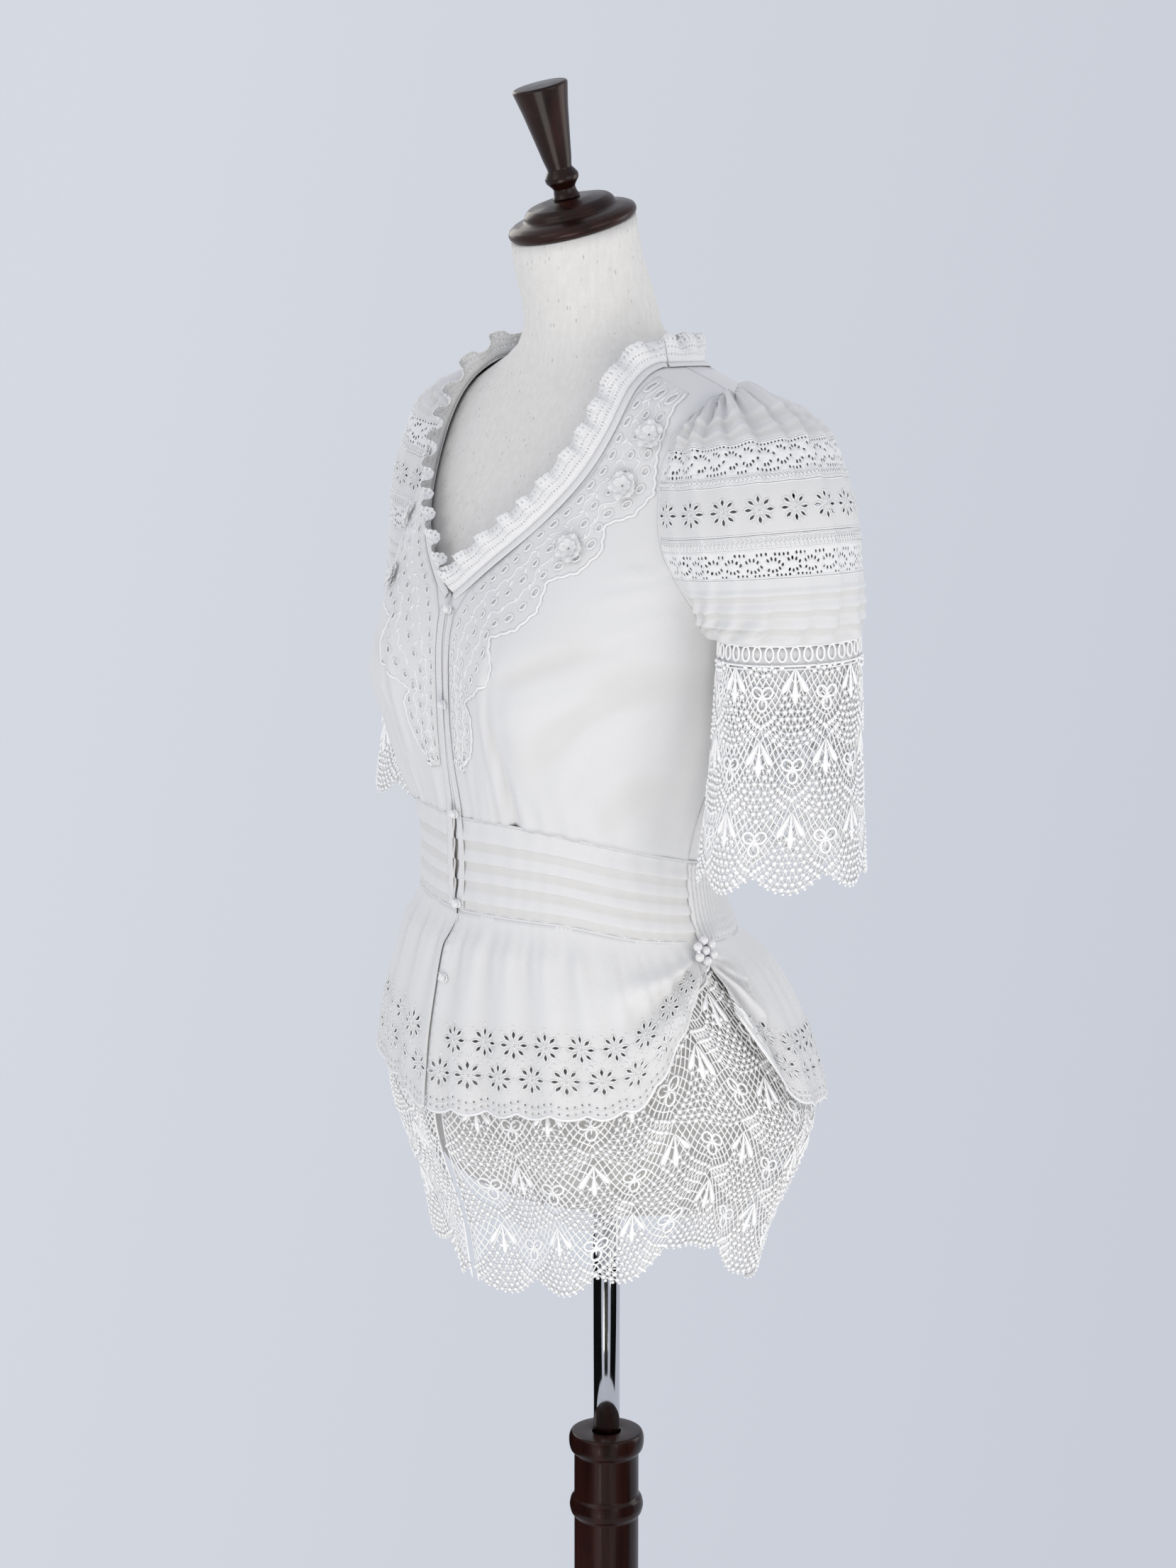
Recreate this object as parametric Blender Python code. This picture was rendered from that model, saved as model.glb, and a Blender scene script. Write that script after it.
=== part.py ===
"""Eyelet blouse with lace cuffs and a lace under-skirt, worn on a limbless form with a turned stand.

Metres, +Z up. The origin is on the floor under the pole. The front faces -Y, the wearer's left is +X.
Angles round the body start at the centre front and grow towards the wearer's left.
"""
import math

import bmesh
import bpy
import numpy as np

MM = 0.001
SEAM = 0.3 * MM
COTTON = 1.2 * MM
LACE = 1.2 * MM
OVERLAY = 1.0 * MM
FORM_INSET = 0.5 * MM

# The form's cross-sections: height, half width, front, back, line of greatest width, squareness.
BODY = (
    # z, half_width, front, back, mid, power
    (0.855, 0.126, -0.098, 0.078, -0.010, 2.1),
    (0.880, 0.143, -0.112, 0.092, -0.010, 2.1),
    (0.920, 0.153, -0.121, 0.101, -0.012, 2.1),
    (0.960, 0.150, -0.122, 0.096, -0.014, 2.1),
    (1.000, 0.140, -0.120, 0.082, -0.018, 2.1),
    (1.030, 0.130, -0.118, 0.068, -0.026, 2.05),
    (1.060, 0.121, -0.118, 0.057, -0.030, 2.0),
    (1.090, 0.118, -0.118, 0.055, -0.030, 2.0),
    (1.120, 0.123, -0.119, 0.060, -0.028, 2.1),
    (1.160, 0.134, -0.122, 0.070, -0.024, 2.2),
    (1.200, 0.144, -0.124, 0.079, -0.020, 2.3),
    (1.240, 0.151, -0.124, 0.086, -0.014, 2.3),
    (1.280, 0.156, -0.115, 0.091, -0.008, 2.3),
    (1.320, 0.159, -0.100, 0.091, -0.002, 2.2),
    (1.350, 0.160, -0.087, 0.086, 0.002, 2.1),
    (1.372, 0.157, -0.076, 0.078, 0.004, 2.05),
    (1.386, 0.148, -0.069, 0.067, 0.004, 2.0),
    (1.396, 0.129, -0.064, 0.056, 0.002, 2.0),
    (1.404, 0.107, -0.060, 0.048, -0.001, 2.0),
    (1.412, 0.084, -0.058, 0.041, -0.004, 2.0),
    (1.420, 0.065, -0.057, 0.037, -0.007, 2.0),
    (1.432, 0.051, -0.057, 0.033, -0.010, 2.0),
    (1.450, 0.046, -0.059, 0.029, -0.014, 2.0),
    (1.475, 0.0425, -0.065, 0.019, -0.023, 2.0),
    (1.498, 0.0415, -0.069, 0.014, -0.027, 2.0),
)
# The peplum's and the under-skirt's own sections, which stand away from the form.
PEPLUM = (
    # z, half_width, front, back, mid, power
    (0.905, 0.181, -0.145, 0.131, -0.008, 2.0),
    (0.925, 0.179, -0.145, 0.130, -0.008, 2.0),
    (0.945, 0.174, -0.144, 0.126, -0.011, 2.0),
    (0.970, 0.167, -0.142, 0.118, -0.015, 2.0),
    (1.000, 0.155, -0.137, 0.104, -0.020, 2.0),
    (1.030, 0.1385, -0.1300, 0.0830, -0.026, 2.0),
    (1.045, 0.1320, -0.1255, 0.0715, -0.029, 2.0),
    (1.055, 0.1285, -0.1240, 0.0670, -0.030, 2.0),
)
UNDER = (
    # z, half_width, front, back, mid, power
    (0.775, 0.130, -0.101, 0.076, -0.008, 2.0),
    (0.805, 0.134, -0.106, 0.084, -0.008, 2.0),
    (0.845, 0.143, -0.113, 0.103, -0.008, 2.0),
    (0.865, 0.151, -0.120, 0.114, -0.008, 2.0),
    (0.890, 0.162, -0.129, 0.123, -0.009, 2.0),
    (0.915, 0.168, -0.135, 0.124, -0.010, 2.0),
    (0.940, 0.166, -0.136, 0.119, -0.012, 2.0),
    (0.970, 0.159, -0.134, 0.110, -0.015, 2.0),
    (1.000, 0.147, -0.130, 0.096, -0.020, 2.0),
    (1.030, 0.1335, -0.1235, 0.0760, -0.026, 2.0),
    (1.045, 0.1280, -0.1210, 0.0660, -0.029, 2.0),
    (1.055, 0.1250, -0.1205, 0.0625, -0.030, 2.0),
)
BUST_X = 0.078
BUST_Z = 1.205
BUST_WIDTH = 0.048
BUST_HEIGHT = 0.062
BUST_RISE = 0.019

SIDE_SEAM = math.radians(96.0)
SEAM_HALF = 0.16 * MM
TOP_SEAM = ((0, 1.1155), (20, 1.1180), (40, 1.1160), (60, 1.1090), (80, 1.1010), (100, 1.0930),
            (180, 1.0890))
LOW_SEAM = ((0, 1.0530), (20, 1.0545), (45, 1.0540), (70, 1.0460), (100, 1.0400), (180, 1.0360))
# The front edges meet at the buttons and part between the third and the fourth.
FRONT_EDGE = ((1.000, 0.0024), (1.040, 0.0010), (1.060, 0.0010), (1.085, 0.0022),
              (1.110, 0.0012), (1.125, 0.0005), (1.260, 0.0005))
# Neckline: height and distance from the centre.
NECK_EDGE = ((1.262, 0.0005), (1.268, 0.0100), (1.282, 0.0284), (1.3095, 0.0593), (1.328, 0.0740),
             (1.3475, 0.0850), (1.366, 0.0905), (1.386, 0.0915), (1.400, 0.0882), (1.411, 0.0835))
NECK_TOP = 1.411
BACK_NECK = ((90, NECK_TOP), (113, 1.4105), (140, 1.4090), (180, 1.4080), (220, 1.4090),
             (247, 1.4105), (270, NECK_TOP))
UNDERARM = 1.240
SHOULDER = 1.394
# Armhole: height, angle of its front edge and of its back edge.
ARMHOLE = (
    # z, front_angle, back_angle
    (UNDERARM, 95.9, 96.1),
    (1.248, 86.0, 106.0),
    (1.262, 78.5, 113.0),
    (1.272, 74.0, 118.0),
    (1.286, 68.0, 122.0),
    (1.298, 63.5, 125.0),
    (1.314, 59.5, 128.0),
    (1.333, 56.8, 129.0),
    (1.358, 55.4, 128.0),
    (1.376, 59.0, 122.0),
    (1.387, 69.0, 111.0),
    (SHOULDER, 89.6, 90.4),
)
ARMHOLE_GAP = 0.020
# Room between the form and the middle of the bodice's wall.
EASE = ((1.085, 2.2), (1.115, 2.8), (1.150, 4.6), (1.200, 4.8), (1.260, 3.0), (1.320, 1.9), (1.500, 1.8))
# Soft folds of the bodice: angle, top and bottom height, outward rise in mm, half width in degrees.
FOLDS = (
    # angle, top, bottom, rise, half_width
    (27, 1.235, 1.105, -1.8, 2.5),
    (34, 1.220, 1.105, 1.6, 4.0),
    (19, 1.180, 1.105, 1.5, 3.0),
    (46, 1.200, 1.110, 1.3, 6.0),
    (66, 1.240, 1.120, 1.6, 7.0),
    (84, 1.230, 1.105, -1.0, 5.0),
)
BODICE_ROWS = (0.0, 0.2, 0.5, 1.0)
BODICE_LOW = 1.160
BODICE_HIGH = (1.190, 1.215, UNDERARM, 1.248, 1.262, 1.270, 1.284, 1.298, 1.314, 1.333, 1.352, 1.368,
               1.378, 1.385, 1.390, SHOULDER, 1.400, 1.4055, NECK_TOP)


def curve(table, at, column=1):
    """Smooth curve through a table's rows, read at one value or an array of values."""
    rows = np.asarray(table, dtype=float)
    knots = rows[:, 0]
    values = rows[:, column]
    slopes = np.gradient(values, knots)
    at = np.clip(np.asarray(at, dtype=float), knots[0], knots[-1])
    low = np.clip(np.searchsorted(knots, at, side="right") - 1, 0, len(knots) - 2)
    width = knots[low + 1] - knots[low]
    t = (at - knots[low]) / width
    start = (1 + 2 * t) * (1 - t) ** 2 * values[low] + t * (1 - t) ** 2 * width * slopes[low]
    end = t * t * (3 - 2 * t) * values[low + 1] - t * t * (1 - t) * width * slopes[low + 1]
    return start + end


def ramp(low, high, at):
    t = np.clip((np.asarray(at, dtype=float) - low) / (high - low), 0.0, 1.0)
    return t * t * (3 - 2 * t)


def section_point(table, angle, z):
    """Point of a stack of rounded sections at an angle and a height."""
    angle = np.asarray(angle, dtype=float)
    z = np.asarray(z, dtype=float)
    half_width = curve(table, z, 1)
    front = curve(table, z, 2)
    back = curve(table, z, 3)
    mid = curve(table, z, 4)
    power = 2.0 / curve(table, z, 5)
    sine = np.sin(angle)
    cosine = np.cos(angle)
    x = half_width * np.sign(sine) * np.abs(sine) ** power
    depth = np.where(cosine > 0, mid - front, back - mid)
    y = mid - np.sign(cosine) * depth * np.abs(cosine) ** power
    if table is BODY:
        across = ((np.abs(x) - BUST_X) / BUST_WIDTH) ** 2
        upward = ((z - BUST_Z) / BUST_HEIGHT) ** 2
        y = y - BUST_RISE * np.exp(-across - upward) * ramp(0.0, 0.35, cosine)
    return np.stack(np.broadcast_arrays(x, y, z), axis=-1)


def section_normal(table, angle, z):
    step = 0.004
    rise = 0.8 * MM
    along = section_point(table, angle + step, z) - section_point(table, angle - step, z)
    upward = section_point(table, angle, z + rise) - section_point(table, angle, z - rise)
    normal = np.cross(along, upward)
    return normal / np.linalg.norm(normal, axis=-1, keepdims=True)


def angle_at(table, x, z):
    """Angle on the front half of a section at a distance from the centre."""
    share = np.clip(np.asarray(x) / curve(table, z, 1), 0.0, 1.0)
    return np.arcsin(share ** (curve(table, z, 5) / 2.0))


def unit(vectors):
    return vectors / np.maximum(np.linalg.norm(vectors, axis=-1, keepdims=True), 1e-9)


def grid_normals(points, closed=False):
    """Normals of a grid of points: rows by columns, columns going round."""
    if closed:
        along = np.roll(points, -1, axis=1) - np.roll(points, 1, axis=1)
    else:
        along = np.gradient(points, axis=1)
    across = np.gradient(points, axis=0)
    return unit(np.cross(along, across))


def add_mesh(name, slot, vertices, faces, smooth=False):
    """One closed named body, faces turned outward."""
    mesh = bpy.data.meshes.new(name)
    mesh.from_pydata([tuple(map(float, v)) for v in vertices], [], faces)
    shape = bmesh.new()
    shape.from_mesh(mesh)
    bmesh.ops.recalc_face_normals(shape, faces=shape.faces)
    if shape.calc_volume(signed=True) < 0:
        bmesh.ops.reverse_faces(shape, faces=shape.faces)
    shape.to_mesh(mesh)
    shape.free()
    mesh.materials.append(material(name, slot))
    if smooth:
        for polygon in mesh.polygons:
            polygon.use_smooth = True
    item = bpy.data.objects.new(name, mesh)
    bpy.context.scene.collection.objects.link(item)
    return item


COLOURS = {
    # slot: colour, roughness, metallic
    "cotton": ((0.93, 0.94, 0.95, 1.0), 0.85, 0.0),
    "lace": ((0.95, 0.95, 0.95, 1.0), 0.75, 0.0),
    "organza": ((0.97, 0.97, 0.97, 1.0), 0.40, 0.0),
    "linen": ((0.85, 0.82, 0.77, 1.0), 0.95, 0.0),
    "wood": ((0.055, 0.018, 0.012, 1.0), 0.25, 0.0),
    "chrome": ((0.75, 0.76, 0.78, 1.0), 0.12, 1.0),
    "pearl": ((0.86, 0.85, 0.83, 1.0), 0.22, 0.0),
}


def material(name, slot):
    colour, roughness, metallic = COLOURS[slot]
    surface = bpy.data.materials.new(slot + "_" + name)
    surface.use_nodes = True
    shader = surface.node_tree.nodes["Principled BSDF"]
    shader.inputs["Base Color"].default_value = colour
    shader.inputs["Roughness"].default_value = roughness
    shader.inputs["Metallic"].default_value = metallic
    surface.diffuse_color = colour
    return surface


def wall(name, slot, points, thick, closed=False, normals=None, relief=0.0):
    """Closed wall on a grid of middle points; the relief raises its outer points only."""
    rows, columns = points.shape[:2]
    if normals is None:
        normals = grid_normals(points, closed)
    raised = np.broadcast_to(np.asarray(relief, dtype=float), (rows, columns))[..., None]
    outer = points + normals * (thick / 2 + raised)
    inner = points - normals * thick / 2
    vertices = np.concatenate([outer.reshape(-1, 3), inner.reshape(-1, 3)])
    count = rows * columns
    last = columns if closed else columns - 1
    faces = []
    for i in range(rows - 1):
        for j in range(last):
            a = i * columns + j
            b = i * columns + (j + 1) % columns
            c = b + columns
            d = a + columns
            faces.append((a, b, c, d))
            faces.append((count + d, count + c, count + b, count + a))
    for i, turn in ((0, 1), (rows - 1, -1)):
        for j in range(last):
            a = i * columns + j
            b = i * columns + (j + 1) % columns
            edge = (a, count + a, count + b, b)
            faces.append(edge[::turn])
    if not closed:
        for j, turn in ((0, -1), (columns - 1, 1)):
            for i in range(rows - 1):
                a = i * columns + j
                b = a + columns
                edge = (a, count + a, count + b, b)
                faces.append(edge[::turn])
    return add_mesh(name, slot, vertices, faces, smooth=True)


def mirrored(points):
    """The same grid on the wearer's right, its columns turned so that its outside stays outside."""
    return (points * np.array([-1.0, 1.0, 1.0]))[:, ::-1]


def lathe(name, slot, profile, sides, place=None):
    """Solid of revolution from a profile of (radius, height) rows that starts and ends on the axis."""
    vertices = []
    rings = []
    for radius, height in profile:
        if radius < 1e-6:
            rings.append([len(vertices)])
            vertices.append((0.0, 0.0, height))
            continue
        rings.append(list(range(len(vertices), len(vertices) + sides)))
        for k in range(sides):
            turn = 2 * math.pi * k / sides
            vertices.append((radius * math.cos(turn), radius * math.sin(turn), height))
    faces = []
    for low, high in zip(rings, rings[1:]):
        for k in range(sides):
            after = (k + 1) % sides
            if len(low) == 1:
                faces.append((low[0], high[after], high[k]))
            elif len(high) == 1:
                faces.append((low[k], low[after], high[0]))
            else:
                faces.append((low[k], low[after], high[after], high[k]))
    points = np.array(vertices)
    if place is not None:
        points = place(points)
    return add_mesh(name, slot, points, faces, smooth=True)


# Form and stand.

POLE_RADIUS = 0.0093
POLE_FIT = 0.3 * MM
FORM_BOTTOM = 0.858
FORM_BORE_TOP = 0.900
COLUMN_TOP = 0.660
COLUMN_BORE_BOTTOM = 0.580
BASE_HEIGHT = 0.024
BASE_RADIUS = 0.165
NECK_TILT = math.radians(16.5)
FORM_COLUMNS = 26
FORM_ROWS = (FORM_BOTTOM, 0.870, 0.900, 0.940, 0.980, 1.015, 1.050, 1.080, 1.110, 1.150, 1.190, 1.225,
             1.260, 1.300, 1.335, 1.360, 1.378, 1.389, 1.398, 1.406, 1.413, 1.420, 1.432, 1.452, 1.475,
             1.498)
NECK_START = 1.432


def form_ring(z, columns=FORM_COLUMNS):
    angle = np.arange(columns) * 2 * math.pi / columns
    ring = section_point(BODY, angle, z) - section_normal(BODY, angle, z) * FORM_INSET
    centre = curve(BODY, z, 4)
    lean = ramp(NECK_START, FORM_ROWS[-1], z) * math.tan(NECK_TILT)
    ring[:, 2] = z + lean * (ring[:, 1] - centre)
    return ring


def form_torso():
    rings = [form_ring(z) for z in FORM_ROWS]
    angle = np.arange(FORM_COLUMNS) * 2 * math.pi / FORM_COLUMNS
    hole = POLE_RADIUS + POLE_FIT
    lip = np.stack([hole * np.sin(angle), -hole * np.cos(angle), np.full(FORM_COLUMNS, FORM_BOTTOM)], axis=1)
    deep = lip + np.array([0.0, 0.0, FORM_BORE_TOP - FORM_BOTTOM])
    rings = [deep, lip] + rings
    vertices = np.concatenate(rings)
    columns = FORM_COLUMNS
    faces = []
    for i in range(len(rings) - 1):
        for j in range(columns):
            after = (j + 1) % columns
            low = i * columns
            high = low + columns
            faces.append((low + j, low + after, high + after, high + j))
    top = (len(rings) - 1) * columns
    faces.append(tuple(range(top, top + columns)))
    faces.append(tuple(range(columns))[::-1])
    add_mesh("form_torso", "linen", vertices, faces, smooth=True)


def neck_place(points):
    """Stands a turned piece on the sloping neck top."""
    sine = math.sin(NECK_TILT)
    cosine = math.cos(NECK_TILT)
    z = points[:, 2]
    y = points[:, 1]
    out = np.array(points)
    out[:, 1] = curve(BODY, FORM_ROWS[-1], 4) + y * cosine - z * sine
    out[:, 2] = FORM_ROWS[-1] + y * sine + z * cosine
    return out


CAP_PROFILE = (
    # radius, height
    (0.0, SEAM), (0.0400, SEAM), (0.0425, 0.0020), (0.0432, 0.0045), (0.0422, 0.0072), (0.0385, 0.0095),
    (0.0310, 0.0112), (0.0300, 0.0148), (0.0270, 0.0176), (0.0160, 0.0200), (0.0, 0.0202),
)
FINIAL_PROFILE = (
    # radius, height
    (0.0, 0.0206), (0.0095, 0.0206), (0.0078, 0.0235), (0.0072, 0.0270), (0.0085, 0.0290), (0.0110, 0.0320),
    (0.0113, 0.0350), (0.0095, 0.0380), (0.0080, 0.0400), (0.0094, 0.0460), (0.0120, 0.0610),
    (0.0152, 0.0790), (0.0182, 0.0925), (0.0184, 0.0940), (0.0172, 0.0952), (0.0, 0.0956),
)
COLUMN_PROFILE = (
    # radius, height
    (0.0, BASE_HEIGHT + SEAM), (0.0400, BASE_HEIGHT + SEAM), (0.0420, 0.0300), (0.0400, 0.0380),
    (0.0270, 0.0480), (0.0230, 0.0620), (0.0228, 0.5970), (0.0250, 0.5995), (0.0263, 0.6050),
    (0.0250, 0.6105), (0.0228, 0.6130), (0.0228, 0.6440), (0.0255, 0.6465), (0.0265, 0.6510),
    (0.0265, 0.6560), (0.0250, COLUMN_TOP), (POLE_RADIUS + POLE_FIT, COLUMN_TOP),
    (POLE_RADIUS + POLE_FIT, COLUMN_BORE_BOTTOM), (0.0, COLUMN_BORE_BOTTOM),
)
BASE_PROFILE = (
    # radius, height
    (0.0, 0.0), (BASE_RADIUS - 0.004, 0.0), (BASE_RADIUS, 0.004), (BASE_RADIUS, 0.011),
    (BASE_RADIUS - 0.006, 0.0165), (BASE_RADIUS - 0.030, 0.0185), (0.060, 0.0225), (0.050, BASE_HEIGHT),
    (0.0, BASE_HEIGHT),
)


def form_and_stand():
    form_torso()
    lathe("neck_cap", "wood", CAP_PROFILE, 22, neck_place)
    lathe("finial", "wood", FINIAL_PROFILE, 14, neck_place)
    pole = ((0.0, COLUMN_BORE_BOTTOM + POLE_FIT), (POLE_RADIUS, COLUMN_BORE_BOTTOM + POLE_FIT),
            (POLE_RADIUS, FORM_BORE_TOP - POLE_FIT), (0.0, FORM_BORE_TOP - POLE_FIT))
    lathe("pole", "chrome", pole, 20)
    lathe("column", "wood", COLUMN_PROFILE, 18)
    lathe("base", "wood", BASE_PROFILE, 26)


# Bodice.

def seam(table, angle):
    """Height of a waist seam at an angle, the same on both sides."""
    degrees = np.degrees(np.abs((np.asarray(angle) + math.pi) % (2 * math.pi) - math.pi))
    return curve(table, degrees)


def bodice_out(angle, z):
    """Distance from the form to the middle of the bodice's wall."""
    side = np.degrees(np.abs((np.asarray(angle) + math.pi) % (2 * math.pi) - math.pi))
    out = curve(EASE, z)
    for at, top, bottom, rise, half_width in FOLDS:
        above = ramp(bottom, bottom + 0.02, z)
        fade = above * (1 - ramp(top - 0.05, top, z)) + 0.35 * (1 - above)
        out = out + rise * np.exp(-((side - at) / half_width) ** 2) * fade
    return np.maximum(out, 1.7) * MM


def on_body(angle, z, out):
    """Points above the form by a distance, and the normals there."""
    normals = section_normal(BODY, angle, z)
    return section_point(BODY, angle, z) + normals * np.asarray(out)[..., None], normals


def bodice_z(angle_grid, heights):
    """Heights of the bodice's rows: the low ones follow the waist seam."""
    rows = []
    for share in BODICE_ROWS:
        bottom = seam(TOP_SEAM, angle_grid[0]) + SEAM_HALF
        rows.append(bottom + (BODICE_LOW - bottom) * share)
    for z in heights:
        rows.append(np.full(angle_grid.shape[1], z))
    return np.array(rows)


def front_span(z):
    """First and last angle of the front panel at a height."""
    edge = curve(FRONT_EDGE, z) if z <= NECK_EDGE[0][0] else curve(NECK_EDGE, z)
    first = angle_at(BODY, edge, z)
    last = SIDE_SEAM
    if z >= UNDERARM:
        last = math.radians(curve(ARMHOLE, z, 1)) if z < SHOULDER else math.radians(89.85)
    gap = ARMHOLE_GAP if UNDERARM < z < SHOULDER else SEAM_HALF / 0.09
    return first, last - gap * (0.0 if z >= SHOULDER else 1.0)


def front_grid(columns=9):
    nominal = [seam(TOP_SEAM, 0.3) + (BODICE_LOW - seam(TOP_SEAM, 0.3)) * s for s in BODICE_ROWS]
    nominal += list(BODICE_HIGH)
    share = np.linspace(0.0, 1.0, columns)
    angle = np.array([first + (last - first) * share for first, last in map(front_span, nominal)])
    z = bodice_z(angle, BODICE_HIGH)
    return angle, z


def back_span(z):
    first = SIDE_SEAM
    if z >= UNDERARM:
        first = math.radians(curve(ARMHOLE, z, 2)) if z < SHOULDER else math.radians(90.15)
    gap = ARMHOLE_GAP if UNDERARM < z < SHOULDER else SEAM_HALF / 0.09
    return first + gap * (0.0 if z >= SHOULDER else 1.0)


def back_grid(columns=13):
    nominal = [seam(TOP_SEAM, 1.7) + (BODICE_LOW - seam(TOP_SEAM, 1.7)) * s for s in BODICE_ROWS]
    nominal += list(BODICE_HIGH)
    share = np.linspace(0.0, 1.0, columns)
    angle = np.array([back_span(z) + (2 * math.pi - 2 * back_span(z)) * share for z in nominal])
    z = bodice_z(angle, BODICE_HIGH)
    low = 1.376
    top = curve(BACK_NECK, np.degrees(angle))
    raised = low + (z - low) * (top - low) / (NECK_TOP - low)
    return angle, np.where(z > low, raised, z)


def bodice():
    angle, z = front_grid()
    points, normals = on_body(angle, z, bodice_out(angle, z))
    wall("front_left", "cotton", points, COTTON, normals=normals)
    flip = np.array([-1.0, 1.0, 1.0])
    wall("front_right", "cotton", mirrored(points), COTTON, normals=(normals * flip)[:, ::-1])
    angle, z = back_grid()
    points, normals = on_body(angle, z, bodice_out(angle, z))
    wall("back", "cotton", points, COTTON, normals=normals)


# Trims that lie on the front.

OVER_GAP = 0.9 * MM
OVER = COTTON / 2 + OVER_GAP + OVERLAY / 2
BINDING_WIDTH = 0.0050
# Yoke: inner edge beside the binding and the placket, outer edge with its scallops and cusps.
YOKE = (
    # inner_x, inner_z, outer_x, outer_z
    (0.0950, 1.4045, 0.1225, 1.3950),
    (0.0965, 1.4000, 0.1235, 1.3915),
    (0.0972, 1.3945, 0.1245, 1.3875),
    (0.0976, 1.3880, 0.1255, 1.3830),
    (0.0978, 1.3800, 0.1270, 1.3755),
    (0.0970, 1.3710, 0.1285, 1.3580),
    (0.0958, 1.3600, 0.1330, 1.3360),
    (0.0945, 1.3520, 0.1255, 1.3210),
    (0.0910, 1.3430, 0.1122, 1.3151),
    (0.0860, 1.3340, 0.1150, 1.2990),
    (0.0780, 1.3230, 0.1060, 1.2850),
    (0.0670, 1.3100, 0.0891, 1.2786),
    (0.0560, 1.2980, 0.0890, 1.2600),
    (0.0440, 1.2870, 0.0790, 1.2470),
    (0.0320, 1.2770, 0.0619, 1.2408),
    (0.0190, 1.2660, 0.0680, 1.2230),
    (0.0100, 1.2510, 0.0640, 1.2120),
    (0.0090, 1.2350, 0.0500, 1.2040),
    (0.0090, 1.2190, 0.0355, 1.1980),
    (0.0090, 1.2020, 0.0425, 1.1900),
    (0.0090, 1.1850, 0.0410, 1.1770),
    (0.0090, 1.1670, 0.0340, 1.1630),
    (0.0090, 1.1500, 0.0180, 1.1480),
)


def on_front(x, z, above):
    """Points above the bodice's wall at a distance from the centre and a height."""
    angle = angle_at(BODY, x, z)
    return on_body(angle, z, bodice_out(angle, z) + above)


def yoke_grid(columns=5):
    rows = np.array(YOKE)
    across = np.linspace(0.0, 1.0, columns)[None, :]
    x = rows[:, 0:1] * (1 - across) + rows[:, 2:3] * across
    z = rows[:, 1:2] * (1 - across) + rows[:, 3:4] * across
    return on_front(x, z, OVER)


def neck_line(share):
    """Front neckline from the point of the V (0) to the shoulder (1): distance from the centre, height."""
    z = NECK_EDGE[0][0] + (NECK_TOP - NECK_EDGE[0][0]) * np.asarray(share)
    return curve(NECK_EDGE, z), z


BINDING_ROWS = (0.012, 0.045, 0.095, 0.15, 0.24, 0.34, 0.46, 0.59, 0.72, 0.81, 0.88, 0.93, 0.965)


def binding_grid():
    x, z = neck_line(np.array(BINDING_ROWS))
    slope_x, slope_z = np.gradient(x), np.gradient(z)
    length = np.hypot(slope_x, slope_z)
    inner_x, inner_z = x + 0.3 * MM * slope_z / length, z - 0.3 * MM * slope_x / length
    outer_x = x + BINDING_WIDTH * slope_z / length
    outer_z = z - BINDING_WIDTH * slope_x / length
    grid_x = np.stack([inner_x, outer_x], axis=1)
    grid_z = np.stack([inner_z, outer_z], axis=1)
    return on_front(grid_x, grid_z, OVER)


PLACKET = (0.0018, 0.0076)
PLACKET_TOP = 1.2540
BAND_OUT = 2.6
TUCK_RISE = 0.7 * MM
TUCKS = (0.22, 0.45, 0.66, 0.88)
TUCK_STEP = 0.010
FRILL_LENGTH = 0.019
FRILL_THICK = 0.9 * MM
FRILL_WAVES = 13
FLIP = np.array([-1.0, 1.0, 1.0])


def placket_grid(rows=9):
    """Narrow strip down the front edge of the bodice and the waistband."""
    z = np.linspace(PLACKET_TOP, curve(LOW_SEAM, 0.0) + 0.002, rows)[:, None]
    edge = curve(FRONT_EDGE, z)
    x = edge + np.array(PLACKET)[None, :]
    angle = angle_at(BODY, x, z)
    below = curve(TOP_SEAM, 0.0)
    out = np.maximum(bodice_out(angle, z), BAND_OUT * MM) + ramp(below + 0.012, below - 0.002, z) * TUCK_RISE
    return on_body(angle, z, out + OVER)


def frill_strip(base, normals, lean, waves, columns_per_wave=4):
    """Gathered frill standing on a line: it leans over the opening and swings in waves."""
    along = unit(np.gradient(base, axis=0))
    inward = unit(np.cross(normals, along))
    share = np.linspace(0.0, 1.0, len(base))
    phase = 2 * math.pi * waves * share
    rows = []
    for reach, swing in ((0.0, 0.0), (1.0, 1.0)):
        angle = np.radians(lean + 24.0 * swing * np.sin(phase))[:, None]
        sideways = 0.0016 * swing * np.cos(phase)[:, None]
        step = FRILL_LENGTH * reach * (np.cos(angle) * inward + np.sin(angle) * normals)
        rows.append(base + step + along * sideways)
    return np.array(rows)


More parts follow.
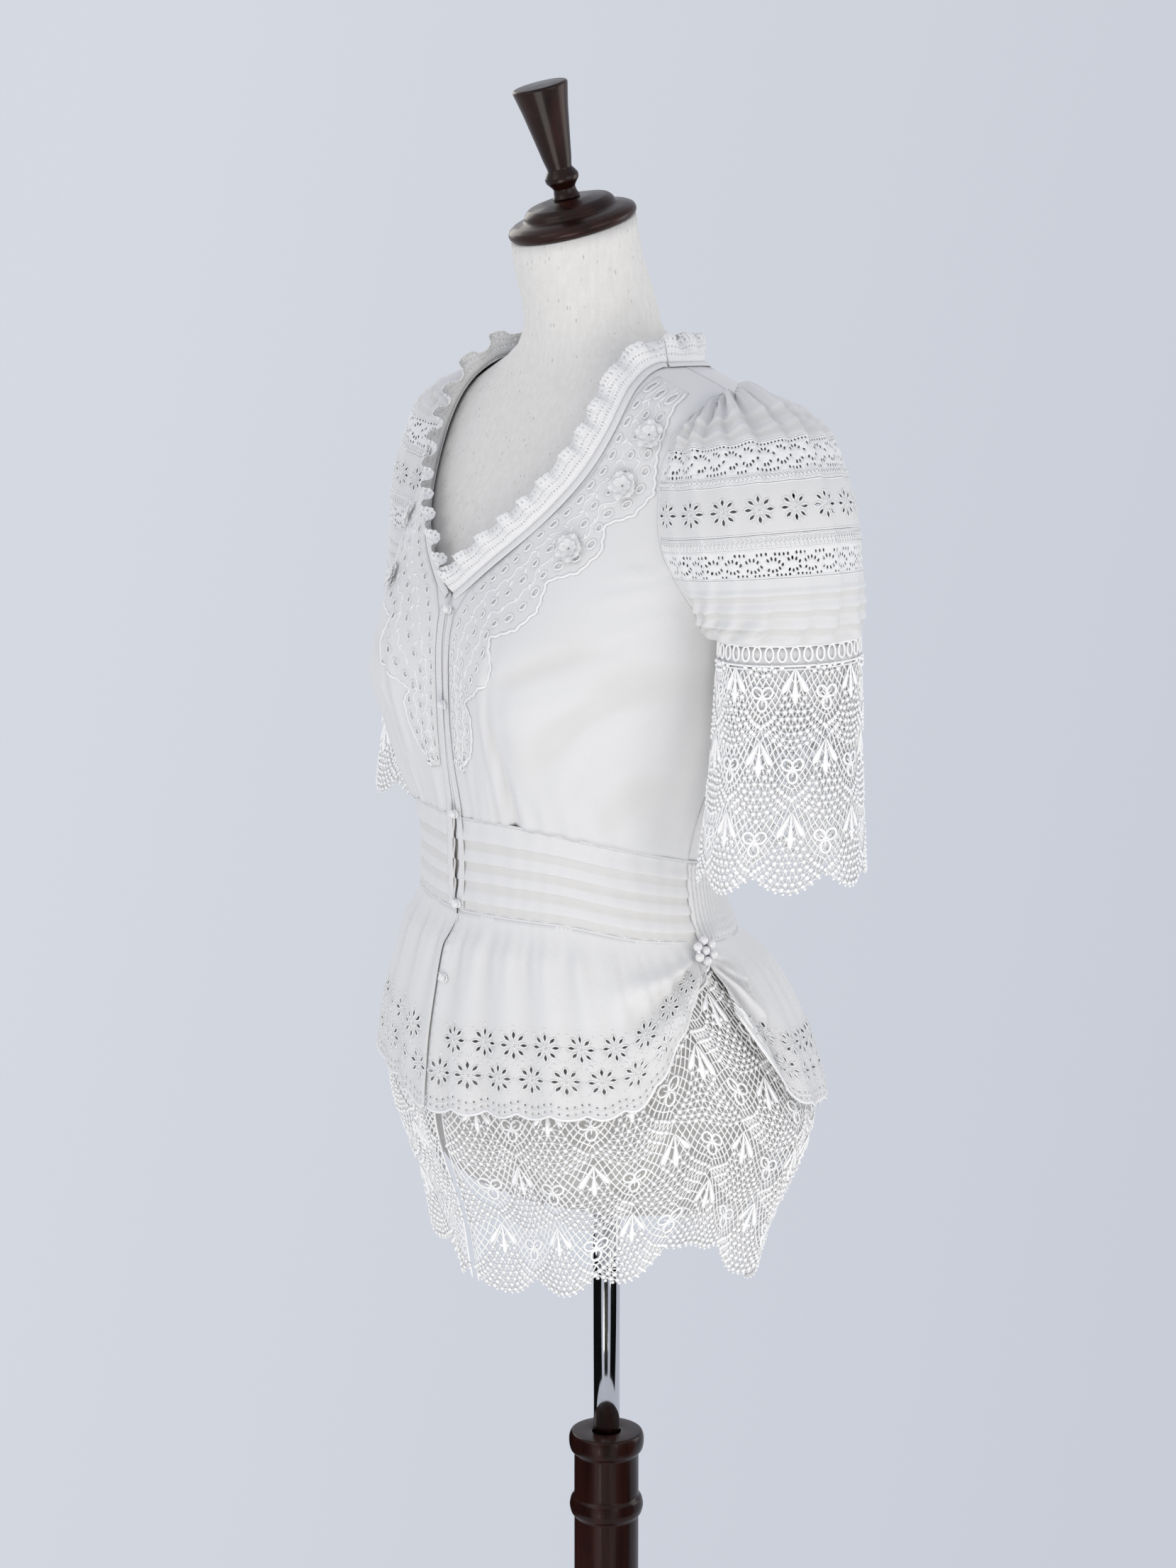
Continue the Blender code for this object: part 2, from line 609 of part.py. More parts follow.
def neck_frills():
    count = FRILL_WAVES * 4 + 1
    share = np.linspace(0.020, 0.985, count)
    x, z = neck_line(share)
    slope_x, slope_z = np.gradient(x), np.gradient(z)
    length = np.hypot(slope_x, slope_z)
    x = x - 1.2 * MM * slope_z / length
    z = z + 1.2 * MM * slope_x / length
    x = np.maximum(x, 0.0004)
    angle = angle_at(BODY, x, z)
    base, normals = on_body(angle, z, bodice_out(angle, z) + 0.5 * MM)
    points = frill_strip(base, normals, 50.0 + 22.0 * share, FRILL_WAVES)
    points[..., 0] = np.maximum(points[..., 0], 1.4 * MM)
    wall("neck_frill_left", "lace", points, FRILL_THICK)
    wall("neck_frill_right", "lace", mirrored(points), FRILL_THICK)
    angle = np.radians(np.linspace(78.0, 282.0, 57))
    z = curve(BACK_NECK, np.degrees(angle)) + 1.2 * MM
    base, normals = on_body(angle, z, bodice_out(angle, z) + 0.5 * MM)
    points = frill_strip(base, normals, np.full(57, 60.0), 14)
    wall("neck_frill_back", "lace", points, FRILL_THICK)


def back_binding_grid(columns=21):
    angle = np.radians(np.linspace(80.0, 280.0, columns))
    top = curve(BACK_NECK, np.degrees(angle)) - 0.3 * MM
    slant = np.linalg.norm(section_point(BODY, angle, top) - section_point(BODY, angle, top - MM), axis=1)
    z = np.stack([top - BINDING_WIDTH * MM / slant, top])
    angle = np.stack([angle, angle])
    return on_body(angle, z, bodice_out(angle, z) + OVER)


def both_sides(name, slot, grid, thick, relief=0.0):
    points, normals = grid
    wall(name + "_left", slot, points, thick, normals=normals, relief=relief)
    turned = relief if np.isscalar(relief) else relief[:, ::-1]
    wall(name + "_right", slot, mirrored(points), thick, normals=(normals * FLIP)[:, ::-1], relief=turned)


def trims():
    both_sides("yoke", "lace", yoke_grid(), OVERLAY)
    both_sides("binding", "cotton", binding_grid(), OVERLAY)
    both_sides("placket", "cotton", placket_grid(), OVERLAY)
    points, normals = back_binding_grid()
    wall("binding_back", "cotton", points, OVERLAY, normals=normals)
    neck_frills()


# Waistband.

def band_rows():
    """Shares of the waistband's height from its top, and the rise of its outer points there."""
    shares = [0.0]
    rises = [0.0]
    for tuck in TUCKS:
        shares += [tuck - TUCK_STEP, tuck + TUCK_STEP]
        rises += [TUCK_RISE, 0.0]
    return np.array(shares + [1.0]), np.array(rises + [0.5 * TUCK_RISE])


def waistband():
    share, rise = band_rows()
    last = SIDE_SEAM - SEAM_HALF / 0.1
    across = np.linspace(0.0, 1.0, 9)[None, :]
    top = curve(TOP_SEAM, 0.0)
    edge = angle_at(BODY, curve(FRONT_EDGE, top + (curve(LOW_SEAM, 0.0) - top) * share), 1.085)[:, None]
    angle = edge + (last - edge) * across
    high = seam(TOP_SEAM, angle) - SEAM_HALF
    low = seam(LOW_SEAM, angle) + SEAM_HALF
    z = high + (low - high) * share[:, None]
    grid = on_body(angle, z, np.full(z.shape, BAND_OUT * MM))
    both_sides("waistband", "cotton", grid, COTTON, relief=np.repeat(rise[:, None], 9, axis=1))
    columns = 37
    across = np.linspace(SIDE_SEAM + SEAM_HALF / 0.1, 2 * math.pi - SIDE_SEAM - SEAM_HALF / 0.1, columns)
    angle = np.repeat(across[None, :], 3, axis=0)
    high = seam(TOP_SEAM, angle) - SEAM_HALF
    low = seam(LOW_SEAM, angle) + SEAM_HALF
    z = high + (low - high) * np.linspace(0.0, 1.0, 3)[:, None]
    points, normals = on_body(angle, z, np.full(z.shape, BAND_OUT * MM))
    ribs = np.repeat(np.where(np.arange(columns) % 2, 0.6 * MM, 0.0)[None, :], 3, axis=0)
    wall("waistband_back", "cotton", points, COTTON, normals=normals, relief=ribs)


# Peplum and lace under-skirt.

PEPLUM_HEM = ((0, 0.9200), (20, 0.9280), (40, 0.9350), (52, 0.9380), (60, 0.9460), (66, 0.9610),
              (72, 0.9790), (80, 0.9985), (87, 1.0140), (92, 1.0230), (96, 1.0270))
PEPLUM_BACK_HEM = ((96, 0.9990), (98, 0.9830), (101, 0.9640), (105, 0.9470), (110, 0.9350),
                   (123, 0.9240), (180, 0.9160))
UNDER_HEM = ((0, 0.7970), (15, 0.7990), (30, 0.8060), (45, 0.8120), (60, 0.8250), (70, 0.8400),
             (78, 0.8490), (86, 0.8390), (100, 0.8220), (115, 0.8080), (140, 0.8020), (180, 0.8000))
SCALLOP = 0.009
UNDER_SCALLOPS = 8


def hang(angle, z):
    """Soft folds that the peplum and the under-skirt share, deeper towards the hem."""
    side = np.abs((np.asarray(angle) + math.pi) % (2 * math.pi) - math.pi)
    wander = 11.0 * side + 0.9 * np.sin(2.3 * side) + 0.5 * np.sin(5.1 * side + 1.0)
    depth = 0.0045 * (1 - ramp(0.83, 1.035, z))
    return depth * np.sin(wander)


def gathers(angle, z, top):
    """Small gathers under the waistband that fade within 70 mm."""
    side = np.abs((np.asarray(angle) + math.pi) % (2 * math.pi) - math.pi)
    return 0.0011 * np.cos(side * 30.0) * ramp(top - 0.075, top - 0.020, z) * (1 - ramp(top - 0.012, top, z))


PEPLUM_TOP_OUT = 3.0 * MM
UNDER_TOP_OUT = 1.2 * MM
SKIRT_BLEND = 0.024


def skirt_point(table, angle, z, out):
    """Point of a skirt: just above the form at its seam, on its own sections below."""
    normals = section_normal(table, angle, z)
    level = unit(normals * np.array([1.0, 1.0, 0.0]))
    hanging = section_point(table, angle, z) + level * np.asarray(out)[..., None]
    sewn, _ = on_body(angle, z, np.full(np.shape(z), PEPLUM_TOP_OUT if table is PEPLUM else UNDER_TOP_OUT))
    top = seam(LOW_SEAM, angle)
    share = ramp(top - SKIRT_BLEND, top, z)[..., None]
    return hanging * (1 - share) + sewn * share


def peplum_grid(hem, angles, rows=5):
    angle = np.repeat(angles[None, :], rows, axis=0)
    degrees = np.degrees(np.abs((angle + math.pi) % (2 * math.pi) - math.pi))
    top = seam(LOW_SEAM, angle) - SEAM_HALF
    share = np.array((0.0, 0.15, 0.38, 0.68, 1.0))[:, None]
    z = top + (curve(hem, degrees) - top) * share
    out = hang(angle, z) + gathers(angle, z, top)
    return skirt_point(PEPLUM, angle, z, out)


def peplum():
    first = 0.022
    last = SIDE_SEAM - SEAM_HALF / 0.12
    points = peplum_grid(PEPLUM_HEM, np.linspace(first, last, 25))
    wall("peplum_left", "cotton", points, COTTON, normals=-grid_normals(points))
    turned = mirrored(points)
    wall("peplum_right", "cotton", turned, COTTON, normals=-grid_normals(turned))
    start = SIDE_SEAM + SEAM_HALF / 0.12
    points = peplum_grid(PEPLUM_BACK_HEM, np.linspace(start, 2 * math.pi - start, 43))
    wall("peplum_back", "cotton", points, COTTON, normals=-grid_normals(points))


def under_skirt():
    columns = UNDER_SCALLOPS * 4 + 1
    rows = 6
    angle = np.repeat(np.linspace(0.030, math.pi - 0.0016, columns)[None, :], rows, axis=0)
    top = seam(LOW_SEAM, angle) - SEAM_HALF - 0.1 * MM
    scallop = SCALLOP * np.abs(np.sin(math.pi * UNDER_SCALLOPS * np.linspace(0.0, 1.0, columns)))
    hem = curve(UNDER_HEM, np.degrees(angle)) + 0.4 * SCALLOP - scallop
    share = np.array((0.0, 0.13, 0.32, 0.54, 0.77, 1.0))[:, None]
    z = top + (hem - top) * share
    points = skirt_point(UNDER, angle, z, hang(angle, z))
    wall("lace_skirt_left", "lace", points, LACE, normals=-grid_normals(points))
    turned = mirrored(points)
    wall("lace_skirt_right", "lace", turned, LACE, normals=-grid_normals(turned))


# Sleeves.

SLEEVE = (
    # edge_z, outer_z, outer_x, centre_x, reach_y
    (1.3885, 1.3985, 0.1385, 0.1290, 0.0150),
    (1.3830, 1.4000, 0.1510, 0.1340, 0.0240),
    (1.3770, 1.3935, 0.1720, 0.1400, 0.0350),
    (1.3700, 1.3830, 0.1910, 0.1480, 0.0420),
    (1.3620, 1.3740, 0.2060, 0.1550, 0.0470),
    (1.3380, 1.3500, 0.2215, 0.1620, 0.0510),
    (1.3230, 1.3350, 0.2285, 0.1660, 0.0530),
    (1.3080, 1.3190, 0.2325, 0.1690, 0.0540),
    (1.2840, 1.2920, 0.2365, 0.1740, 0.0540),
    (1.2740, 1.2815, 0.2370, 0.1790, 0.0530),
    (1.2645, 1.2710, 0.2365, 0.1850, 0.0515),
    (1.2555, 1.2595, 0.2345, 0.1900, 0.0500),
    (1.2475, 1.2480, 0.2310, 0.1950, 0.0490),
)
SLEEVE_BANDS = (
    # name, slot, first_row, last_row
    ("sleeve_cap", "cotton", 0, 4),
    ("sleeve_lace_upper", "lace", 4, 5),
    ("sleeve_eyelet", "cotton", 5, 7),
    ("sleeve_lace_lower", "lace", 7, 8),
    ("sleeve_tucks", "cotton", 8, 12),
)
SLEEVE_Y = 0.003
SLEEVE_COLUMNS = 17
SLEEVE_WALL = 1.2 * MM
CUFF = (
    # z, centre_x, centre_y, half_x, half_y
    (1.0900, 0.1945, 0.000, 0.0420, 0.0580),
    (1.1000, 0.1945, 0.000, 0.0415, 0.0575),
    (1.1400, 0.1950, 0.001, 0.0395, 0.0540),
    (1.1800, 0.1950, 0.002, 0.0375, 0.0515),
    (1.2150, 0.1950, 0.003, 0.0370, 0.0500),
    (1.2475, 0.1950, 0.003, 0.0360, 0.0490),
)
CUFF_HEM = 1.1010
CUFF_SCALLOPS = 7
CUFF_SCALLOP = 0.008


def armhole_point(z, side):
    """Point of the armhole at a height: side 1 is the front edge, side 2 the back edge."""
    angle = np.radians(curve(ARMHOLE, z, side))
    point, _ = on_body(angle, np.asarray(z), bodice_out(angle, z) + 0.9 * MM)
    return point


def sleeve_row(row, share):
    """One level of the sleeve, from the front of the armhole round the outside to its back."""
    edge_z, outer_z, outer_x, centre_x, reach_y = row
    reach_x = outer_x - centre_x
    if edge_z < SLEEVE[-1][0] + 0.001:
        ends = [np.array([2 * centre_x - outer_x, SLEEVE_Y, edge_z])] * 2
        limit = math.pi
    else:
        ends = [armhole_point(edge_z, 1), armhole_point(edge_z, 2)]
        middle = 0.5 * (ends[0][0] + ends[1][0])
        limit = math.acos(max(-0.95, min(0.9, (middle - centre_x) / reach_x)))
    turn = share * limit
    lift = ((1 + np.cos(turn * math.pi / limit)) / 2) ** 0.8
    points = np.stack([centre_x + reach_x * np.cos(turn), SLEEVE_Y + reach_y * np.sin(turn),
                       edge_z + (outer_z - edge_z) * lift], axis=1)
    for end, sign in ((ends[0], -1.0), (ends[1], 1.0)):
        index = 0 if sign < 0 else -1
        weight = np.clip(sign * share, 0.0, 1.0) ** 3
        points = points + weight[:, None] * (end - points[index])
    return points


def sleeve_grid():
    share = np.linspace(-1.0, 1.0, SLEEVE_COLUMNS)
    return np.array([sleeve_row(row, share) for row in SLEEVE])


def cuff_grid(rows=5):
    columns = CUFF_SCALLOPS * 4
    turn = 2 * math.pi * np.arange(columns) / columns
    scallop = CUFF_SCALLOP * np.abs(np.sin(turn * CUFF_SCALLOPS / 2))
    top = SLEEVE[-1][0] - 0.9 * MM
    grid = []
    for share in np.linspace(0.0, 1.0, rows):
        z = top + (CUFF_HEM + 0.4 * CUFF_SCALLOP - scallop - top) * share
        wave = 1 + 0.035 * share * np.sin(5 * turn + 0.6)
        x = curve(CUFF, z, 1) + curve(CUFF, z, 3) * wave * np.cos(turn)
        y = curve(CUFF, z, 2) + curve(CUFF, z, 4) * wave * np.sin(turn)
        grid.append(np.stack([x, y, z], axis=1))
    return np.array(grid)


def sleeves():
    grid = sleeve_grid()
    normals = -grid_normals(grid)
    for name, slot, first, last in SLEEVE_BANDS:
        points = np.array(grid[first:last + 1])
        across = unit(np.gradient(points, axis=0))
        points[0] += across[0] * SEAM_HALF
        points[-1] -= across[-1] * SEAM_HALF
        part = normals[first:last + 1]
        both_sides(name, slot, (points, part), SLEEVE_WALL)
    cuff = cuff_grid()
    wall("cuff_lace_left", "lace", cuff, LACE, closed=True, normals=-grid_normals(cuff, True))
    turned = mirrored(cuff)
    wall("cuff_lace_right", "lace", turned, LACE, closed=True, normals=-grid_normals(turned, True))


# Buttons, flowers and brooches.

BUTTON_RADIUS = 2.6 * MM
BUTTON_HEIGHTS = (1.2530, 1.1925, 1.1190, 1.0580, 1.0090)
BUTTON_X = 0.0052
FLOWER_RADIUS = 0.0100
LEFT_FLOWERS = ((0.1200, 1.3700), (0.1150, 1.3390), (0.0956, 1.2990))
RIGHT_FLOWERS = ((0.1150, 1.3430), (0.1000, 1.3040), (0.0800, 1.2660))
BROOCH_ANGLE = math.radians(94.6)
BROOCH_Z = 1.0350
BROOCH_LIFT = 2.9 * MM


def frame_at(point, normal):
    up = np.array([0.0, 0.0, 1.0])
    across = unit(np.cross(up, normal))
    return point, across, unit(np.cross(normal, across)), normal


def dome(name, slot, frame, profile, sides, lobes=0, lobe_depth=0.0):
    """Small turned or petalled solid on a surface; its profile is (radius, height above the surface)."""
    point, across, upward, normal = frame
    vertices = []
    rings = []
    for radius, height in profile:
        if radius < 1e-6:
            rings.append([len(vertices)])
            vertices.append(point + normal * height)
            continue
        rings.append(list(range(len(vertices), len(vertices) + sides)))
        for k in range(sides):
            turn = 2 * math.pi * k / sides
            reach = radius * (1 + lobe_depth * math.cos(lobes * turn))
            vertices.append(point + across * reach * math.cos(turn) + upward * reach * math.sin(turn)
                            + normal * height)
    faces = []
    for low, high in zip(rings, rings[1:]):
        for k in range(sides):
            after = (k + 1) % sides
            if len(low) == 1:
                faces.append((low[0], high[after], high[k]))
            elif len(high) == 1:
                faces.append((low[k], low[after], high[0]))
            else:
                faces.append((low[k], low[after], high[after], high[k]))
    return add_mesh(name, slot, vertices, faces, smooth=True)


def sphere_profile(radius, base, steps=5):
    rows = []
    for k in range(steps + 1):
        turn = math.pi * k / steps
        rows.append((abs(radius * math.sin(turn)) if 0 < k < steps else 0.0,
                     base + radius - radius * math.cos(turn)))
    return rows


def fastenings():
    for number, z in enumerate(BUTTON_HEIGHTS, 1):
        if z > LOW_SEAM[0][1] + 0.002:
            angle = angle_at(BODY, BUTTON_X, z)
            below = curve(TOP_SEAM, 0.0)
            out = max(float(bodice_out(angle, z)), BAND_OUT * MM)
            out += float(ramp(below + 0.012, below - 0.002, z)) * TUCK_RISE + OVER + OVERLAY / 2
            point, normal = on_body(angle, np.asarray(z), out)
        else:
            angle = angle_at(PEPLUM, BUTTON_X + 0.002, z)
            out = float(hang(angle, z) + gathers(angle, z, LOW_SEAM[0][1]))
            point = skirt_point(PEPLUM, angle, np.asarray(z), out)
            normal = section_normal(PEPLUM, angle, np.asarray(z))
            point = point + normal * COTTON / 2
        dome("button_%d" % number, "pearl", frame_at(point, normal), sphere_profile(BUTTON_RADIUS, SEAM), 8)
    petals = ((0.0, 0.6 * MM), (0.55 * FLOWER_RADIUS, 0.6 * MM), (FLOWER_RADIUS, 1.6 * MM),
              (FLOWER_RADIUS, 2.4 * MM), (0.45 * FLOWER_RADIUS, 2.2 * MM), (0.22 * FLOWER_RADIUS, 4.6 * MM),
              (0.0, 5.2 * MM))
    number = 0
    for side, places in ((1.0, LEFT_FLOWERS), (-1.0, RIGHT_FLOWERS)):
        for x, z in places:
            number += 1
            point, normal = on_front(np.asarray(x), np.asarray(z), OVER + OVERLAY / 2)
            turn = np.array([side, 1.0, 1.0])
            dome("flower_%d" % number, "organza", frame_at(point * turn, normal * turn), petals, 10, 5, 0.10)
    stones = ((0.0, 0.0), (0.0075, 0.0), (0.0095, 1.6 * MM), (0.0092, 3.4 * MM), (0.0062, 5.0 * MM),
              (0.0030, 4.6 * MM), (0.0, 5.2 * MM))
    point = skirt_point(PEPLUM, BROOCH_ANGLE, np.asarray(BROOCH_Z), np.asarray(0.0))
    normal = section_normal(PEPLUM, BROOCH_ANGLE, np.asarray(BROOCH_Z))
    normal = unit(normal * np.array([1.0, 1.0, 0.6]))
    point = point + normal * (COTTON / 2 + BROOCH_LIFT)
    for name, side in (("brooch_left", 1.0), ("brooch_right", -1.0)):
        turn = np.array([side, 1.0, 1.0])
        dome(name, "pearl", frame_at(point * turn, normal * turn), stones, 12, 6, 0.09)


for item in list(bpy.data.objects):
    bpy.data.objects.remove(item, do_unlink=True)

form_and_stand()
bodice()
trims()
waistband()
peplum()
under_skirt()
sleeves()
fastenings()
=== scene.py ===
"""Dressed eyelet blouse on its form: cloth, lace, embroidery, pearls and the turned stand.

Metres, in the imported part's own frame: +Z up, the front faces -Y, the wearer's left is +X.
Angles round the body start at the centre front and grow towards the wearer's left.
"""
import math

import bpy
import numpy as np
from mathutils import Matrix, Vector, kdtree
from mathutils.geometry import delaunay_2d_cdt


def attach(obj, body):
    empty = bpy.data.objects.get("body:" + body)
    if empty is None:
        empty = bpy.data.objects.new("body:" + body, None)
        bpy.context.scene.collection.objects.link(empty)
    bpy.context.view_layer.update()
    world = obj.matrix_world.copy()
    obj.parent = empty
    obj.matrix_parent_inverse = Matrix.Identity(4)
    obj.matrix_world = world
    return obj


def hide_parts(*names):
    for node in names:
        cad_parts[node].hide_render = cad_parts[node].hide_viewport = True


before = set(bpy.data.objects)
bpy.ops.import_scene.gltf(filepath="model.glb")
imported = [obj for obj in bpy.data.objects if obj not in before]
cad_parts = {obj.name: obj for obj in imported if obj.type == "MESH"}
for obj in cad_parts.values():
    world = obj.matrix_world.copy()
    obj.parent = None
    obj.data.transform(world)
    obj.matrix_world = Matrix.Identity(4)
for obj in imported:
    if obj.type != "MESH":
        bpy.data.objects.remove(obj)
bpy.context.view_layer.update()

MM = 0.001
SEAM = 0.3 * MM
COTTON = 1.2 * MM
OVERLAY = 1.0 * MM
FORM_INSET = 0.5 * MM

# The form's cross-sections: height, half width, front, back, line of greatest width, squareness.
BODY = (
    # z, half_width, front, back, mid, power
    (0.855, 0.126, -0.098, 0.078, -0.010, 2.1),
    (0.880, 0.143, -0.112, 0.092, -0.010, 2.1),
    (0.920, 0.153, -0.121, 0.101, -0.012, 2.1),
    (0.960, 0.150, -0.122, 0.096, -0.014, 2.1),
    (1.000, 0.140, -0.120, 0.082, -0.018, 2.1),
    (1.030, 0.130, -0.118, 0.068, -0.026, 2.05),
    (1.060, 0.121, -0.118, 0.057, -0.030, 2.0),
    (1.090, 0.118, -0.118, 0.055, -0.030, 2.0),
    (1.120, 0.123, -0.119, 0.060, -0.028, 2.1),
    (1.160, 0.134, -0.122, 0.070, -0.024, 2.2),
    (1.200, 0.144, -0.124, 0.079, -0.020, 2.3),
    (1.240, 0.151, -0.124, 0.086, -0.014, 2.3),
    (1.280, 0.156, -0.115, 0.091, -0.008, 2.3),
    (1.320, 0.159, -0.100, 0.091, -0.002, 2.2),
    (1.350, 0.160, -0.087, 0.086, 0.002, 2.1),
    (1.372, 0.157, -0.076, 0.078, 0.004, 2.05),
    (1.386, 0.148, -0.069, 0.067, 0.004, 2.0),
    (1.396, 0.129, -0.064, 0.056, 0.002, 2.0),
    (1.404, 0.107, -0.060, 0.048, -0.001, 2.0),
    (1.412, 0.084, -0.058, 0.041, -0.004, 2.0),
    (1.420, 0.065, -0.057, 0.037, -0.007, 2.0),
    (1.432, 0.051, -0.057, 0.033, -0.010, 2.0),
    (1.450, 0.046, -0.059, 0.029, -0.014, 2.0),
    (1.475, 0.0425, -0.065, 0.019, -0.023, 2.0),
    (1.498, 0.0415, -0.069, 0.014, -0.027, 2.0),
)
# The peplum's and the under-skirt's own sections, which stand away from the form.
PEPLUM = (
    # z, half_width, front, back, mid, power
    (0.905, 0.181, -0.145, 0.131, -0.008, 2.0),
    (0.925, 0.179, -0.145, 0.130, -0.008, 2.0),
    (0.945, 0.174, -0.144, 0.126, -0.011, 2.0),
    (0.970, 0.167, -0.142, 0.118, -0.015, 2.0),
    (1.000, 0.155, -0.137, 0.104, -0.020, 2.0),
    (1.030, 0.1385, -0.1300, 0.0830, -0.026, 2.0),
    (1.045, 0.1320, -0.1255, 0.0715, -0.029, 2.0),
    (1.055, 0.1285, -0.1240, 0.0670, -0.030, 2.0),
)
UNDER = (
    # z, half_width, front, back, mid, power
    (0.775, 0.130, -0.101, 0.076, -0.008, 2.0),
    (0.805, 0.134, -0.106, 0.084, -0.008, 2.0),
    (0.845, 0.143, -0.113, 0.103, -0.008, 2.0),
    (0.865, 0.151, -0.120, 0.114, -0.008, 2.0),
    (0.890, 0.162, -0.129, 0.123, -0.009, 2.0),
    (0.915, 0.168, -0.135, 0.124, -0.010, 2.0),
    (0.940, 0.166, -0.136, 0.119, -0.012, 2.0),
    (0.970, 0.159, -0.134, 0.110, -0.015, 2.0),
    (1.000, 0.147, -0.130, 0.096, -0.020, 2.0),
    (1.030, 0.1335, -0.1235, 0.0760, -0.026, 2.0),
    (1.045, 0.1280, -0.1210, 0.0660, -0.029, 2.0),
    (1.055, 0.1250, -0.1205, 0.0625, -0.030, 2.0),
)
BUST_X = 0.078
BUST_Z = 1.205
BUST_WIDTH = 0.048
BUST_HEIGHT = 0.062
BUST_RISE = 0.019

SIDE_SEAM = math.radians(96.0)
SEAM_HALF = 0.16 * MM
TOP_SEAM = ((0, 1.1155), (20, 1.1180), (40, 1.1160), (60, 1.1090), (80, 1.1010), (100, 1.0930),
            (180, 1.0890))
LOW_SEAM = ((0, 1.0530), (20, 1.0545), (45, 1.0540), (70, 1.0460), (100, 1.0400), (180, 1.0360))
# The front edges meet at the buttons and part between the third and the fourth.
FRONT_EDGE = ((1.000, 0.0024), (1.040, 0.0010), (1.060, 0.0010), (1.085, 0.0022),
              (1.110, 0.0012), (1.125, 0.0005), (1.260, 0.0005))
# Neckline: height and distance from the centre.
NECK_EDGE = ((1.262, 0.0005), (1.268, 0.0100), (1.282, 0.0284), (1.3095, 0.0593), (1.328, 0.0740),
             (1.3475, 0.0850), (1.366, 0.0905), (1.386, 0.0915), (1.400, 0.0882), (1.411, 0.0835))
NECK_TOP = 1.411
BACK_NECK = ((90, NECK_TOP), (113, 1.4105), (140, 1.4090), (180, 1.4080), (220, 1.4090),
             (247, 1.4105), (270, NECK_TOP))
UNDERARM = 1.240
SHOULDER = 1.394
# Armhole: height, angle of its front edge and of its back edge.
ARMHOLE = (
    # z, front_angle, back_angle
    (UNDERARM, 95.9, 96.1),
    (1.248, 86.0, 106.0),
    (1.262, 78.5, 113.0),
    (1.272, 74.0, 118.0),
    (1.286, 68.0, 122.0),
    (1.298, 63.5, 125.0),
    (1.314, 59.5, 128.0),
    (1.333, 56.8, 129.0),
    (1.358, 55.4, 128.0),
    (1.376, 59.0, 122.0),
    (1.387, 69.0, 111.0),
    (SHOULDER, 89.6, 90.4),
)
ARMHOLE_GAP = 0.003
# Room between the form and the middle of the bodice's wall.
EASE = ((1.085, 2.2), (1.115, 2.8), (1.150, 4.6), (1.200, 4.8), (1.260, 3.0), (1.320, 1.9), (1.500, 1.8))
# Soft folds of the bodice: angle, top and bottom height, outward rise in mm, half width in degrees.
FOLDS = (
    # angle, top, bottom, rise, half_width
    (27, 1.235, 1.105, -1.8, 2.5),
    (34, 1.220, 1.105, 1.6, 4.0),
    (19, 1.180, 1.105, 1.5, 3.0),
    (46, 1.200, 1.110, 1.3, 6.0),
    (66, 1.240, 1.120, 1.6, 7.0),
    (84, 1.230, 1.105, -1.0, 5.0),
)

BODICE_LOW = 1.160


def curve(table, at, column=1):
    """Smooth curve through a table's rows, read at one value or an array of values."""
    rows = np.asarray(table, dtype=float)
    knots = rows[:, 0]
    values = rows[:, column]
    slopes = np.gradient(values, knots)
    at = np.clip(np.asarray(at, dtype=float), knots[0], knots[-1])
    low = np.clip(np.searchsorted(knots, at, side="right") - 1, 0, len(knots) - 2)
    width = knots[low + 1] - knots[low]
    t = (at - knots[low]) / width
    start = (1 + 2 * t) * (1 - t) ** 2 * values[low] + t * (1 - t) ** 2 * width * slopes[low]
    end = t * t * (3 - 2 * t) * values[low + 1] - t * t * (1 - t) * width * slopes[low + 1]
    return start + end


def ramp(low, high, at):
    t = np.clip((np.asarray(at, dtype=float) - low) / (high - low), 0.0, 1.0)
    return t * t * (3 - 2 * t)


def section_point(table, angle, z):
    """Point of a stack of rounded sections at an angle and a height."""
    angle = np.asarray(angle, dtype=float)
    z = np.asarray(z, dtype=float)
    half_width = curve(table, z, 1)
    front = curve(table, z, 2)
    back = curve(table, z, 3)
    mid = curve(table, z, 4)
    power = 2.0 / curve(table, z, 5)
    sine = np.sin(angle)
    cosine = np.cos(angle)
    x = half_width * np.sign(sine) * np.abs(sine) ** power
    depth = np.where(cosine > 0, mid - front, back - mid)
    y = mid - np.sign(cosine) * depth * np.abs(cosine) ** power
    if table is BODY:
        across = ((np.abs(x) - BUST_X) / BUST_WIDTH) ** 2
        upward = ((z - BUST_Z) / BUST_HEIGHT) ** 2
        y = y - BUST_RISE * np.exp(-across - upward) * ramp(0.0, 0.35, cosine)
    return np.stack(np.broadcast_arrays(x, y, z), axis=-1)


def section_normal(table, angle, z):
    step = 0.004
    rise = 0.8 * MM
    along = section_point(table, angle + step, z) - section_point(table, angle - step, z)
    upward = section_point(table, angle, z + rise) - section_point(table, angle, z - rise)
    normal = np.cross(along, upward)
    return normal / np.linalg.norm(normal, axis=-1, keepdims=True)


def angle_at(table, x, z):
    """Angle on the front half of a section at a distance from the centre."""
    share = np.clip(np.asarray(x) / curve(table, z, 1), 0.0, 1.0)
    return np.arcsin(share ** (curve(table, z, 5) / 2.0))


def unit(vectors):
    return vectors / np.maximum(np.linalg.norm(vectors, axis=-1, keepdims=True), 1e-9)


def grid_normals(points):
    """Normals of a grid of points: rows by columns, columns going round."""
    return unit(np.cross(np.gradient(points, axis=1), np.gradient(points, axis=0)))


def facing_out(normals, way):
    """The same normals, turned round when as a whole they point against the way."""
    return -normals if (normals * way).sum() < 0 else normals


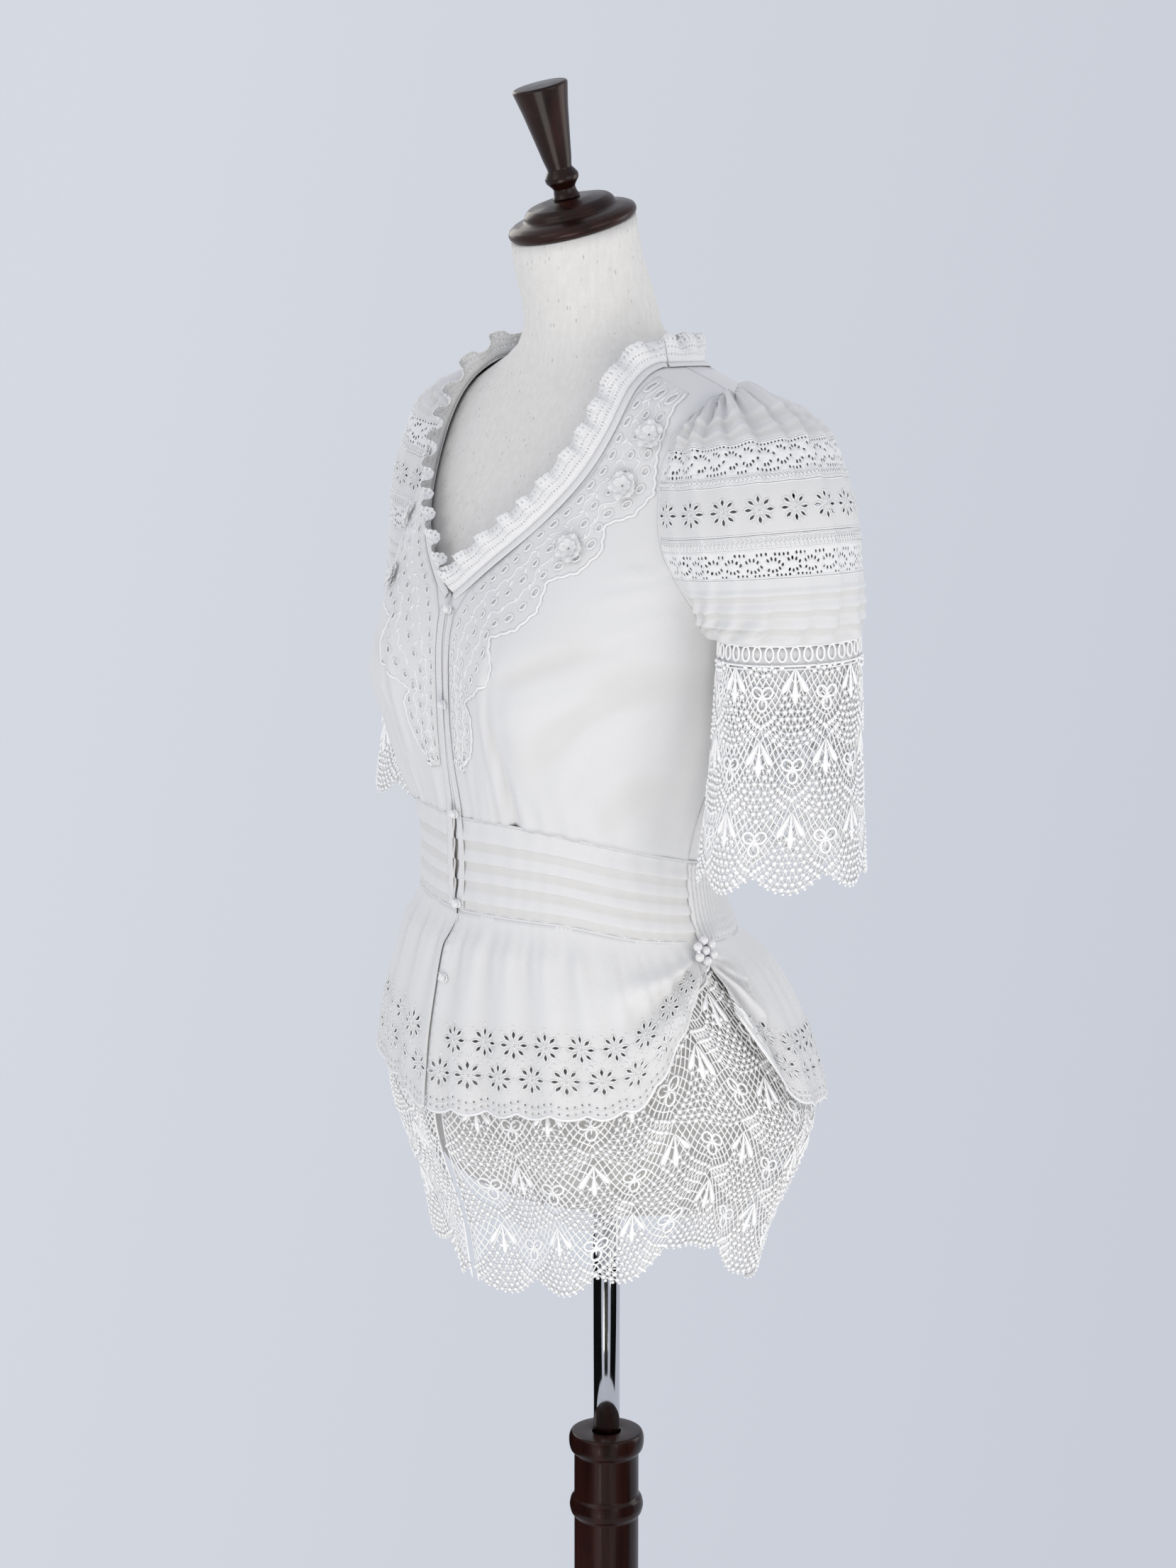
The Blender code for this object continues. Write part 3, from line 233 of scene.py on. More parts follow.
def side_angle(angle):
    """Angle from the centre front, the same on both sides."""
    return np.abs((np.asarray(angle) + math.pi) % (2 * math.pi) - math.pi)


def walked(line):
    """Distance along a line of points, from its start to each point."""
    return np.concatenate([[0.0], np.cumsum(np.linalg.norm(np.diff(line, axis=0), axis=1))])


def read_along(at, steps, values):
    """Values given at distances along a line, read at other distances."""
    return np.stack([np.interp(at, steps, values[:, k]) for k in range(values.shape[1])], axis=-1)


def level_line(u, level):
    """Line of pattern space that stays at one height."""
    return np.stack([u, np.full(len(u), level)], axis=1)


POLE_RADIUS = 0.0093
POLE_FIT = 0.3 * MM
FORM_BOTTOM = 0.858
FORM_BORE_TOP = 0.900
COLUMN_TOP = 0.660
COLUMN_BORE_BOTTOM = 0.580
BASE_HEIGHT = 0.024
BASE_RADIUS = 0.165
NECK_TILT = math.radians(16.5)

CAP_PROFILE = (
    # radius, height
    (0.0, SEAM), (0.0400, SEAM), (0.0425, 0.0020), (0.0432, 0.0045), (0.0422, 0.0072), (0.0385, 0.0095),
    (0.0310, 0.0112), (0.0300, 0.0148), (0.0270, 0.0176), (0.0160, 0.0200), (0.0, 0.0202),
)
FINIAL_PROFILE = (
    # radius, height
    (0.0, 0.0206), (0.0095, 0.0206), (0.0078, 0.0235), (0.0072, 0.0270), (0.0085, 0.0290), (0.0110, 0.0320),
    (0.0113, 0.0350), (0.0095, 0.0380), (0.0080, 0.0400), (0.0094, 0.0460), (0.0120, 0.0610),
    (0.0152, 0.0790), (0.0182, 0.0925), (0.0184, 0.0940), (0.0172, 0.0952), (0.0, 0.0956),
)
COLUMN_PROFILE = (
    # radius, height
    (0.0, BASE_HEIGHT + SEAM), (0.0400, BASE_HEIGHT + SEAM), (0.0420, 0.0300), (0.0400, 0.0380),
    (0.0270, 0.0480), (0.0230, 0.0620), (0.0228, 0.5970), (0.0250, 0.5995), (0.0263, 0.6050),
    (0.0250, 0.6105), (0.0228, 0.6130), (0.0228, 0.6440), (0.0255, 0.6465), (0.0265, 0.6510),
    (0.0265, 0.6560), (0.0250, COLUMN_TOP), (POLE_RADIUS + POLE_FIT, COLUMN_TOP),
    (POLE_RADIUS + POLE_FIT, COLUMN_BORE_BOTTOM), (0.0, COLUMN_BORE_BOTTOM),
)
BASE_PROFILE = (
    # radius, height
    (0.0, 0.0), (BASE_RADIUS - 0.004, 0.0), (BASE_RADIUS, 0.004), (BASE_RADIUS, 0.011),
    (BASE_RADIUS - 0.006, 0.0165), (BASE_RADIUS - 0.030, 0.0185), (0.060, 0.0225), (0.050, BASE_HEIGHT),
    (0.0, BASE_HEIGHT),
)


def seam(table, angle):
    """Height of a waist seam at an angle, the same on both sides."""
    return curve(table, np.degrees(side_angle(angle)))


def bodice_out(angle, z):
    """Distance from the form to the middle of the bodice's wall."""
    side = np.degrees(side_angle(angle))
    out = curve(EASE, z)
    for at, top, bottom, rise, half_width in FOLDS:
        above = ramp(bottom, bottom + 0.02, z)
        fade = above * (1 - ramp(top - 0.05, top, z)) + 0.35 * (1 - above)
        out = out + rise * np.exp(-((side - at) / half_width) ** 2) * fade
    return np.maximum(out, 1.7) * MM


def on_body(angle, z, out):
    """Points above the form by a distance, and the normals there."""
    normals = section_normal(BODY, angle, z)
    return section_point(BODY, angle, z) + normals * np.asarray(out)[..., None], normals


def front_span(z):
    """First and last angle of the front panel at a height."""
    edge = curve(FRONT_EDGE, z) if z <= NECK_EDGE[0][0] else curve(NECK_EDGE, z)
    first = angle_at(BODY, edge, z)
    last = SIDE_SEAM
    if z >= UNDERARM:
        last = math.radians(curve(ARMHOLE, z, 1)) if z < SHOULDER else math.radians(89.85)
    gap = ARMHOLE_GAP if UNDERARM < z < SHOULDER else SEAM_HALF / 0.09
    return first, last - gap * (0.0 if z >= SHOULDER else 1.0)


def back_span(z):
    first = SIDE_SEAM
    if z >= UNDERARM:
        first = math.radians(curve(ARMHOLE, z, 2)) if z < SHOULDER else math.radians(90.15)
    gap = ARMHOLE_GAP if UNDERARM < z < SHOULDER else SEAM_HALF / 0.09
    return first + gap * (0.0 if z >= SHOULDER else 1.0)


OVER_GAP = 0.9 * MM
OVER = COTTON / 2 + OVER_GAP + OVERLAY / 2
BINDING_WIDTH = 0.0050
# Yoke: inner edge beside the binding and the placket, outer edge with its scallops and cusps.
YOKE = (
    # inner_x, inner_z, outer_x, outer_z
    (0.0950, 1.4045, 0.1225, 1.3950),
    (0.0965, 1.4000, 0.1235, 1.3915),
    (0.0972, 1.3945, 0.1245, 1.3875),
    (0.0976, 1.3880, 0.1255, 1.3830),
    (0.0978, 1.3800, 0.1270, 1.3755),
    (0.0970, 1.3710, 0.1285, 1.3580),
    (0.0958, 1.3600, 0.1330, 1.3360),
    (0.0945, 1.3520, 0.1255, 1.3210),
    (0.0910, 1.3430, 0.1122, 1.3151),
    (0.0860, 1.3340, 0.1150, 1.2990),
    (0.0780, 1.3230, 0.1060, 1.2850),
    (0.0670, 1.3100, 0.0891, 1.2786),
    (0.0560, 1.2980, 0.0890, 1.2600),
    (0.0440, 1.2870, 0.0790, 1.2470),
    (0.0320, 1.2770, 0.0619, 1.2408),
    (0.0190, 1.2660, 0.0680, 1.2230),
    (0.0100, 1.2510, 0.0640, 1.2120),
    (0.0090, 1.2350, 0.0500, 1.2040),
    (0.0090, 1.2190, 0.0355, 1.1980),
    (0.0090, 1.2020, 0.0425, 1.1900),
    (0.0090, 1.1850, 0.0410, 1.1770),
    (0.0090, 1.1670, 0.0340, 1.1630),
    (0.0090, 1.1500, 0.0180, 1.1480),
)


PLACKET = (0.0018, 0.0076)
PLACKET_TOP = 1.2540
BAND_OUT = 2.6
TUCK_RISE = 0.7 * MM
TUCKS = (0.22, 0.45, 0.66, 0.88)
FRILL_LENGTH = 0.019
# The two sides, and what turns the wearer's left into each of them.
SIDES = (("left", 1), ("right", -1))
FLIP = np.array([-1.0, 1.0, 1.0])
TURNS = {1: np.ones(3), -1: FLIP}
LEVEL = np.array([1.0, 1.0, 0.0])

PEPLUM_HEM = ((0, 0.9200), (20, 0.9280), (40, 0.9350), (52, 0.9380), (60, 0.9460), (66, 0.9610),
              (72, 0.9790), (80, 0.9985), (87, 1.0140), (92, 1.0230), (96, 1.0270))
PEPLUM_BACK_HEM = ((96, 0.9990), (98, 0.9830), (101, 0.9640), (105, 0.9470), (110, 0.9350),
                   (123, 0.9240), (180, 0.9160))
UNDER_HEM = ((0, 0.7970), (15, 0.7990), (30, 0.8060), (45, 0.8120), (60, 0.8250), (70, 0.8400),
             (78, 0.8490), (86, 0.8390), (100, 0.8220), (115, 0.8080), (140, 0.8020), (180, 0.8000))
UNDER_SCALLOPS = 8


def hang(angle, z):
    """Soft folds that the peplum and the under-skirt share, deeper towards the hem."""
    side = side_angle(angle)
    wander = 11.0 * side + 0.9 * np.sin(2.3 * side) + 0.5 * np.sin(5.1 * side + 1.0)
    depth = 0.0045 * (1 - ramp(0.83, 1.035, z))
    return depth * np.sin(wander)


def gathers(angle, z, top):
    """Small gathers under the waistband that fade within 70 mm."""
    side = side_angle(angle)
    return 0.0011 * np.cos(side * 30.0) * ramp(top - 0.075, top - 0.020, z) * (1 - ramp(top - 0.012, top, z))


PEPLUM_TOP_OUT = 3.0 * MM
UNDER_TOP_OUT = 1.2 * MM
SKIRT_BLEND = 0.024


def skirt_point(table, angle, z, out):
    """Point of a skirt: just above the form at its seam, on its own sections below."""
    normals = section_normal(table, angle, z)
    level = unit(normals * LEVEL)
    hanging = section_point(table, angle, z) + level * np.asarray(out)[..., None]
    sewn, _ = on_body(angle, z, np.full(np.shape(z), PEPLUM_TOP_OUT if table is PEPLUM else UNDER_TOP_OUT))
    top = seam(LOW_SEAM, angle)
    share = ramp(top - SKIRT_BLEND, top, z)[..., None]
    return hanging * (1 - share) + sewn * share


SLEEVE = (
    # edge_z, outer_z, outer_x, centre_x, reach_y
    (1.3885, 1.3985, 0.1385, 0.1290, 0.0150),
    (1.3830, 1.4000, 0.1510, 0.1340, 0.0240),
    (1.3770, 1.3935, 0.1720, 0.1400, 0.0350),
    (1.3700, 1.3830, 0.1910, 0.1480, 0.0420),
    (1.3620, 1.3740, 0.2060, 0.1550, 0.0470),
    (1.3380, 1.3500, 0.2215, 0.1620, 0.0510),
    (1.3230, 1.3350, 0.2285, 0.1660, 0.0530),
    (1.3080, 1.3190, 0.2325, 0.1690, 0.0540),
    (1.2840, 1.2920, 0.2365, 0.1740, 0.0540),
    (1.2740, 1.2815, 0.2370, 0.1790, 0.0530),
    (1.2645, 1.2710, 0.2365, 0.1850, 0.0515),
    (1.2555, 1.2595, 0.2345, 0.1900, 0.0500),
    (1.2475, 1.2480, 0.2310, 0.1950, 0.0490),
)

SLEEVE_Y = 0.003

CUFF = (
    # z, centre_x, centre_y, half_x, half_y
    (1.0900, 0.1945, 0.000, 0.0420, 0.0580),
    (1.1000, 0.1945, 0.000, 0.0415, 0.0575),
    (1.1400, 0.1950, 0.001, 0.0395, 0.0540),
    (1.1800, 0.1950, 0.002, 0.0375, 0.0515),
    (1.2150, 0.1950, 0.003, 0.0370, 0.0500),
    (1.2475, 0.1950, 0.003, 0.0360, 0.0490),
)
CUFF_HEM = 1.1010
CUFF_SCALLOPS = 7


def armhole_point(z, side):
    """Point of the armhole at a height: side 1 is the front edge, side 2 the back edge."""
    angle = np.radians(curve(ARMHOLE, z, side))
    point, _ = on_body(angle, np.asarray(z), bodice_out(angle, z) + 0.9 * MM)
    return point


BUTTON_RADIUS = 2.6 * MM
BUTTON_HEIGHTS = (1.2530, 1.1925, 1.1190, 1.0580, 1.0090)
BUTTON_X = 0.0052
LEFT_FLOWERS = ((0.1200, 1.3700), (0.1150, 1.3390), (0.0956, 1.2990))
RIGHT_FLOWERS = ((0.1150, 1.3430), (0.1000, 1.3040), (0.0800, 1.2660))
BROOCH_ANGLE = math.radians(94.6)
BROOCH_Z = 1.0350
BROOCH_LIFT = 2.9 * MM


def frame_at(point, normal):
    up = np.array([0.0, 0.0, 1.0])
    across = unit(np.cross(up, normal))
    return point, across, unit(np.cross(normal, across)), normal


# Meshes.

class Heap:
    """Points and faces of one piece, gathered before its mesh is made."""

    def __init__(self):
        self.points = []
        self.quads = []
        self.triangles = []
        self.places = []
        self.tones = []
        self.count = 0

    def add(self, points, quads=None, triangles=None, places=None, tone=0.0):
        points = np.asarray(points, dtype=float).reshape(-1, 3)
        self.points.append(points)
        if quads is not None and len(quads):
            self.quads.append(np.asarray(quads) + self.count)
        if triangles is not None and len(triangles):
            self.triangles.append(np.asarray(triangles) + self.count)
        if places is None:
            places = points[:, [0, 2]]
        self.places.append(np.asarray(places, dtype=float).reshape(-1, 2))
        self.tones.append(np.broadcast_to(np.asarray(tone, dtype=float), (len(points),)))
        self.count += len(points)


def added_object(name, data):
    item = bpy.data.objects.new(name, data)
    bpy.context.scene.collection.objects.link(item)
    return item


def make(name, heap, look, slot, *nodes):
    """One object from a heap; it stands for the CAD nodes that are named."""
    points = np.concatenate(heap.points)
    quads = np.concatenate(heap.quads) if heap.quads else np.zeros((0, 4), int)
    triangles = np.concatenate(heap.triangles) if heap.triangles else np.zeros((0, 3), int)
    corners = np.concatenate([quads.ravel(), triangles.ravel()]).astype(np.int32)
    starts = np.concatenate([np.arange(len(quads)) * 4, quads.size + np.arange(len(triangles)) * 3])
    mesh = bpy.data.meshes.new(name)
    mesh.vertices.add(len(points))
    mesh.vertices.foreach_set("co", points.astype(np.float32).ravel())
    mesh.loops.add(len(corners))
    mesh.loops.foreach_set("vertex_index", corners)
    mesh.polygons.add(len(starts))
    mesh.polygons.foreach_set("loop_start", starts.astype(np.int32))
    mesh.update(calc_edges=True)
    mesh.polygons.foreach_set("use_smooth", np.ones(len(starts), bool))
    weave = mesh.uv_layers.new(name="Weave")
    weave.data.foreach_set("uv", np.concatenate(heap.places)[corners].astype(np.float32).ravel())
    tone = mesh.attributes.new("tone", "FLOAT", "POINT")
    tone.data.foreach_set("value", np.concatenate(heap.tones).astype(np.float32))
    mesh.materials.append(look)
    mesh.validate()
    item = added_object(name, mesh)
    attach(item, "root")
    if nodes:
        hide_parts(*nodes)
    return item


def shell(heap, points, normals, thick, relief=0.0, closed=False, places=None, tone=0.0):
    """Closed thin wall on a grid of middle points, whose outer side may stand up in relief."""
    rows, columns = points.shape[:2]
    raised = np.broadcast_to(np.asarray(relief, dtype=float), (rows, columns))[..., None]
    outer = points + normals * (thick / 2 + raised)
    inner = points - normals * (thick / 2 - raised)
    count = rows * columns
    index = np.arange(count).reshape(rows, columns)
    right = np.roll(index, -1, axis=1) if closed else index[:, 1:]
    left = index if closed else index[:, :-1]
    a, b, c, d = left[:-1], right[:-1], right[1:], left[1:]
    top = np.stack([a, b, c, d], axis=-1).reshape(-1, 4)
    flat = outer.reshape(-1, 3)
    facing = np.cross(flat[top[:, 1]] - flat[top[:, 0]], flat[top[:, 3]] - flat[top[:, 0]])
    if (facing * normals.reshape(-1, 3)[top[:, 0]]).sum() < 0:
        top = top[:, ::-1]
    quads = np.concatenate([top, top[:, ::-1] + count, rim_sides(top, 4, count)])
    if places is None:
        places = pattern_places(points)
    places = np.asarray(places).reshape(-1, 2)
    shade = np.broadcast_to(np.asarray(tone, dtype=float), (rows, columns)).ravel()
    heap.add(np.concatenate([flat, inner.reshape(-1, 3)]), quads, None,
             np.concatenate([places, places]), np.concatenate([shade, shade]))


def pattern_places(points):
    """Places on the cloth, in metres along its rows and columns."""
    along = np.linalg.norm(np.diff(points, axis=1), axis=2)
    across = np.linalg.norm(np.diff(points, axis=0), axis=2)
    u = np.concatenate([np.zeros((len(points), 1)), np.cumsum(along, axis=1)], axis=1)
    v = np.concatenate([np.zeros((1, points.shape[1])), np.cumsum(across, axis=0)])
    return np.stack([u - u[:, -1:] / 2, v], axis=-1)


def inside(points, loops):
    """Whether points lie inside the closed loops, by crossings."""
    found = np.zeros(len(points), dtype=bool)
    start = np.concatenate(loops)
    end = np.concatenate([np.roll(loop, -1, axis=0) for loop in loops])
    for first in range(0, len(start), 400):
        a = start[None, first:first + 400]
        b = end[None, first:first + 400]
        p = points[:, None]
        crosses = (a[..., 1] > p[..., 1]) != (b[..., 1] > p[..., 1])
        rise = np.where(crosses, b[..., 1] - a[..., 1], 1.0)
        level = a[..., 0] + (p[..., 1] - a[..., 1]) * (b[..., 0] - a[..., 0]) / rise
        found ^= (np.count_nonzero(crosses & (p[..., 0] < level), axis=1) % 2).astype(bool)
    return found


# Millimetres in a metre.
PATTERN_SCALE = 1000.0


def clearance(spots, points):
    """Distance from each place of pattern space to the nearest of many points."""
    tree = kdtree.KDTree(len(points))
    for k, point in enumerate(points):
        tree.insert((point[0], point[1], 0.0), k)
    tree.balance()
    return np.array([tree.find((x, y, 0.0))[2] for x, y in spots])


def thin_wall(points, normals, thick):
    """Points of a wall's outer side, then of its inner side."""
    return np.concatenate([points + normals * thick / 2, points - normals * thick / 2])


def rim_sides(faces, corners, count):
    """Quads that close a wall along the edges that only one face has."""
    edges = np.concatenate([faces[:, [k, (k + 1) % corners]] for k in range(corners)])
    forward = edges[:, 0] * count + edges[:, 1]
    backward = edges[:, 1] * count + edges[:, 0]
    rim = edges[~np.isin(forward, backward)]
    return np.stack([rim[:, 1], rim[:, 0], rim[:, 0] + count, rim[:, 1] + count], axis=1)


def cut_cloth(heap, outline, holes, step, place, thick, tone=None):
    """Thin cloth cut to an outline in pattern space, with holes cut through, laid by the place function."""
    low, high = outline.min(axis=0), outline.max(axis=0)
    rows = np.arange(low[1], high[1] + step, step * 0.866)
    columns = np.arange(low[0], high[0] + step, step)
    u, v = np.meshgrid(columns, rows)
    u = u + np.where(np.arange(len(rows)) % 2, step / 2, 0.0)[:, None]
    spots = np.stack([u, v], axis=-1).reshape(-1, 2)
    spots = spots[inside(spots, [outline])]
    edge_points = np.concatenate([outline] + list(holes))
    clear = clearance(spots, edge_points)
    if len(holes) and len(spots):
        clear = np.where(inside(spots, list(holes)), 0.0, clear)
    spots = spots[clear > 0.45 * step]
    flat = np.concatenate([edge_points, spots])
    joined = []
    first = 0
    for loop in [outline] + list(holes):
        count = len(loop)
        joined += [(first + k, first + (k + 1) % count) for k in range(count)]
        first += count
    made = delaunay_2d_cdt([Vector(p * PATTERN_SCALE) for p in flat], joined, [], 0, 1e-5)
    flat = np.array([tuple(p) for p in made[0]]) / PATTERN_SCALE
    faces = np.array([f for f in made[2] if len(f) == 3])
    middle = flat[faces].mean(axis=1)
    kept = inside(middle, [outline])
    if len(holes):
        kept &= ~inside(middle, list(holes))
    faces = faces[kept]
    used = np.unique(faces)
    renumber = np.zeros(len(flat), int)
    renumber[used] = np.arange(len(used))
    flat, faces = flat[used], renumber[faces]
    points, normals = place(flat)
    facing = np.cross(points[faces[:, 1]] - points[faces[:, 0]], points[faces[:, 2]] - points[faces[:, 0]])
    if (facing * normals[faces[:, 0]]).sum() < 0:
        faces = faces[:, ::-1]
    count = len(flat)
    shade = np.zeros(count) if tone is None else tone(flat)
    heap.add(thin_wall(points, normals, thick), rim_sides(faces, 3, count),
             np.concatenate([faces, faces[:, ::-1] + count]), np.concatenate([flat, flat]),
             np.concatenate([shade, shade]))


def cords(heap, lines, normals, half_width, half_height, sides=4, closed=False, lift=0.0, tone=0.0):
    """Threads along many lines at once: lines and normals are arrays of lines by points by 3."""
    lines = np.asarray(lines, dtype=float)
    if len(lines) == 0:
        return
    if closed:
        along = np.roll(lines, -1, axis=1) - np.roll(lines, 1, axis=1)
    else:
        along = np.gradient(lines, axis=1)
    across = unit(np.cross(normals, unit(along)))
    turn = 2 * math.pi * (np.arange(sides) + 0.5) / sides
    wide = np.broadcast_to(np.asarray(half_width, dtype=float), lines.shape[:2])[:, :, None, None]
    tall = np.broadcast_to(np.asarray(half_height, dtype=float), lines.shape[:2])[:, :, None, None]
    middle = (lines + normals * lift)[:, :, None]
    ring = (middle + across[:, :, None] * wide * np.cos(turn)[:, None]
            + normals[:, :, None] * tall * np.sin(turn)[:, None])
    number, steps = lines.shape[:2]
    index = np.arange(number * steps * sides).reshape(number, steps, sides)
    after = np.roll(index, -1, axis=1) if closed else index[:, 1:]
    before = index if closed else index[:, :-1]
    quads = np.stack([before, np.roll(before, -1, axis=2), np.roll(after, -1, axis=2), after], axis=-1)
    quads = quads.reshape(-1, 4)
    ends = None
    if not closed:
        caps = np.concatenate([index[:, 0, ::-1], index[:, -1]])
        if sides == 4:
            quads = np.concatenate([quads, caps])
        else:
            ends = np.concatenate([caps[:, [0, k, k + 1]] for k in range(1, sides - 1)])
    heap.add(ring, quads, ends, None, tone)


def sew(heap, place, lines, *shape, **more):
    """Threads along one or many lines of pattern space, on the cloth that place lays."""
    points, normals = place(np.asarray(lines))
    if points.ndim == 2:
        points, normals = points[None], normals[None]
    cords(heap, points, normals, *shape, **more)


def blobs(heap, points, normals, radius, height, sides, lift, lobes=0.0):
    """Small rounded knots at many points at once."""
    across = unit(np.cross(normals, np.array([0.0, 0.0, 1.0])))
    along = unit(np.cross(across, normals))
    turn = 2 * math.pi * np.arange(sides) / sides
    reach = 1 + lobes * np.where(np.arange(sides) % 2, -1.0, 1.0)
    size = np.broadcast_to(np.asarray(radius, dtype=float), (len(points),))[:, None, None]
    ring = (points[:, None] + along[:, None] * size * (reach * np.cos(turn))[:, None]
            + across[:, None] * size * (reach * np.sin(turn))[:, None])
    top = points + normals * (lift + height)
    bottom = points + normals * (lift - height * 0.6)
    ring = ring + normals[:, None] * lift
    body = np.concatenate([ring, top[:, None], bottom[:, None]], axis=1)
    base = np.arange(len(points))[:, None, None] * (sides + 2)
    k = np.arange(sides)
    upper = np.stack([k, (k + 1) % sides, np.full(sides, sides)], axis=1)
    lower = np.stack([(k + 1) % sides, k, np.full(sides, sides + 1)], axis=1)
    faces = (base + np.concatenate([upper, lower])[None]).reshape(-1, 3)
    heap.add(body, None, faces)


def ring_faces(rows, sides):
    """Quads between neighbouring rings of points."""
    index = np.arange(rows * sides).reshape(rows, sides)
    a, b = index[:-1], np.roll(index[:-1], -1, axis=1)
    c, d = np.roll(index[1:], -1, axis=1), index[1:]
    return np.stack([a, b, c, d], axis=-1).reshape(-1, 4)


def ball(heap, point, radius, steps=10, sides=16, squash=1.0, normal=(0.0, 0.0, 1.0)):
    """Pearl: a sphere, flattened along its normal when squash is under 1."""
    _, across, upward, normal = frame_at(np.asarray(point), unit(np.asarray(normal, dtype=float)))
    lift = math.pi * (np.arange(steps + 1)) / steps
    turn = 2 * math.pi * np.arange(sides) / sides
    radial = radius * np.sin(lift)[:, None]
    grid = (np.asarray(point) + (radial * np.cos(turn))[..., None] * across
            + (radial * np.sin(turn))[..., None] * upward
            - (radius * squash * np.cos(lift))[:, None, None] * normal)
    heap.add(grid, ring_faces(steps + 1, sides))


def turned(heap, profile, sides, place=None):
    """Solid of revolution whose profile starts and ends on the axis."""
    rows = np.array(profile, dtype=float)
    rows[:, 0] = np.maximum(rows[:, 0], 1e-5)
    turn = 2 * math.pi * np.arange(sides) / sides
    grid = np.stack([rows[:, :1] * np.cos(turn), rows[:, :1] * np.sin(turn),
                     np.repeat(rows[:, 1:2], sides, axis=1)], axis=-1)
    points = grid.reshape(-1, 3)
    if place is not None:
        points = place(points)
    heap.add(points, ring_faces(len(rows), sides))


def rounded(profile, steps=4):
    """Profile with each corner cut into a short arc."""
    rows = np.array(profile, dtype=float)
    out = [rows[0]]
    for before, at, after in zip(rows, rows[1:], rows[2:]):
        reach = 0.35 * min(np.linalg.norm(at - before), np.linalg.norm(after - at), 0.006)
        start = at + (before - at) / max(np.linalg.norm(before - at), 1e-9) * reach
        end = at + (after - at) / max(np.linalg.norm(after - at), 1e-9) * reach
        for k in range(steps + 1):
            t = k / steps
            out.append((1 - t) ** 2 * start + 2 * t * (1 - t) * at + t * t * end)
    out.append(rows[-1])
    return np.array(out)


class Surface:
    """Fine grid of points over pattern coordinates, read between its points."""

    def __init__(self, points, normals, across, up):
        self.points = points
        self.normals = normals
        self.across = across
        self.up = up

    def at(self, u, v, lift=0.0):
        rows, columns = self.points.shape[:2]
        (left, right), (low, high) = self.across, self.up
        j = np.clip((np.asarray(u) - left) / (right - left), 0, 1) * (columns - 1)
        i = np.clip((np.asarray(v) - low) / (high - low), 0, 1) * (rows - 1)
        j0 = np.minimum(j.astype(int), columns - 2)
        i0 = np.minimum(i.astype(int), rows - 2)
        s = (j - j0)[..., None]
        t = (i - i0)[..., None]

        def read(grid):
            low = grid[i0, j0] * (1 - s) + grid[i0, j0 + 1] * s
            high = grid[i0 + 1, j0] * (1 - s) + grid[i0 + 1, j0 + 1] * s
            return low * (1 - t) + high * t

        normals = unit(read(self.normals))
        return read(self.points) + normals * np.asarray(lift)[..., None], normals

    def placed(self, turn):
        """Function that lays pattern places on the surface of one side."""
        def place(flat, lift=0.0):
            points, normals = self.at(flat[..., 0], flat[..., 1], lift)
            return points * turn, normals * turn
        return place


# Materials.

THREAD_DEPTH = 0.2 * MM


def new_look(name, colour, roughness, values=()):
    """Principled material; values are further inputs of its shader."""
    look = bpy.data.materials.new(name)
    look.use_nodes = True
    shader = look.node_tree.nodes["Principled BSDF"]
    shader.inputs["Base Color"].default_value = (*colour, 1.0)
    shader.inputs["Roughness"].default_value = roughness
    for key, value in dict(values).items():
        shader.inputs[key].default_value = value
    return look, look.node_tree, shader


def node(tree, kind, values=(), links=(), **settings):
    """New shader node with its settings, its input values and the sockets that feed it."""
    made = tree.nodes.new("ShaderNode" + kind)
    for key, value in settings.items():
        setattr(made, key, value)
    for key, value in dict(values).items():
        made.inputs[key].default_value = value
    for key, socket in dict(links).items():
        tree.links.new(socket, made.inputs[key])
    return made


def mixed(tree, factor, first, second):
    """Colour between two colours or sockets."""
    blend = node(tree, "Mix", data_type="RGBA")
    if isinstance(factor, float):
        blend.inputs[0].default_value = factor
    else:
        tree.links.new(factor, blend.inputs[0])
    for socket, value in ((6, first), (7, second)):
        if isinstance(value, tuple):
            blend.inputs[socket].default_value = (*value, 1.0)
        else:
            tree.links.new(value, blend.inputs[socket])
    return blend.outputs[2]


def ranged(tree, value, low, high, to_low=0.0, to_high=1.0):
    limits = {"From Min": low, "From Max": high, "To Min": to_low, "To Max": to_high}
    return node(tree, "MapRange", limits, {"Value": value}).outputs["Result"]


def bumped(tree, shader, height, strength, distance):
    bump = node(tree, "Bump", {"Strength": strength, "Distance": distance}, {"Height": height})
    tree.links.new(bump.outputs["Normal"], shader.inputs["Normal"])


def woven_height(tree, thread):
    """Plain weave from two crossing sets of threads over the cloth's own places."""
    places = node(tree, "UVMap", uv_map="Weave").outputs["UV"]
    values = {"Scale": 1.0 / (20.0 * thread) * 2.0, "Distortion": 1.2, "Detail": 2.0, "Detail Scale": 1.5}
    sets = []
    for way in "XY":
        wave = node(tree, "TexWave", values, {"Vector": places}, bands_direction=way)
        sets.append(wave.outputs["Fac"])
    return node(tree, "Math", (), {0: sets[0], 1: sets[1]}, operation="MAXIMUM").outputs[0]


def noise(tree, scale, detail=3.0, roughness=0.5, stretch=None):
    """Noise over the object's own space, in metres."""
    source = node(tree, "TexCoord").outputs["Object"]
    if stretch is not None:
        source = node(tree, "Mapping", {"Scale": stretch}, {"Vector": source}).outputs["Vector"]
    values = {"Scale": scale, "Detail": detail, "Roughness": roughness}
    return node(tree, "TexNoise", values, {"Vector": source}).outputs["Fac"]


def added(tree, first, second, share):
    """first + second * share."""
    return node(tree, "Math", {1: share}, {0: second, 2: first}, operation="MULTIPLY_ADD").outputs[0]


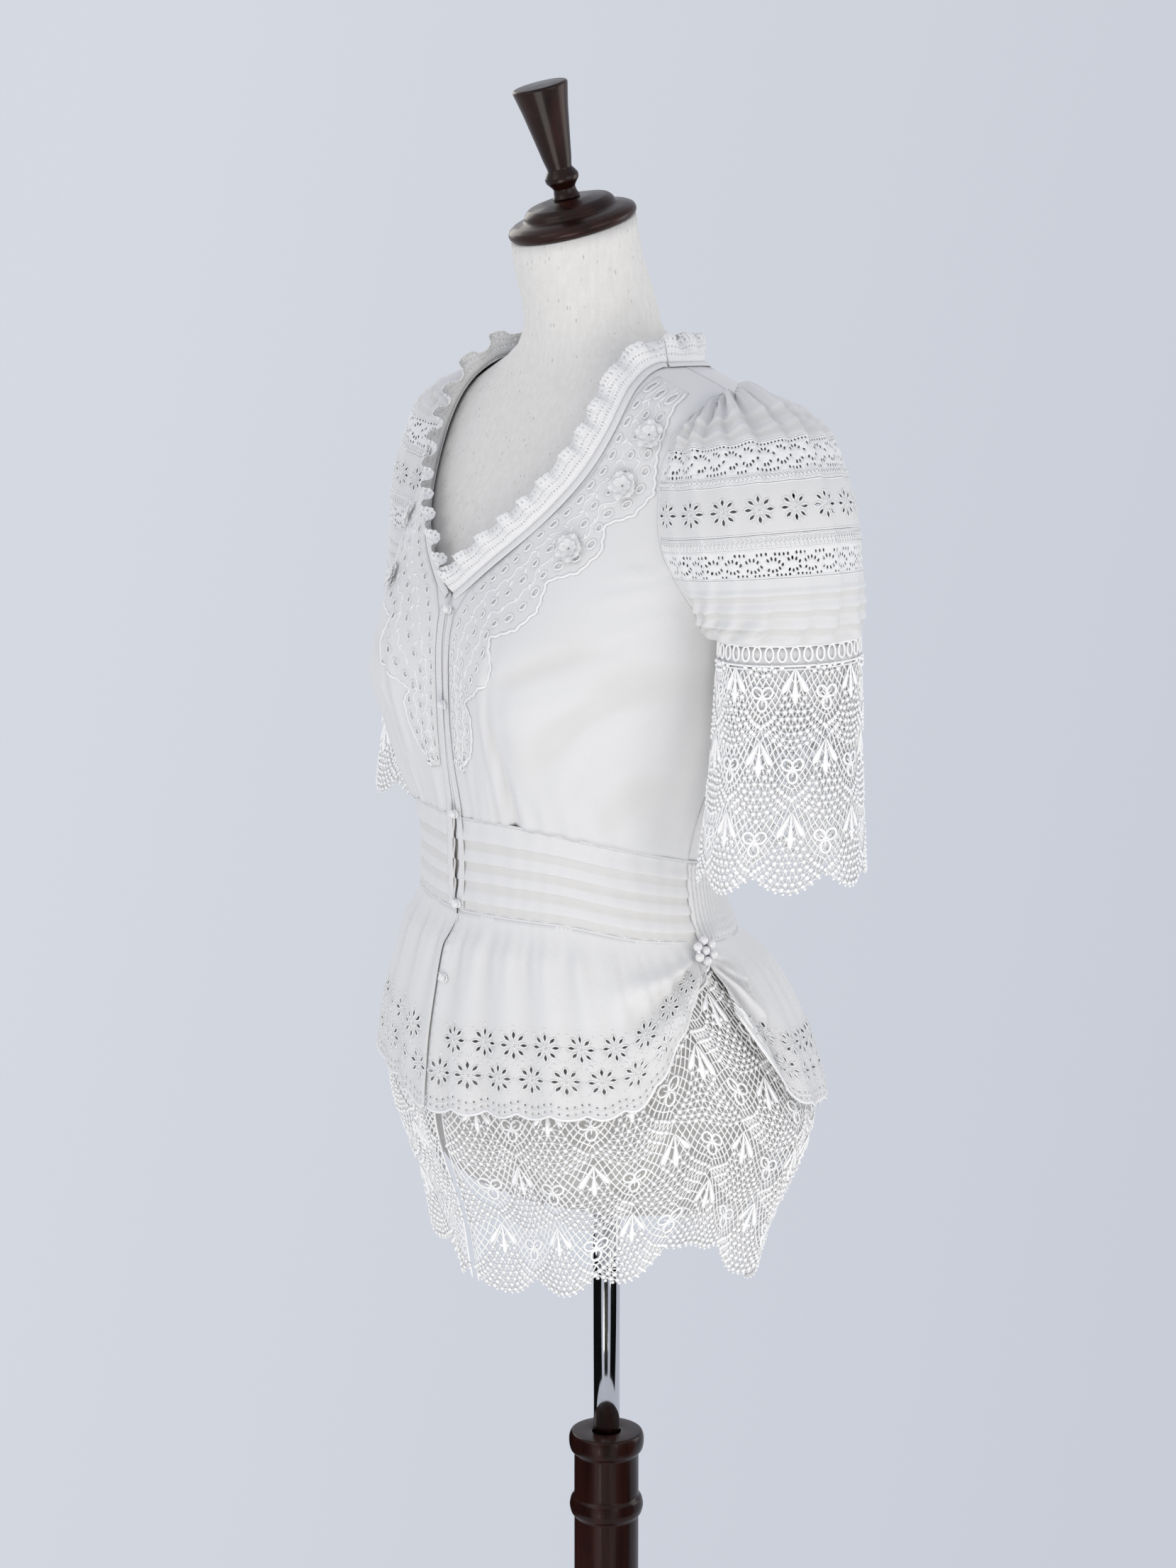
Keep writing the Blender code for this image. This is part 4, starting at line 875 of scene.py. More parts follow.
def cotton_look(name, colour, sheer, thread=0.00045, strength=0.25):
    """Fine white cotton, greyer where one layer lets what is under it show and where shade is painted into
    crease troughs.
    """
    look, tree, shader = new_look(name, colour, 0.82, {"Sheen Weight": 0.12, "Sheen Roughness": 0.5})
    tone = node(tree, "Attribute", attribute_name="tone")
    cloud = ranged(tree, noise(tree, 38.0, 4.0), 0.35, 0.7)
    # The tone attribute carries sheerness and painted crease shade.
    shade = mixed(tree, tone.outputs["Fac"], colour, sheer)
    slubs = ranged(tree, noise(tree, 900.0, 2.0), 0.45, 0.75, 0.0, 0.35)
    shade = mixed(tree, slubs, shade, tuple(0.955 * c for c in colour))
    dim = tuple(c * 0.965 for c in colour)
    blended = mixed(tree, ranged(tree, cloud, 0.0, 1.0, 0.0, 0.35), shade, dim)
    tree.links.new(blended, shader.inputs["Base Color"])
    height = added(tree, woven_height(tree, thread), noise(tree, 260.0, 4.0, 0.6), 0.9)
    bumped(tree, shader, height, strength, THREAD_DEPTH)
    return look


def thread_look(name, colour, rough=0.62):
    """Satin-stitched and corded cotton thread."""
    look, tree, shader = new_look(name, colour, rough, {"Sheen Weight": 0.15})
    grain = noise(tree, 1400.0, 2.0, 0.6)
    shade = mixed(tree, ranged(tree, grain, 0.35, 0.7), tuple(c * 0.90 for c in colour), colour)
    tree.links.new(shade, shader.inputs["Base Color"])
    bumped(tree, shader, grain, 0.35, THREAD_DEPTH)
    return look


def linen_look():
    """Unbleached linen with dark flecks and uneven threads."""
    look, tree, shader = new_look("linen_cloth", (0.62, 0.595, 0.555), 0.92)
    slub = noise(tree, 320.0, 3.0, 0.6, (1.0, 1.0, 0.22))
    warp = noise(tree, 320.0, 3.0, 0.6, (0.25, 0.25, 1.0))
    cloud = noise(tree, 9.0, 3.0)
    base = mixed(tree, ranged(tree, slub, 0.38, 0.66), (0.702, 0.689, 0.667), (0.752, 0.741, 0.722))
    base = mixed(tree, ranged(tree, warp, 0.40, 0.70, 0.0, 0.35), base, (0.676, 0.660, 0.634))
    base = mixed(tree, ranged(tree, cloud, 0.35, 0.7, 0.0, 0.15), base, (0.712, 0.698, 0.674))
    places = node(tree, "TexCoord").outputs["Object"]
    stretch = {"Scale": (1.0, 1.0, 0.35), "Rotation": (0.3, 0.5, 0.0)}
    mapping = node(tree, "Mapping", stretch, {"Vector": places})
    specks = node(tree, "TexVoronoi", {"Scale": 330.0}, {"Vector": mapping.outputs["Vector"]})
    near = ranged(tree, specks.outputs["Distance"], 0.07, 0.24, 1.0, 0.0)
    chosen = ranged(tree, noise(tree, 90.0, 1.0), 0.50, 0.58)
    both = node(tree, "Math", (), {0: near, 1: chosen}, operation="MULTIPLY")
    base = mixed(tree, ranged(tree, both.outputs[0], 0.0, 1.0, 0.0, 0.50), base, (0.25, 0.22, 0.19))
    tree.links.new(base, shader.inputs["Base Color"])
    bumped(tree, shader, added(tree, slub, warp, 1.0), 0.4, 0.0004)
    return look


def wood_look(name, stretch):
    """Very dark red-brown wood under a clear gloss, its grain fine and streaked along the turning."""
    look, tree, shader = new_look(name, (0.03, 0.009, 0.006), 0.30, {
        "Specular IOR Level": 0.18, "Coat Weight": 0.12, "Coat Roughness": 0.06})
    streak = noise(tree, 60.0, 6.0, 0.6, stretch)
    pores = noise(tree, 500.0, 2.0, 0.5, stretch)
    base = mixed(tree, ranged(tree, streak, 0.34, 0.66), (0.005, 0.0016, 0.0012), (0.028, 0.007, 0.0045))
    base = mixed(tree, ranged(tree, pores, 0.55, 0.75, 0.0, 0.7), base, (0.008, 0.004, 0.003))
    tree.links.new(base, shader.inputs["Base Color"])
    shade = ranged(tree, streak, 0.3, 0.7, 0.24, 0.38)
    tree.links.new(shade, shader.inputs["Roughness"])
    bumped(tree, shader, pores, 0.10, 0.0002)
    return look


def chrome_look():
    look, tree, shader = new_look("chrome_pole", (0.66, 0.67, 0.69), 0.08, {"Metallic": 1.0})
    wear = noise(tree, 30.0, 5.0, 0.6, (1.0, 1.0, 0.1))
    tree.links.new(ranged(tree, wear, 0.3, 0.8, 0.05, 0.14), shader.inputs["Roughness"])
    tint = mixed(tree, ranged(tree, wear, 0.3, 0.8), (0.68, 0.69, 0.71), (0.60, 0.61, 0.64))
    tree.links.new(tint, shader.inputs["Base Color"])
    return look


def pearl_look():
    coat = {"Coat Weight": 0.7, "Coat Roughness": 0.06}
    look, tree, shader = new_look("pearl", (0.80, 0.80, 0.79), 0.14, coat)
    # Painted sheen: the base colour pales and turns bluish towards the pearl's grazing edges.
    painted_sheen = node(tree, "LayerWeight", {"Blend": 0.35})
    swirl = ranged(tree, noise(tree, 700.0, 2.0), 0.3, 0.7, 0.0, 0.4)
    core = mixed(tree, swirl, (0.70, 0.70, 0.71), (0.82, 0.81, 0.79))
    shade = mixed(tree, painted_sheen.outputs["Facing"], core, (0.90, 0.90, 0.93))
    tree.links.new(shade, shader.inputs["Base Color"])
    return look


def organza_look():
    """Sheer crisp organza: thin, a little glossy, part see-through."""
    look, tree, shader = new_look("organza_petals", (0.92, 0.92, 0.92), 0.35, {"Alpha": 0.60})
    grain = noise(tree, 600.0, 3.0)
    tree.links.new(mixed(tree, ranged(tree, grain, 0.35, 0.7), (0.88, 0.88, 0.88), (0.95, 0.95, 0.95)),
                   shader.inputs["Base Color"])
    bumped(tree, shader, grain, 0.25, 0.0003)
    return look


WHITE = (0.715, 0.715, 0.720)
# Grey of sheer single-layer cloth, also the painted shade of crease troughs.
SHEER_AND_SHADE = (0.650, 0.641, 0.627)
LACE_WHITE = (0.900, 0.902, 0.906)
LOOKS = {
    "cotton": cotton_look("cotton_lawn", WHITE, SHEER_AND_SHADE),
    "eyelet": cotton_look("eyelet_cotton", WHITE, SHEER_AND_SHADE),
    "band_lace": cotton_look("insertion_lace", (0.79, 0.79, 0.795), SHEER_AND_SHADE, 0.0007, 0.5),
    "stitch": thread_look("satin_stitch", LACE_WHITE),
    "guipure": thread_look("guipure_thread", (0.985, 0.985, 0.985), 0.66),
    "linen": linen_look(),
    "wood_up": wood_look("turned_wood", (1.0, 1.0, 0.06)),
    "wood_flat": wood_look("turned_wood_flat", (0.08, 1.0, 1.0)),
    "chrome": chrome_look(),
    "pearl": pearl_look(),
    "organza": organza_look(),
}


# Form and stand.

FORM_TOP = 1.498
NECK_START = 1.432
FORM_SIDES = 72
FORM_LEVELS = 76
TURNED_SIDES = 64


def dress_form():
    angle = np.arange(FORM_SIDES)[None, :] * 2 * math.pi / FORM_SIDES
    z = np.linspace(FORM_BOTTOM, FORM_TOP, FORM_LEVELS)[:, None]
    grid = section_point(BODY, angle, z) - section_normal(BODY, angle, z) * FORM_INSET
    lean = ramp(NECK_START, FORM_TOP, z) * math.tan(NECK_TILT)
    grid[..., 2] = z + lean * (grid[..., 1] - curve(BODY, z, 4))
    hole = POLE_RADIUS + POLE_FIT
    bottom = np.full(FORM_SIDES, FORM_BOTTOM)
    lip = np.stack([hole * np.sin(angle[0]), -hole * np.cos(angle[0]), bottom], axis=1)
    deep = lip + np.array([0.0, 0.0, FORM_BORE_TOP - FORM_BOTTOM])
    end = deep * np.array([0.001, 0.001, 1.0])
    top = grid[-1] * 0.001 + grid[-1].mean(axis=0) * 0.999
    rings = np.concatenate([[end, deep, lip], grid, [top]])
    heap = Heap()
    heap.add(rings, ring_faces(len(rings), FORM_SIDES))
    item = make("form_linen", heap, LOOKS["linen"], "linen", "form_torso")


def neck_place(points):
    """Stands a turned piece on the sloping neck top."""
    sine, cosine = math.sin(NECK_TILT), math.cos(NECK_TILT)
    out = np.array(points)
    out[:, 1] = curve(BODY, FORM_TOP, 4) + points[:, 1] * cosine - points[:, 2] * sine
    out[:, 2] = FORM_TOP + points[:, 1] * sine + points[:, 2] * cosine
    return out


def stand():
    for name, profile, place, look, node_name in (
            ("cap_turned", CAP_PROFILE, neck_place, "wood_flat", "neck_cap"),
            ("finial_turned", FINIAL_PROFILE, neck_place, "wood_up", "finial"),
            ("column_turned", COLUMN_PROFILE, None, "wood_up", "column"),
            ("base_turned", BASE_PROFILE, None, "wood_flat", "base")):
        heap = Heap()
        turned(heap, rounded(profile, 3), TURNED_SIDES, place)
        make(name, heap, LOOKS[look], "wood", node_name)
    heap = Heap()
    low, high = COLUMN_BORE_BOTTOM + POLE_FIT, FORM_BORE_TOP - POLE_FIT
    turned(heap, ((0.0, low), (POLE_RADIUS, low), (POLE_RADIUS, high), (0.0, high)), TURNED_SIDES)
    make("pole_chrome", heap, LOOKS["chrome"], "chrome", "pole")


# Bodice.

CLOTH = 0.6 * MM
EYELET_CLOTH = 0.5 * MM
# Soft ridges and troughs of the front: two ends, rise, half width, all in mm.
FRONT_CREASES = (
    # x, z, end_x, end_z, rise, half_width
    (24, 1112, 27, 1180, 1.5, 2.4),
    (32, 1112, 36, 1160, 1.2, 2.2),
    (41, 1112, 47, 1170, 1.1, 2.4),
    (66, 1112, 70, 1170, 1.2, 2.6),
    (78, 1110, 84, 1150, 0.9, 2.6),
    (92, 1108, 98, 1146, 0.8, 3.0),
    (70, 1212, 138, 1250, -1.2, 6.5),
    (62, 1190, 132, 1214, 1.1, 6.5),
    (51, 1110, 62, 1244, 1.5, 3.4),
    (56, 1110, 67, 1240, -1.7, 2.6),
    (44, 1112, 50, 1190, -1.0, 3.0),
    (151, 1291, 122, 1284, 1.3, 2.0),
    (150, 1280, 116, 1268, 0.9, 3.4),
    (149, 1262, 112, 1236, 1.0, 5.0),
    (142, 1226, 84, 1160, -1.9, 9.0),
    (130, 1200, 76, 1120, 1.7, 7.0),
    (132, 1160, 104, 1112, -1.0, 6.0),
    (144, 1200, 128, 1118, 0.9, 5.0),
)
BACK_FOLDS = (
    # angle, top, rise, half_width
    (106, 1.235, 1.4, 3.5),
    (117, 1.220, -1.0, 4.0),
    (127, 1.200, 1.6, 4.5),
    (141, 1.190, -1.0, 5.0),
    (152, 1.215, 1.5, 4.0),
    (166, 1.180, 1.2, 4.5),
    (197, 1.195, 1.4, 4.5),
    (211, 1.210, -0.9, 4.0),
    (224, 1.225, 1.5, 4.5),
    (240, 1.190, 1.1, 4.0),
    (252, 1.230, 1.3, 3.5),
)


def creased(x, z, table):
    """Rise of listed ridges and troughs at places given in metres."""
    out = np.zeros(np.broadcast(x, z).shape)
    for start_x, start_z, end_x, end_z, rise, half_width in table:
        run = np.array([end_x - start_x, end_z - start_z], dtype=float)
        length = np.hypot(*run)
        at_x = x / MM - start_x
        at_z = z / MM - start_z
        share = (at_x * run[0] + at_z * run[1]) / length ** 2
        off = (at_x * run[1] - at_z * run[0]) / length
        taper = ramp(-0.12, 0.18, share) * (1 - ramp(0.55, 1.15, share))
        out = out + rise * MM * np.exp(-(off / half_width) ** 2) * taper
    return out


def front_relief(x, z, side):
    """Creases of a front panel, a little different on the wearer's right."""
    drift = 0.0 if side > 0 else 0.006
    out = creased(x + drift, z - 0.5 * drift, FRONT_CREASES)
    waves = np.sin(x * 61.0 + z * 23.0 + side) * np.sin(z * 47.0 - x * 19.0 + 2.0 * side)
    waist = np.sin(x * 420.0 + 3.0 * np.sin(x * 60.0 + side)) * (1 - ramp(1.118, 1.150, z))
    return 1.5 * out + 0.45 * MM * waves + 0.45 * MM * waist


def painted_crease_shade(relief, depth):
    """Painted shade in the troughs of thin cloth's creases, given as a tone."""
    return 0.7 * np.clip(-relief / depth, 0.0, 1.0)


def cloth_front(x, z, side, above=0.0):
    """Points and normals over the front panel of one side; x is the distance from the centre."""
    angle = angle_at(BODY, x, z)
    points, normals = on_body(angle, z, bodice_out(angle, z) + front_relief(x, z, side) + above)
    return points * TURNS[int(side)], normals * TURNS[int(side)]


def on_side(side, *grids):
    """Grids of one side: the wearer's right is mirrored, its columns turned round."""
    return [(grid * TURNS[side])[:, ::side] for grid in grids]


def rows_to_neck(count_low, count_high, bottom):
    low = np.linspace(bottom, BODICE_LOW, count_low)
    return np.concatenate([low, np.linspace(BODICE_LOW, NECK_TOP, count_high)[1:]])


def eased_to_seam(angle, nominal, bottom):
    """Heights over a bodice panel, whose lowest rows follow the waist seam."""
    z = np.repeat(nominal[:, None], angle.shape[1], axis=1)
    low = seam(TOP_SEAM, angle) + SEAM_HALF
    lift = np.clip((nominal - bottom) / (BODICE_LOW - bottom), 0.0, 1.0)[:, None]
    return np.where(z < BODICE_LOW, low + (BODICE_LOW - low) * lift, z)


def front_panels():
    bottom = float(seam(TOP_SEAM, 0.3))
    nominal = rows_to_neck(12, 72, bottom)
    spans = np.array([front_span(z) for z in nominal])
    share = np.linspace(0.0, 1.0, 62)[None, :]
    angle = spans[:, :1] + (spans[:, 1:] - spans[:, :1]) * share
    z = eased_to_seam(angle, nominal, bottom)
    x = section_point(BODY, angle, z)[..., 0]
    for name, side in SIDES:
        relief = front_relief(x, z, side)
        points, normals = on_body(angle, z, bodice_out(angle, z) + relief)
        # Painted shade in the troughs of the front's creases, carried by the tone attribute.
        shade = painted_crease_shade(relief, 1.8 * MM)
        points, normals = on_side(side, points, normals)
        heap = Heap()
        shell(heap, points, normals, CLOTH, tone=shade[:, ::side])
        item = make("bodice_front_" + name, heap, LOOKS["cotton"], "cotton", "front_" + name)


# Height above which the back's rows bend to the neckline.
BACK_TURN = 1.376


def back_panel():
    bottom = float(seam(TOP_SEAM, 1.7))
    nominal = rows_to_neck(10, 50, bottom)
    first = np.array([back_span(z) for z in nominal])[:, None]
    share = np.linspace(0.0, 1.0, 72)[None, :]
    angle = first + (2 * math.pi - 2 * first) * share
    z = eased_to_seam(angle, nominal, bottom)
    degrees = np.degrees(angle)
    stretch = (curve(BACK_NECK, degrees) - BACK_TURN) / (NECK_TOP - BACK_TURN)
    z = np.where(z > BACK_TURN, BACK_TURN + (z - BACK_TURN) * stretch, z)
    relief = 0.3 * MM * np.sin(angle * 13.0) * np.sin(z * 61.0 + angle * 3.0)
    for at, high, rise, half_width in BACK_FOLDS:
        fold = np.exp(-((degrees - at) / half_width) ** 2)
        relief = relief + rise * MM * fold * (1 - ramp(high - 0.07, high, z))
    points, normals = on_body(angle, z, bodice_out(angle, z) + relief)
    heap = Heap()
    shell(heap, points, normals, CLOTH)
    item = make("bodice_back", heap, LOOKS["cotton"], "cotton", "back")


def stitch_row(heap, points, normals, length=2.0, lift=0.45):
    """Short stitches along a line of points."""
    steps = walked(points)
    count = max(int(steps[-1] / (1.45 * length * MM)), 2)
    middle = (np.arange(count) + 0.5) * steps[-1] / count
    ends = [read_along(middle + shift * length * MM, steps, points) for shift in (-0.5, 0.0, 0.5)]
    facing = unit(read_along(middle, steps, normals))
    cords(heap, np.stack(ends, axis=1), np.repeat(facing[:, None], 3, axis=1), 0.28 * MM,
          np.array([0.05, 0.22, 0.05]) * MM, 4, lift=lift * MM)


# Yoke.

# How far the yoke's fine cloth lies in from where a thicker one would.
YOKE_SET = 1.25 * MM
YOKE_RINGS = (
    # distance in from the outer edge as a share of the width, spacing, long half axis, short half axis, in mm
    (0.20, 10.8, 2.9, 2.1),
    (0.52, 11.6, 2.7, 1.9),
    (0.86, 10.0, 2.9, 1.8),
)


def yoke_line(share, count):
    """Places along the yoke at a share of its width in from the outer edge: x, z and the row read."""
    rows = np.array(YOKE)
    fine = np.linspace(0.0, len(rows) - 1.0, 600)
    index = np.arange(len(rows))
    inner, outer = read_along(fine, index, rows[:, :2]), read_along(fine, index, rows[:, 2:])
    line = outer + (inner - outer) * share
    steps = walked(line)
    at = np.linspace(0.0, steps[-1], count)
    return read_along(at, steps, line), steps[-1]


def oval(centre, along, long_axis, short_axis, count):
    turn = 2 * math.pi * np.arange(count) / count
    across = np.array([-along[1], along[0]])
    return centre + np.outer(np.cos(turn) * long_axis, along) + np.outer(np.sin(turn) * short_axis, across)


def spaced_places(share, spacing):
    """Places along the yoke, two to a spacing in mm, and the way the yoke runs at each."""
    _, run = yoke_line(share, 4)
    line, _ = yoke_line(share, 2 * int(run / (spacing * MM)) + 1)
    return line, unit(np.gradient(line, axis=0))


def yoke_overlays():
    outer, length = yoke_line(0.0, 300)
    steps = np.linspace(0.0, length, len(outer))
    slope = unit(np.gradient(outer, axis=0))
    inner, _ = yoke_line(1.0, 160)
    across = outer - inner[np.linspace(0, 159, len(outer)).astype(int)]
    outward = facing_out(np.stack([-slope[:, 1], slope[:, 0]], axis=1), across)
    small = 0.9 * MM * np.abs(np.sin(math.pi * steps / 0.0072))
    edge = outer + outward * (small - 0.5 * MM)[:, None]
    outline = np.concatenate([edge, inner[::-1]])
    holes = []
    rims = []
    for share, spacing, long_axis, short_axis in YOKE_RINGS:
        line, heading = spaced_places(share, spacing)
        for k in range(1, len(line) - 1, 2):
            size = 1.0 + 0.12 * math.sin(k * 1.7)
            place_at = line[k], heading[k]
            holes.append(oval(*place_at, long_axis * 0.62 * MM * size, short_axis * 0.60 * MM * size, 8))
            rims.append(oval(*place_at, long_axis * MM * size, short_axis * MM * size, 12))
    for name, side in SIDES:
        def place(flat, lift=0.0):
            return cloth_front(flat[..., 0], flat[..., 1], side, OVER - YOKE_SET + lift)
        heap = Heap()
        cut_cloth(heap, outline, holes, 3.4 * MM, place, EYELET_CLOTH, lambda flat: np.full(len(flat), 0.15))
        item = make("yoke_eyelet_" + name, heap, LOOKS["eyelet"], "lace", "yoke_" + name)
        heap = Heap()
        sew(heap, place, rims, 0.75 * MM, 0.60 * MM, 3, closed=True, lift=0.40 * MM)
        edging = edge - outward * 0.9 * MM
        sew(heap, place, edging, 1.15 * MM, 0.50 * MM, 4, lift=0.3 * MM)
        for share, half in ((0.36, 0.55), (0.70, 0.45)):
            line, run = yoke_line(share, 190)
            along = unit(np.gradient(line, axis=0))
            sway = 1.3 * MM * np.sin(2 * math.pi * np.linspace(0, run, 190) / 0.0135)
            line = line + np.stack([-along[:, 1], along[:, 0]], axis=1) * sway[:, None]
            sew(heap, place, line, half * MM, 0.42 * MM, 4, lift=0.3 * MM)
        leaves = []
        for share, spacing, lean in ((0.36, 10.8, 0.9), (0.70, 11.6, -0.9), (0.60, 11.6, 0.7)):
            line, heading = spaced_places(share, spacing)
            for k in range(2, len(line) - 1, 2):
                tilt = lean + 0.25 * math.sin(2.3 * k)
                way = np.array([heading[k, 0] * math.cos(tilt) - heading[k, 1] * math.sin(tilt),
                                heading[k, 0] * math.sin(tilt) + heading[k, 1] * math.cos(tilt)])
                leaves.append(line[k] + np.outer(np.linspace(-2.6, 2.6, 5) * MM, way))
        sew(heap, place, leaves, np.array([0.05, 0.85, 1.05, 0.80, 0.05]) * MM,
            np.array([0.05, 0.45, 0.55, 0.45, 0.05]) * MM, 4, lift=0.3 * MM)
        make("yoke_stitching_" + name, heap, LOOKS["stitch"], "lace")


# Neck binding, placket and frills.

BINDING_HALF = 2.6 * MM
BINDING_CROWN = 0.5 * MM
BINDING_RIB = 0.35 * MM
BINDING_COLUMNS = 7
RIB_LENGTH = 3.5 * MM


def binding_band(heap, centre, normals, across):
    """Narrow crowned and ribbed band along a line of points."""
    share = np.linspace(-1.0, 1.0, BINDING_COLUMNS)[:, None, None]
    rib = BINDING_RIB * np.abs(np.sin(math.pi * walked(centre) / RIB_LENGTH))
    grid = centre[None] + across[None] * BINDING_HALF * share
    relief = BINDING_CROWN * (1 - share[..., 0] ** 2) + rib[None] * (1 - share[..., 0] ** 4)
    shell(heap, grid, np.repeat(normals[None], BINDING_COLUMNS, axis=0), CLOTH, relief)


def neck_path(count=260):
    """The whole neckline of the wearer's left from the point of the V to the centre back."""
    z = np.linspace(NECK_EDGE[0][0] + 0.0016, NECK_TOP, 400)
    x = curve(NECK_EDGE, z)
    front = angle_at(BODY, x, z)
    back = np.linspace(front[-1] + 0.01, math.pi, 300)
    angle = np.concatenate([front, back])
    z = np.concatenate([z, curve(BACK_NECK, np.maximum(np.degrees(back), 90.0))])
    line = section_point(BODY, angle, z)
    steps = walked(line)
    at = np.linspace(0.0, steps[-1], count)
    return np.interp(at, steps, angle), np.interp(at, steps, z)


FRILL_PITCH = 0.0205
FRILL_HOLES = (0.30, 0.56, 0.84)
FRILL_FULLNESS = 1.75
TRIM_OUT = 1.1 * MM


def trim_line(angle, z):
    """Line that the neck trims follow, its normals, and the way from it into the neck opening."""
    line, normals = on_body(angle, z, bodice_out(angle, z) + TRIM_OUT)
    return line, normals, unit(np.cross(normals, unit(np.gradient(line, axis=0))))


def neck_trims():
    angle, z = neck_path()
    line, normals, inward = trim_line(angle, z)
    last_front = int(np.argmax(angle > math.radians(79.0)))
    for name, side in SIDES:
        turn = TURNS[side]
        heap = Heap()
        part = slice(0, last_front)
        centre = line[part] - inward[part] * BINDING_WIDTH * 0.5
        centre[:, 0] = np.maximum(centre[:, 0], 0.0022)
        binding_band(heap, centre * turn, normals[part] * turn, inward[part] * turn)
        item = make("neck_binding_" + name, heap, LOOKS["cotton"], "cotton", "binding_" + name)
        part = slice(0, last_front + 1)
        frill(name, turn, line[part], normals[part], inward[part], 50.0, 60.0)
    back_angle = np.concatenate([angle[last_front:], (2 * math.pi - angle[last_front:-1])[::-1]])
    back_z = np.concatenate([z[last_front:], z[last_front:-1][::-1]])
    line, normals, inward = trim_line(back_angle, back_z)
    heap = Heap()
    binding_band(heap, line - inward * BINDING_WIDTH * 0.5, normals, inward)
    item = make("neck_binding_back_cloth", heap, LOOKS["cotton"], "cotton", "binding_back")
    frill("back", np.ones(3), line, normals, inward, 60.0, 60.0)


def frill(name, turn, line, normals, inward, lean_start, lean_end):
    """Gathered lace standing on the neckline in lobes that lean over the opening."""
    steps = walked(line)
    length = steps[-1]
    waves = round(length / FRILL_PITCH)
    cut = length * FRILL_FULLNESS
    tall = FRILL_LENGTH

    def place(flat, lift=0.0):
        share = np.clip(flat[..., 0] / cut, 0.0, 1.0)
        reach = flat[..., 1] / tall
        phase = 2 * math.pi * waves * share + 2.4 * share * (1 - share) * np.sin(5.0 * share * waves / 3.0)
        base_at = np.clip(share * length - 0.0013 * reach * np.sin(2 * phase), 0.0, length)
        base = read_along(base_at, steps, line)
        normal = unit(read_along(base_at, steps, normals))
        inside_way = unit(read_along(base_at, steps, inward))
        swing = (14.0 * np.sin(phase) + 2.0 * np.sin(2.0 * phase + 1.0)) * ramp(0.0, 0.8, reach)
        angle = np.radians(lean_start + (lean_end - lean_start) * share + swing)[..., None]
        curl = np.radians(16.0) * (reach ** 2)[..., None]
        way = np.cos(angle - curl) * inside_way + np.sin(angle - curl) * normal
        size = tall * (0.93 + 0.07 * np.sin(phase + 1.0))[..., None]
        points = base + way * reach[..., None] * size + normal * 0.3 * MM
        facing = unit(np.sin(angle) * inside_way - np.cos(angle) * normal)
        low_x = 0.9 * MM
        points[..., 0] = np.where((np.abs(points[..., 0]) < low_x) & (name != "back"), low_x, points[..., 0])
        return (points + facing * np.asarray(lift)[..., None]) * turn, facing * turn

    u = np.linspace(0.0, cut, int(cut / (1.2 * MM)))
    picot = 0.9 * MM * np.abs(np.sin(math.pi * u / 0.0042))
    top = np.stack([u, tall - 0.9 * MM + picot], axis=1)
    bottom = level_line(u[::-2], 0.0)
    outline = np.concatenate([bottom, top])[::-1]
    holes = []
    for k, reach in enumerate(FRILL_HOLES):
        for at in np.arange(0.003, cut - 0.003, 0.0034 if k < 2 else 0.0042):
            spot = np.array([at + 0.0007 * k, reach * tall])
            holes.append(oval(spot, np.array([0.0, 1.0]), 0.85 * MM, 0.50 * MM, 6))
    heap = Heap()
    cut_cloth(heap, outline, holes, 2.6 * MM, place, 0.45 * MM)
    edge = np.stack([u, tall - 1.2 * MM + picot], axis=1)
    sew(heap, place, edge, 0.5 * MM, 0.5 * MM, 3)
    for reach in (0.43, 0.70):
        sew(heap, place, level_line(u, reach * tall), 0.35 * MM, 0.45 * MM, 3)
    item = make("neck_ruffle_" + name, heap, LOOKS["band_lace"], "lace", "neck_frill_" + name)


def underlaps():
    """Strips of cloth behind the closed front edges."""
    x = np.linspace(-0.008, 0.008, 9)[:, None]
    for name, heights in (("bodice", (1.128, 1.263)), ("peplum", (0.930, 1.050))):
        z = np.linspace(heights[0], heights[1], 60)
        table = BODY if name == "bodice" else PEPLUM
        angle = angle_at(table, np.abs(x), z) * np.sign(x)
        if name == "bodice":
            points, normals = on_body(angle, z, np.full(angle.shape, 1.5 * MM))
        else:
            out = hang(angle, z) + 0.6 * gathers(angle, z, LOW_SEAM[0][1]) - 1.0 * MM
            height = z + 0 * angle
            points, normals = skirt_point(PEPLUM, angle, height, out), section_normal(PEPLUM, angle, z)
        heap = Heap()
        shell(heap, points, normals, EYELET_CLOTH)
        item = make("front_underlap_" + name, heap, LOOKS["cotton"], "cotton")


def plackets():
    z = np.linspace(PLACKET_TOP, float(curve(LOW_SEAM, 0.0)) + 0.002, 110)
    edge = curve(FRONT_EDGE, z)
    columns = np.linspace(PLACKET[0], PLACKET[1], 9)[:, None]
    below = float(curve(TOP_SEAM, 0.0))
    for name, side in SIDES:
        heap, stitches = Heap(), Heap()
        x = edge + columns
        angle = angle_at(BODY, x, z)
        out = np.maximum(bodice_out(angle, z), BAND_OUT * MM)
        out = out + ramp(below + 0.012, below - 0.002, z) * TUCK_RISE + 0.35 * front_relief(x, z, side)
        points, normals = on_body(angle, z, out + OVER - 1.1 * MM)
        points, normals = points * TURNS[side], normals * TURNS[side]
        crown = 0.20 * MM * np.exp(-((columns - columns[0] - 1.2 * MM) / (0.9 * MM)) ** 2)
        shell(heap, points, normals, CLOTH, np.repeat(crown, len(z), axis=1))
        item = make("front_placket_" + name, heap, LOOKS["cotton"], "cotton", "placket_" + name)
        stitch_row(stitches, points[6], normals[6], 1.8)
        make("placket_stitches_" + name, stitches, LOOKS["stitch"], "cotton")


# Waistband.

BAND_TUCK = 1.15 * MM


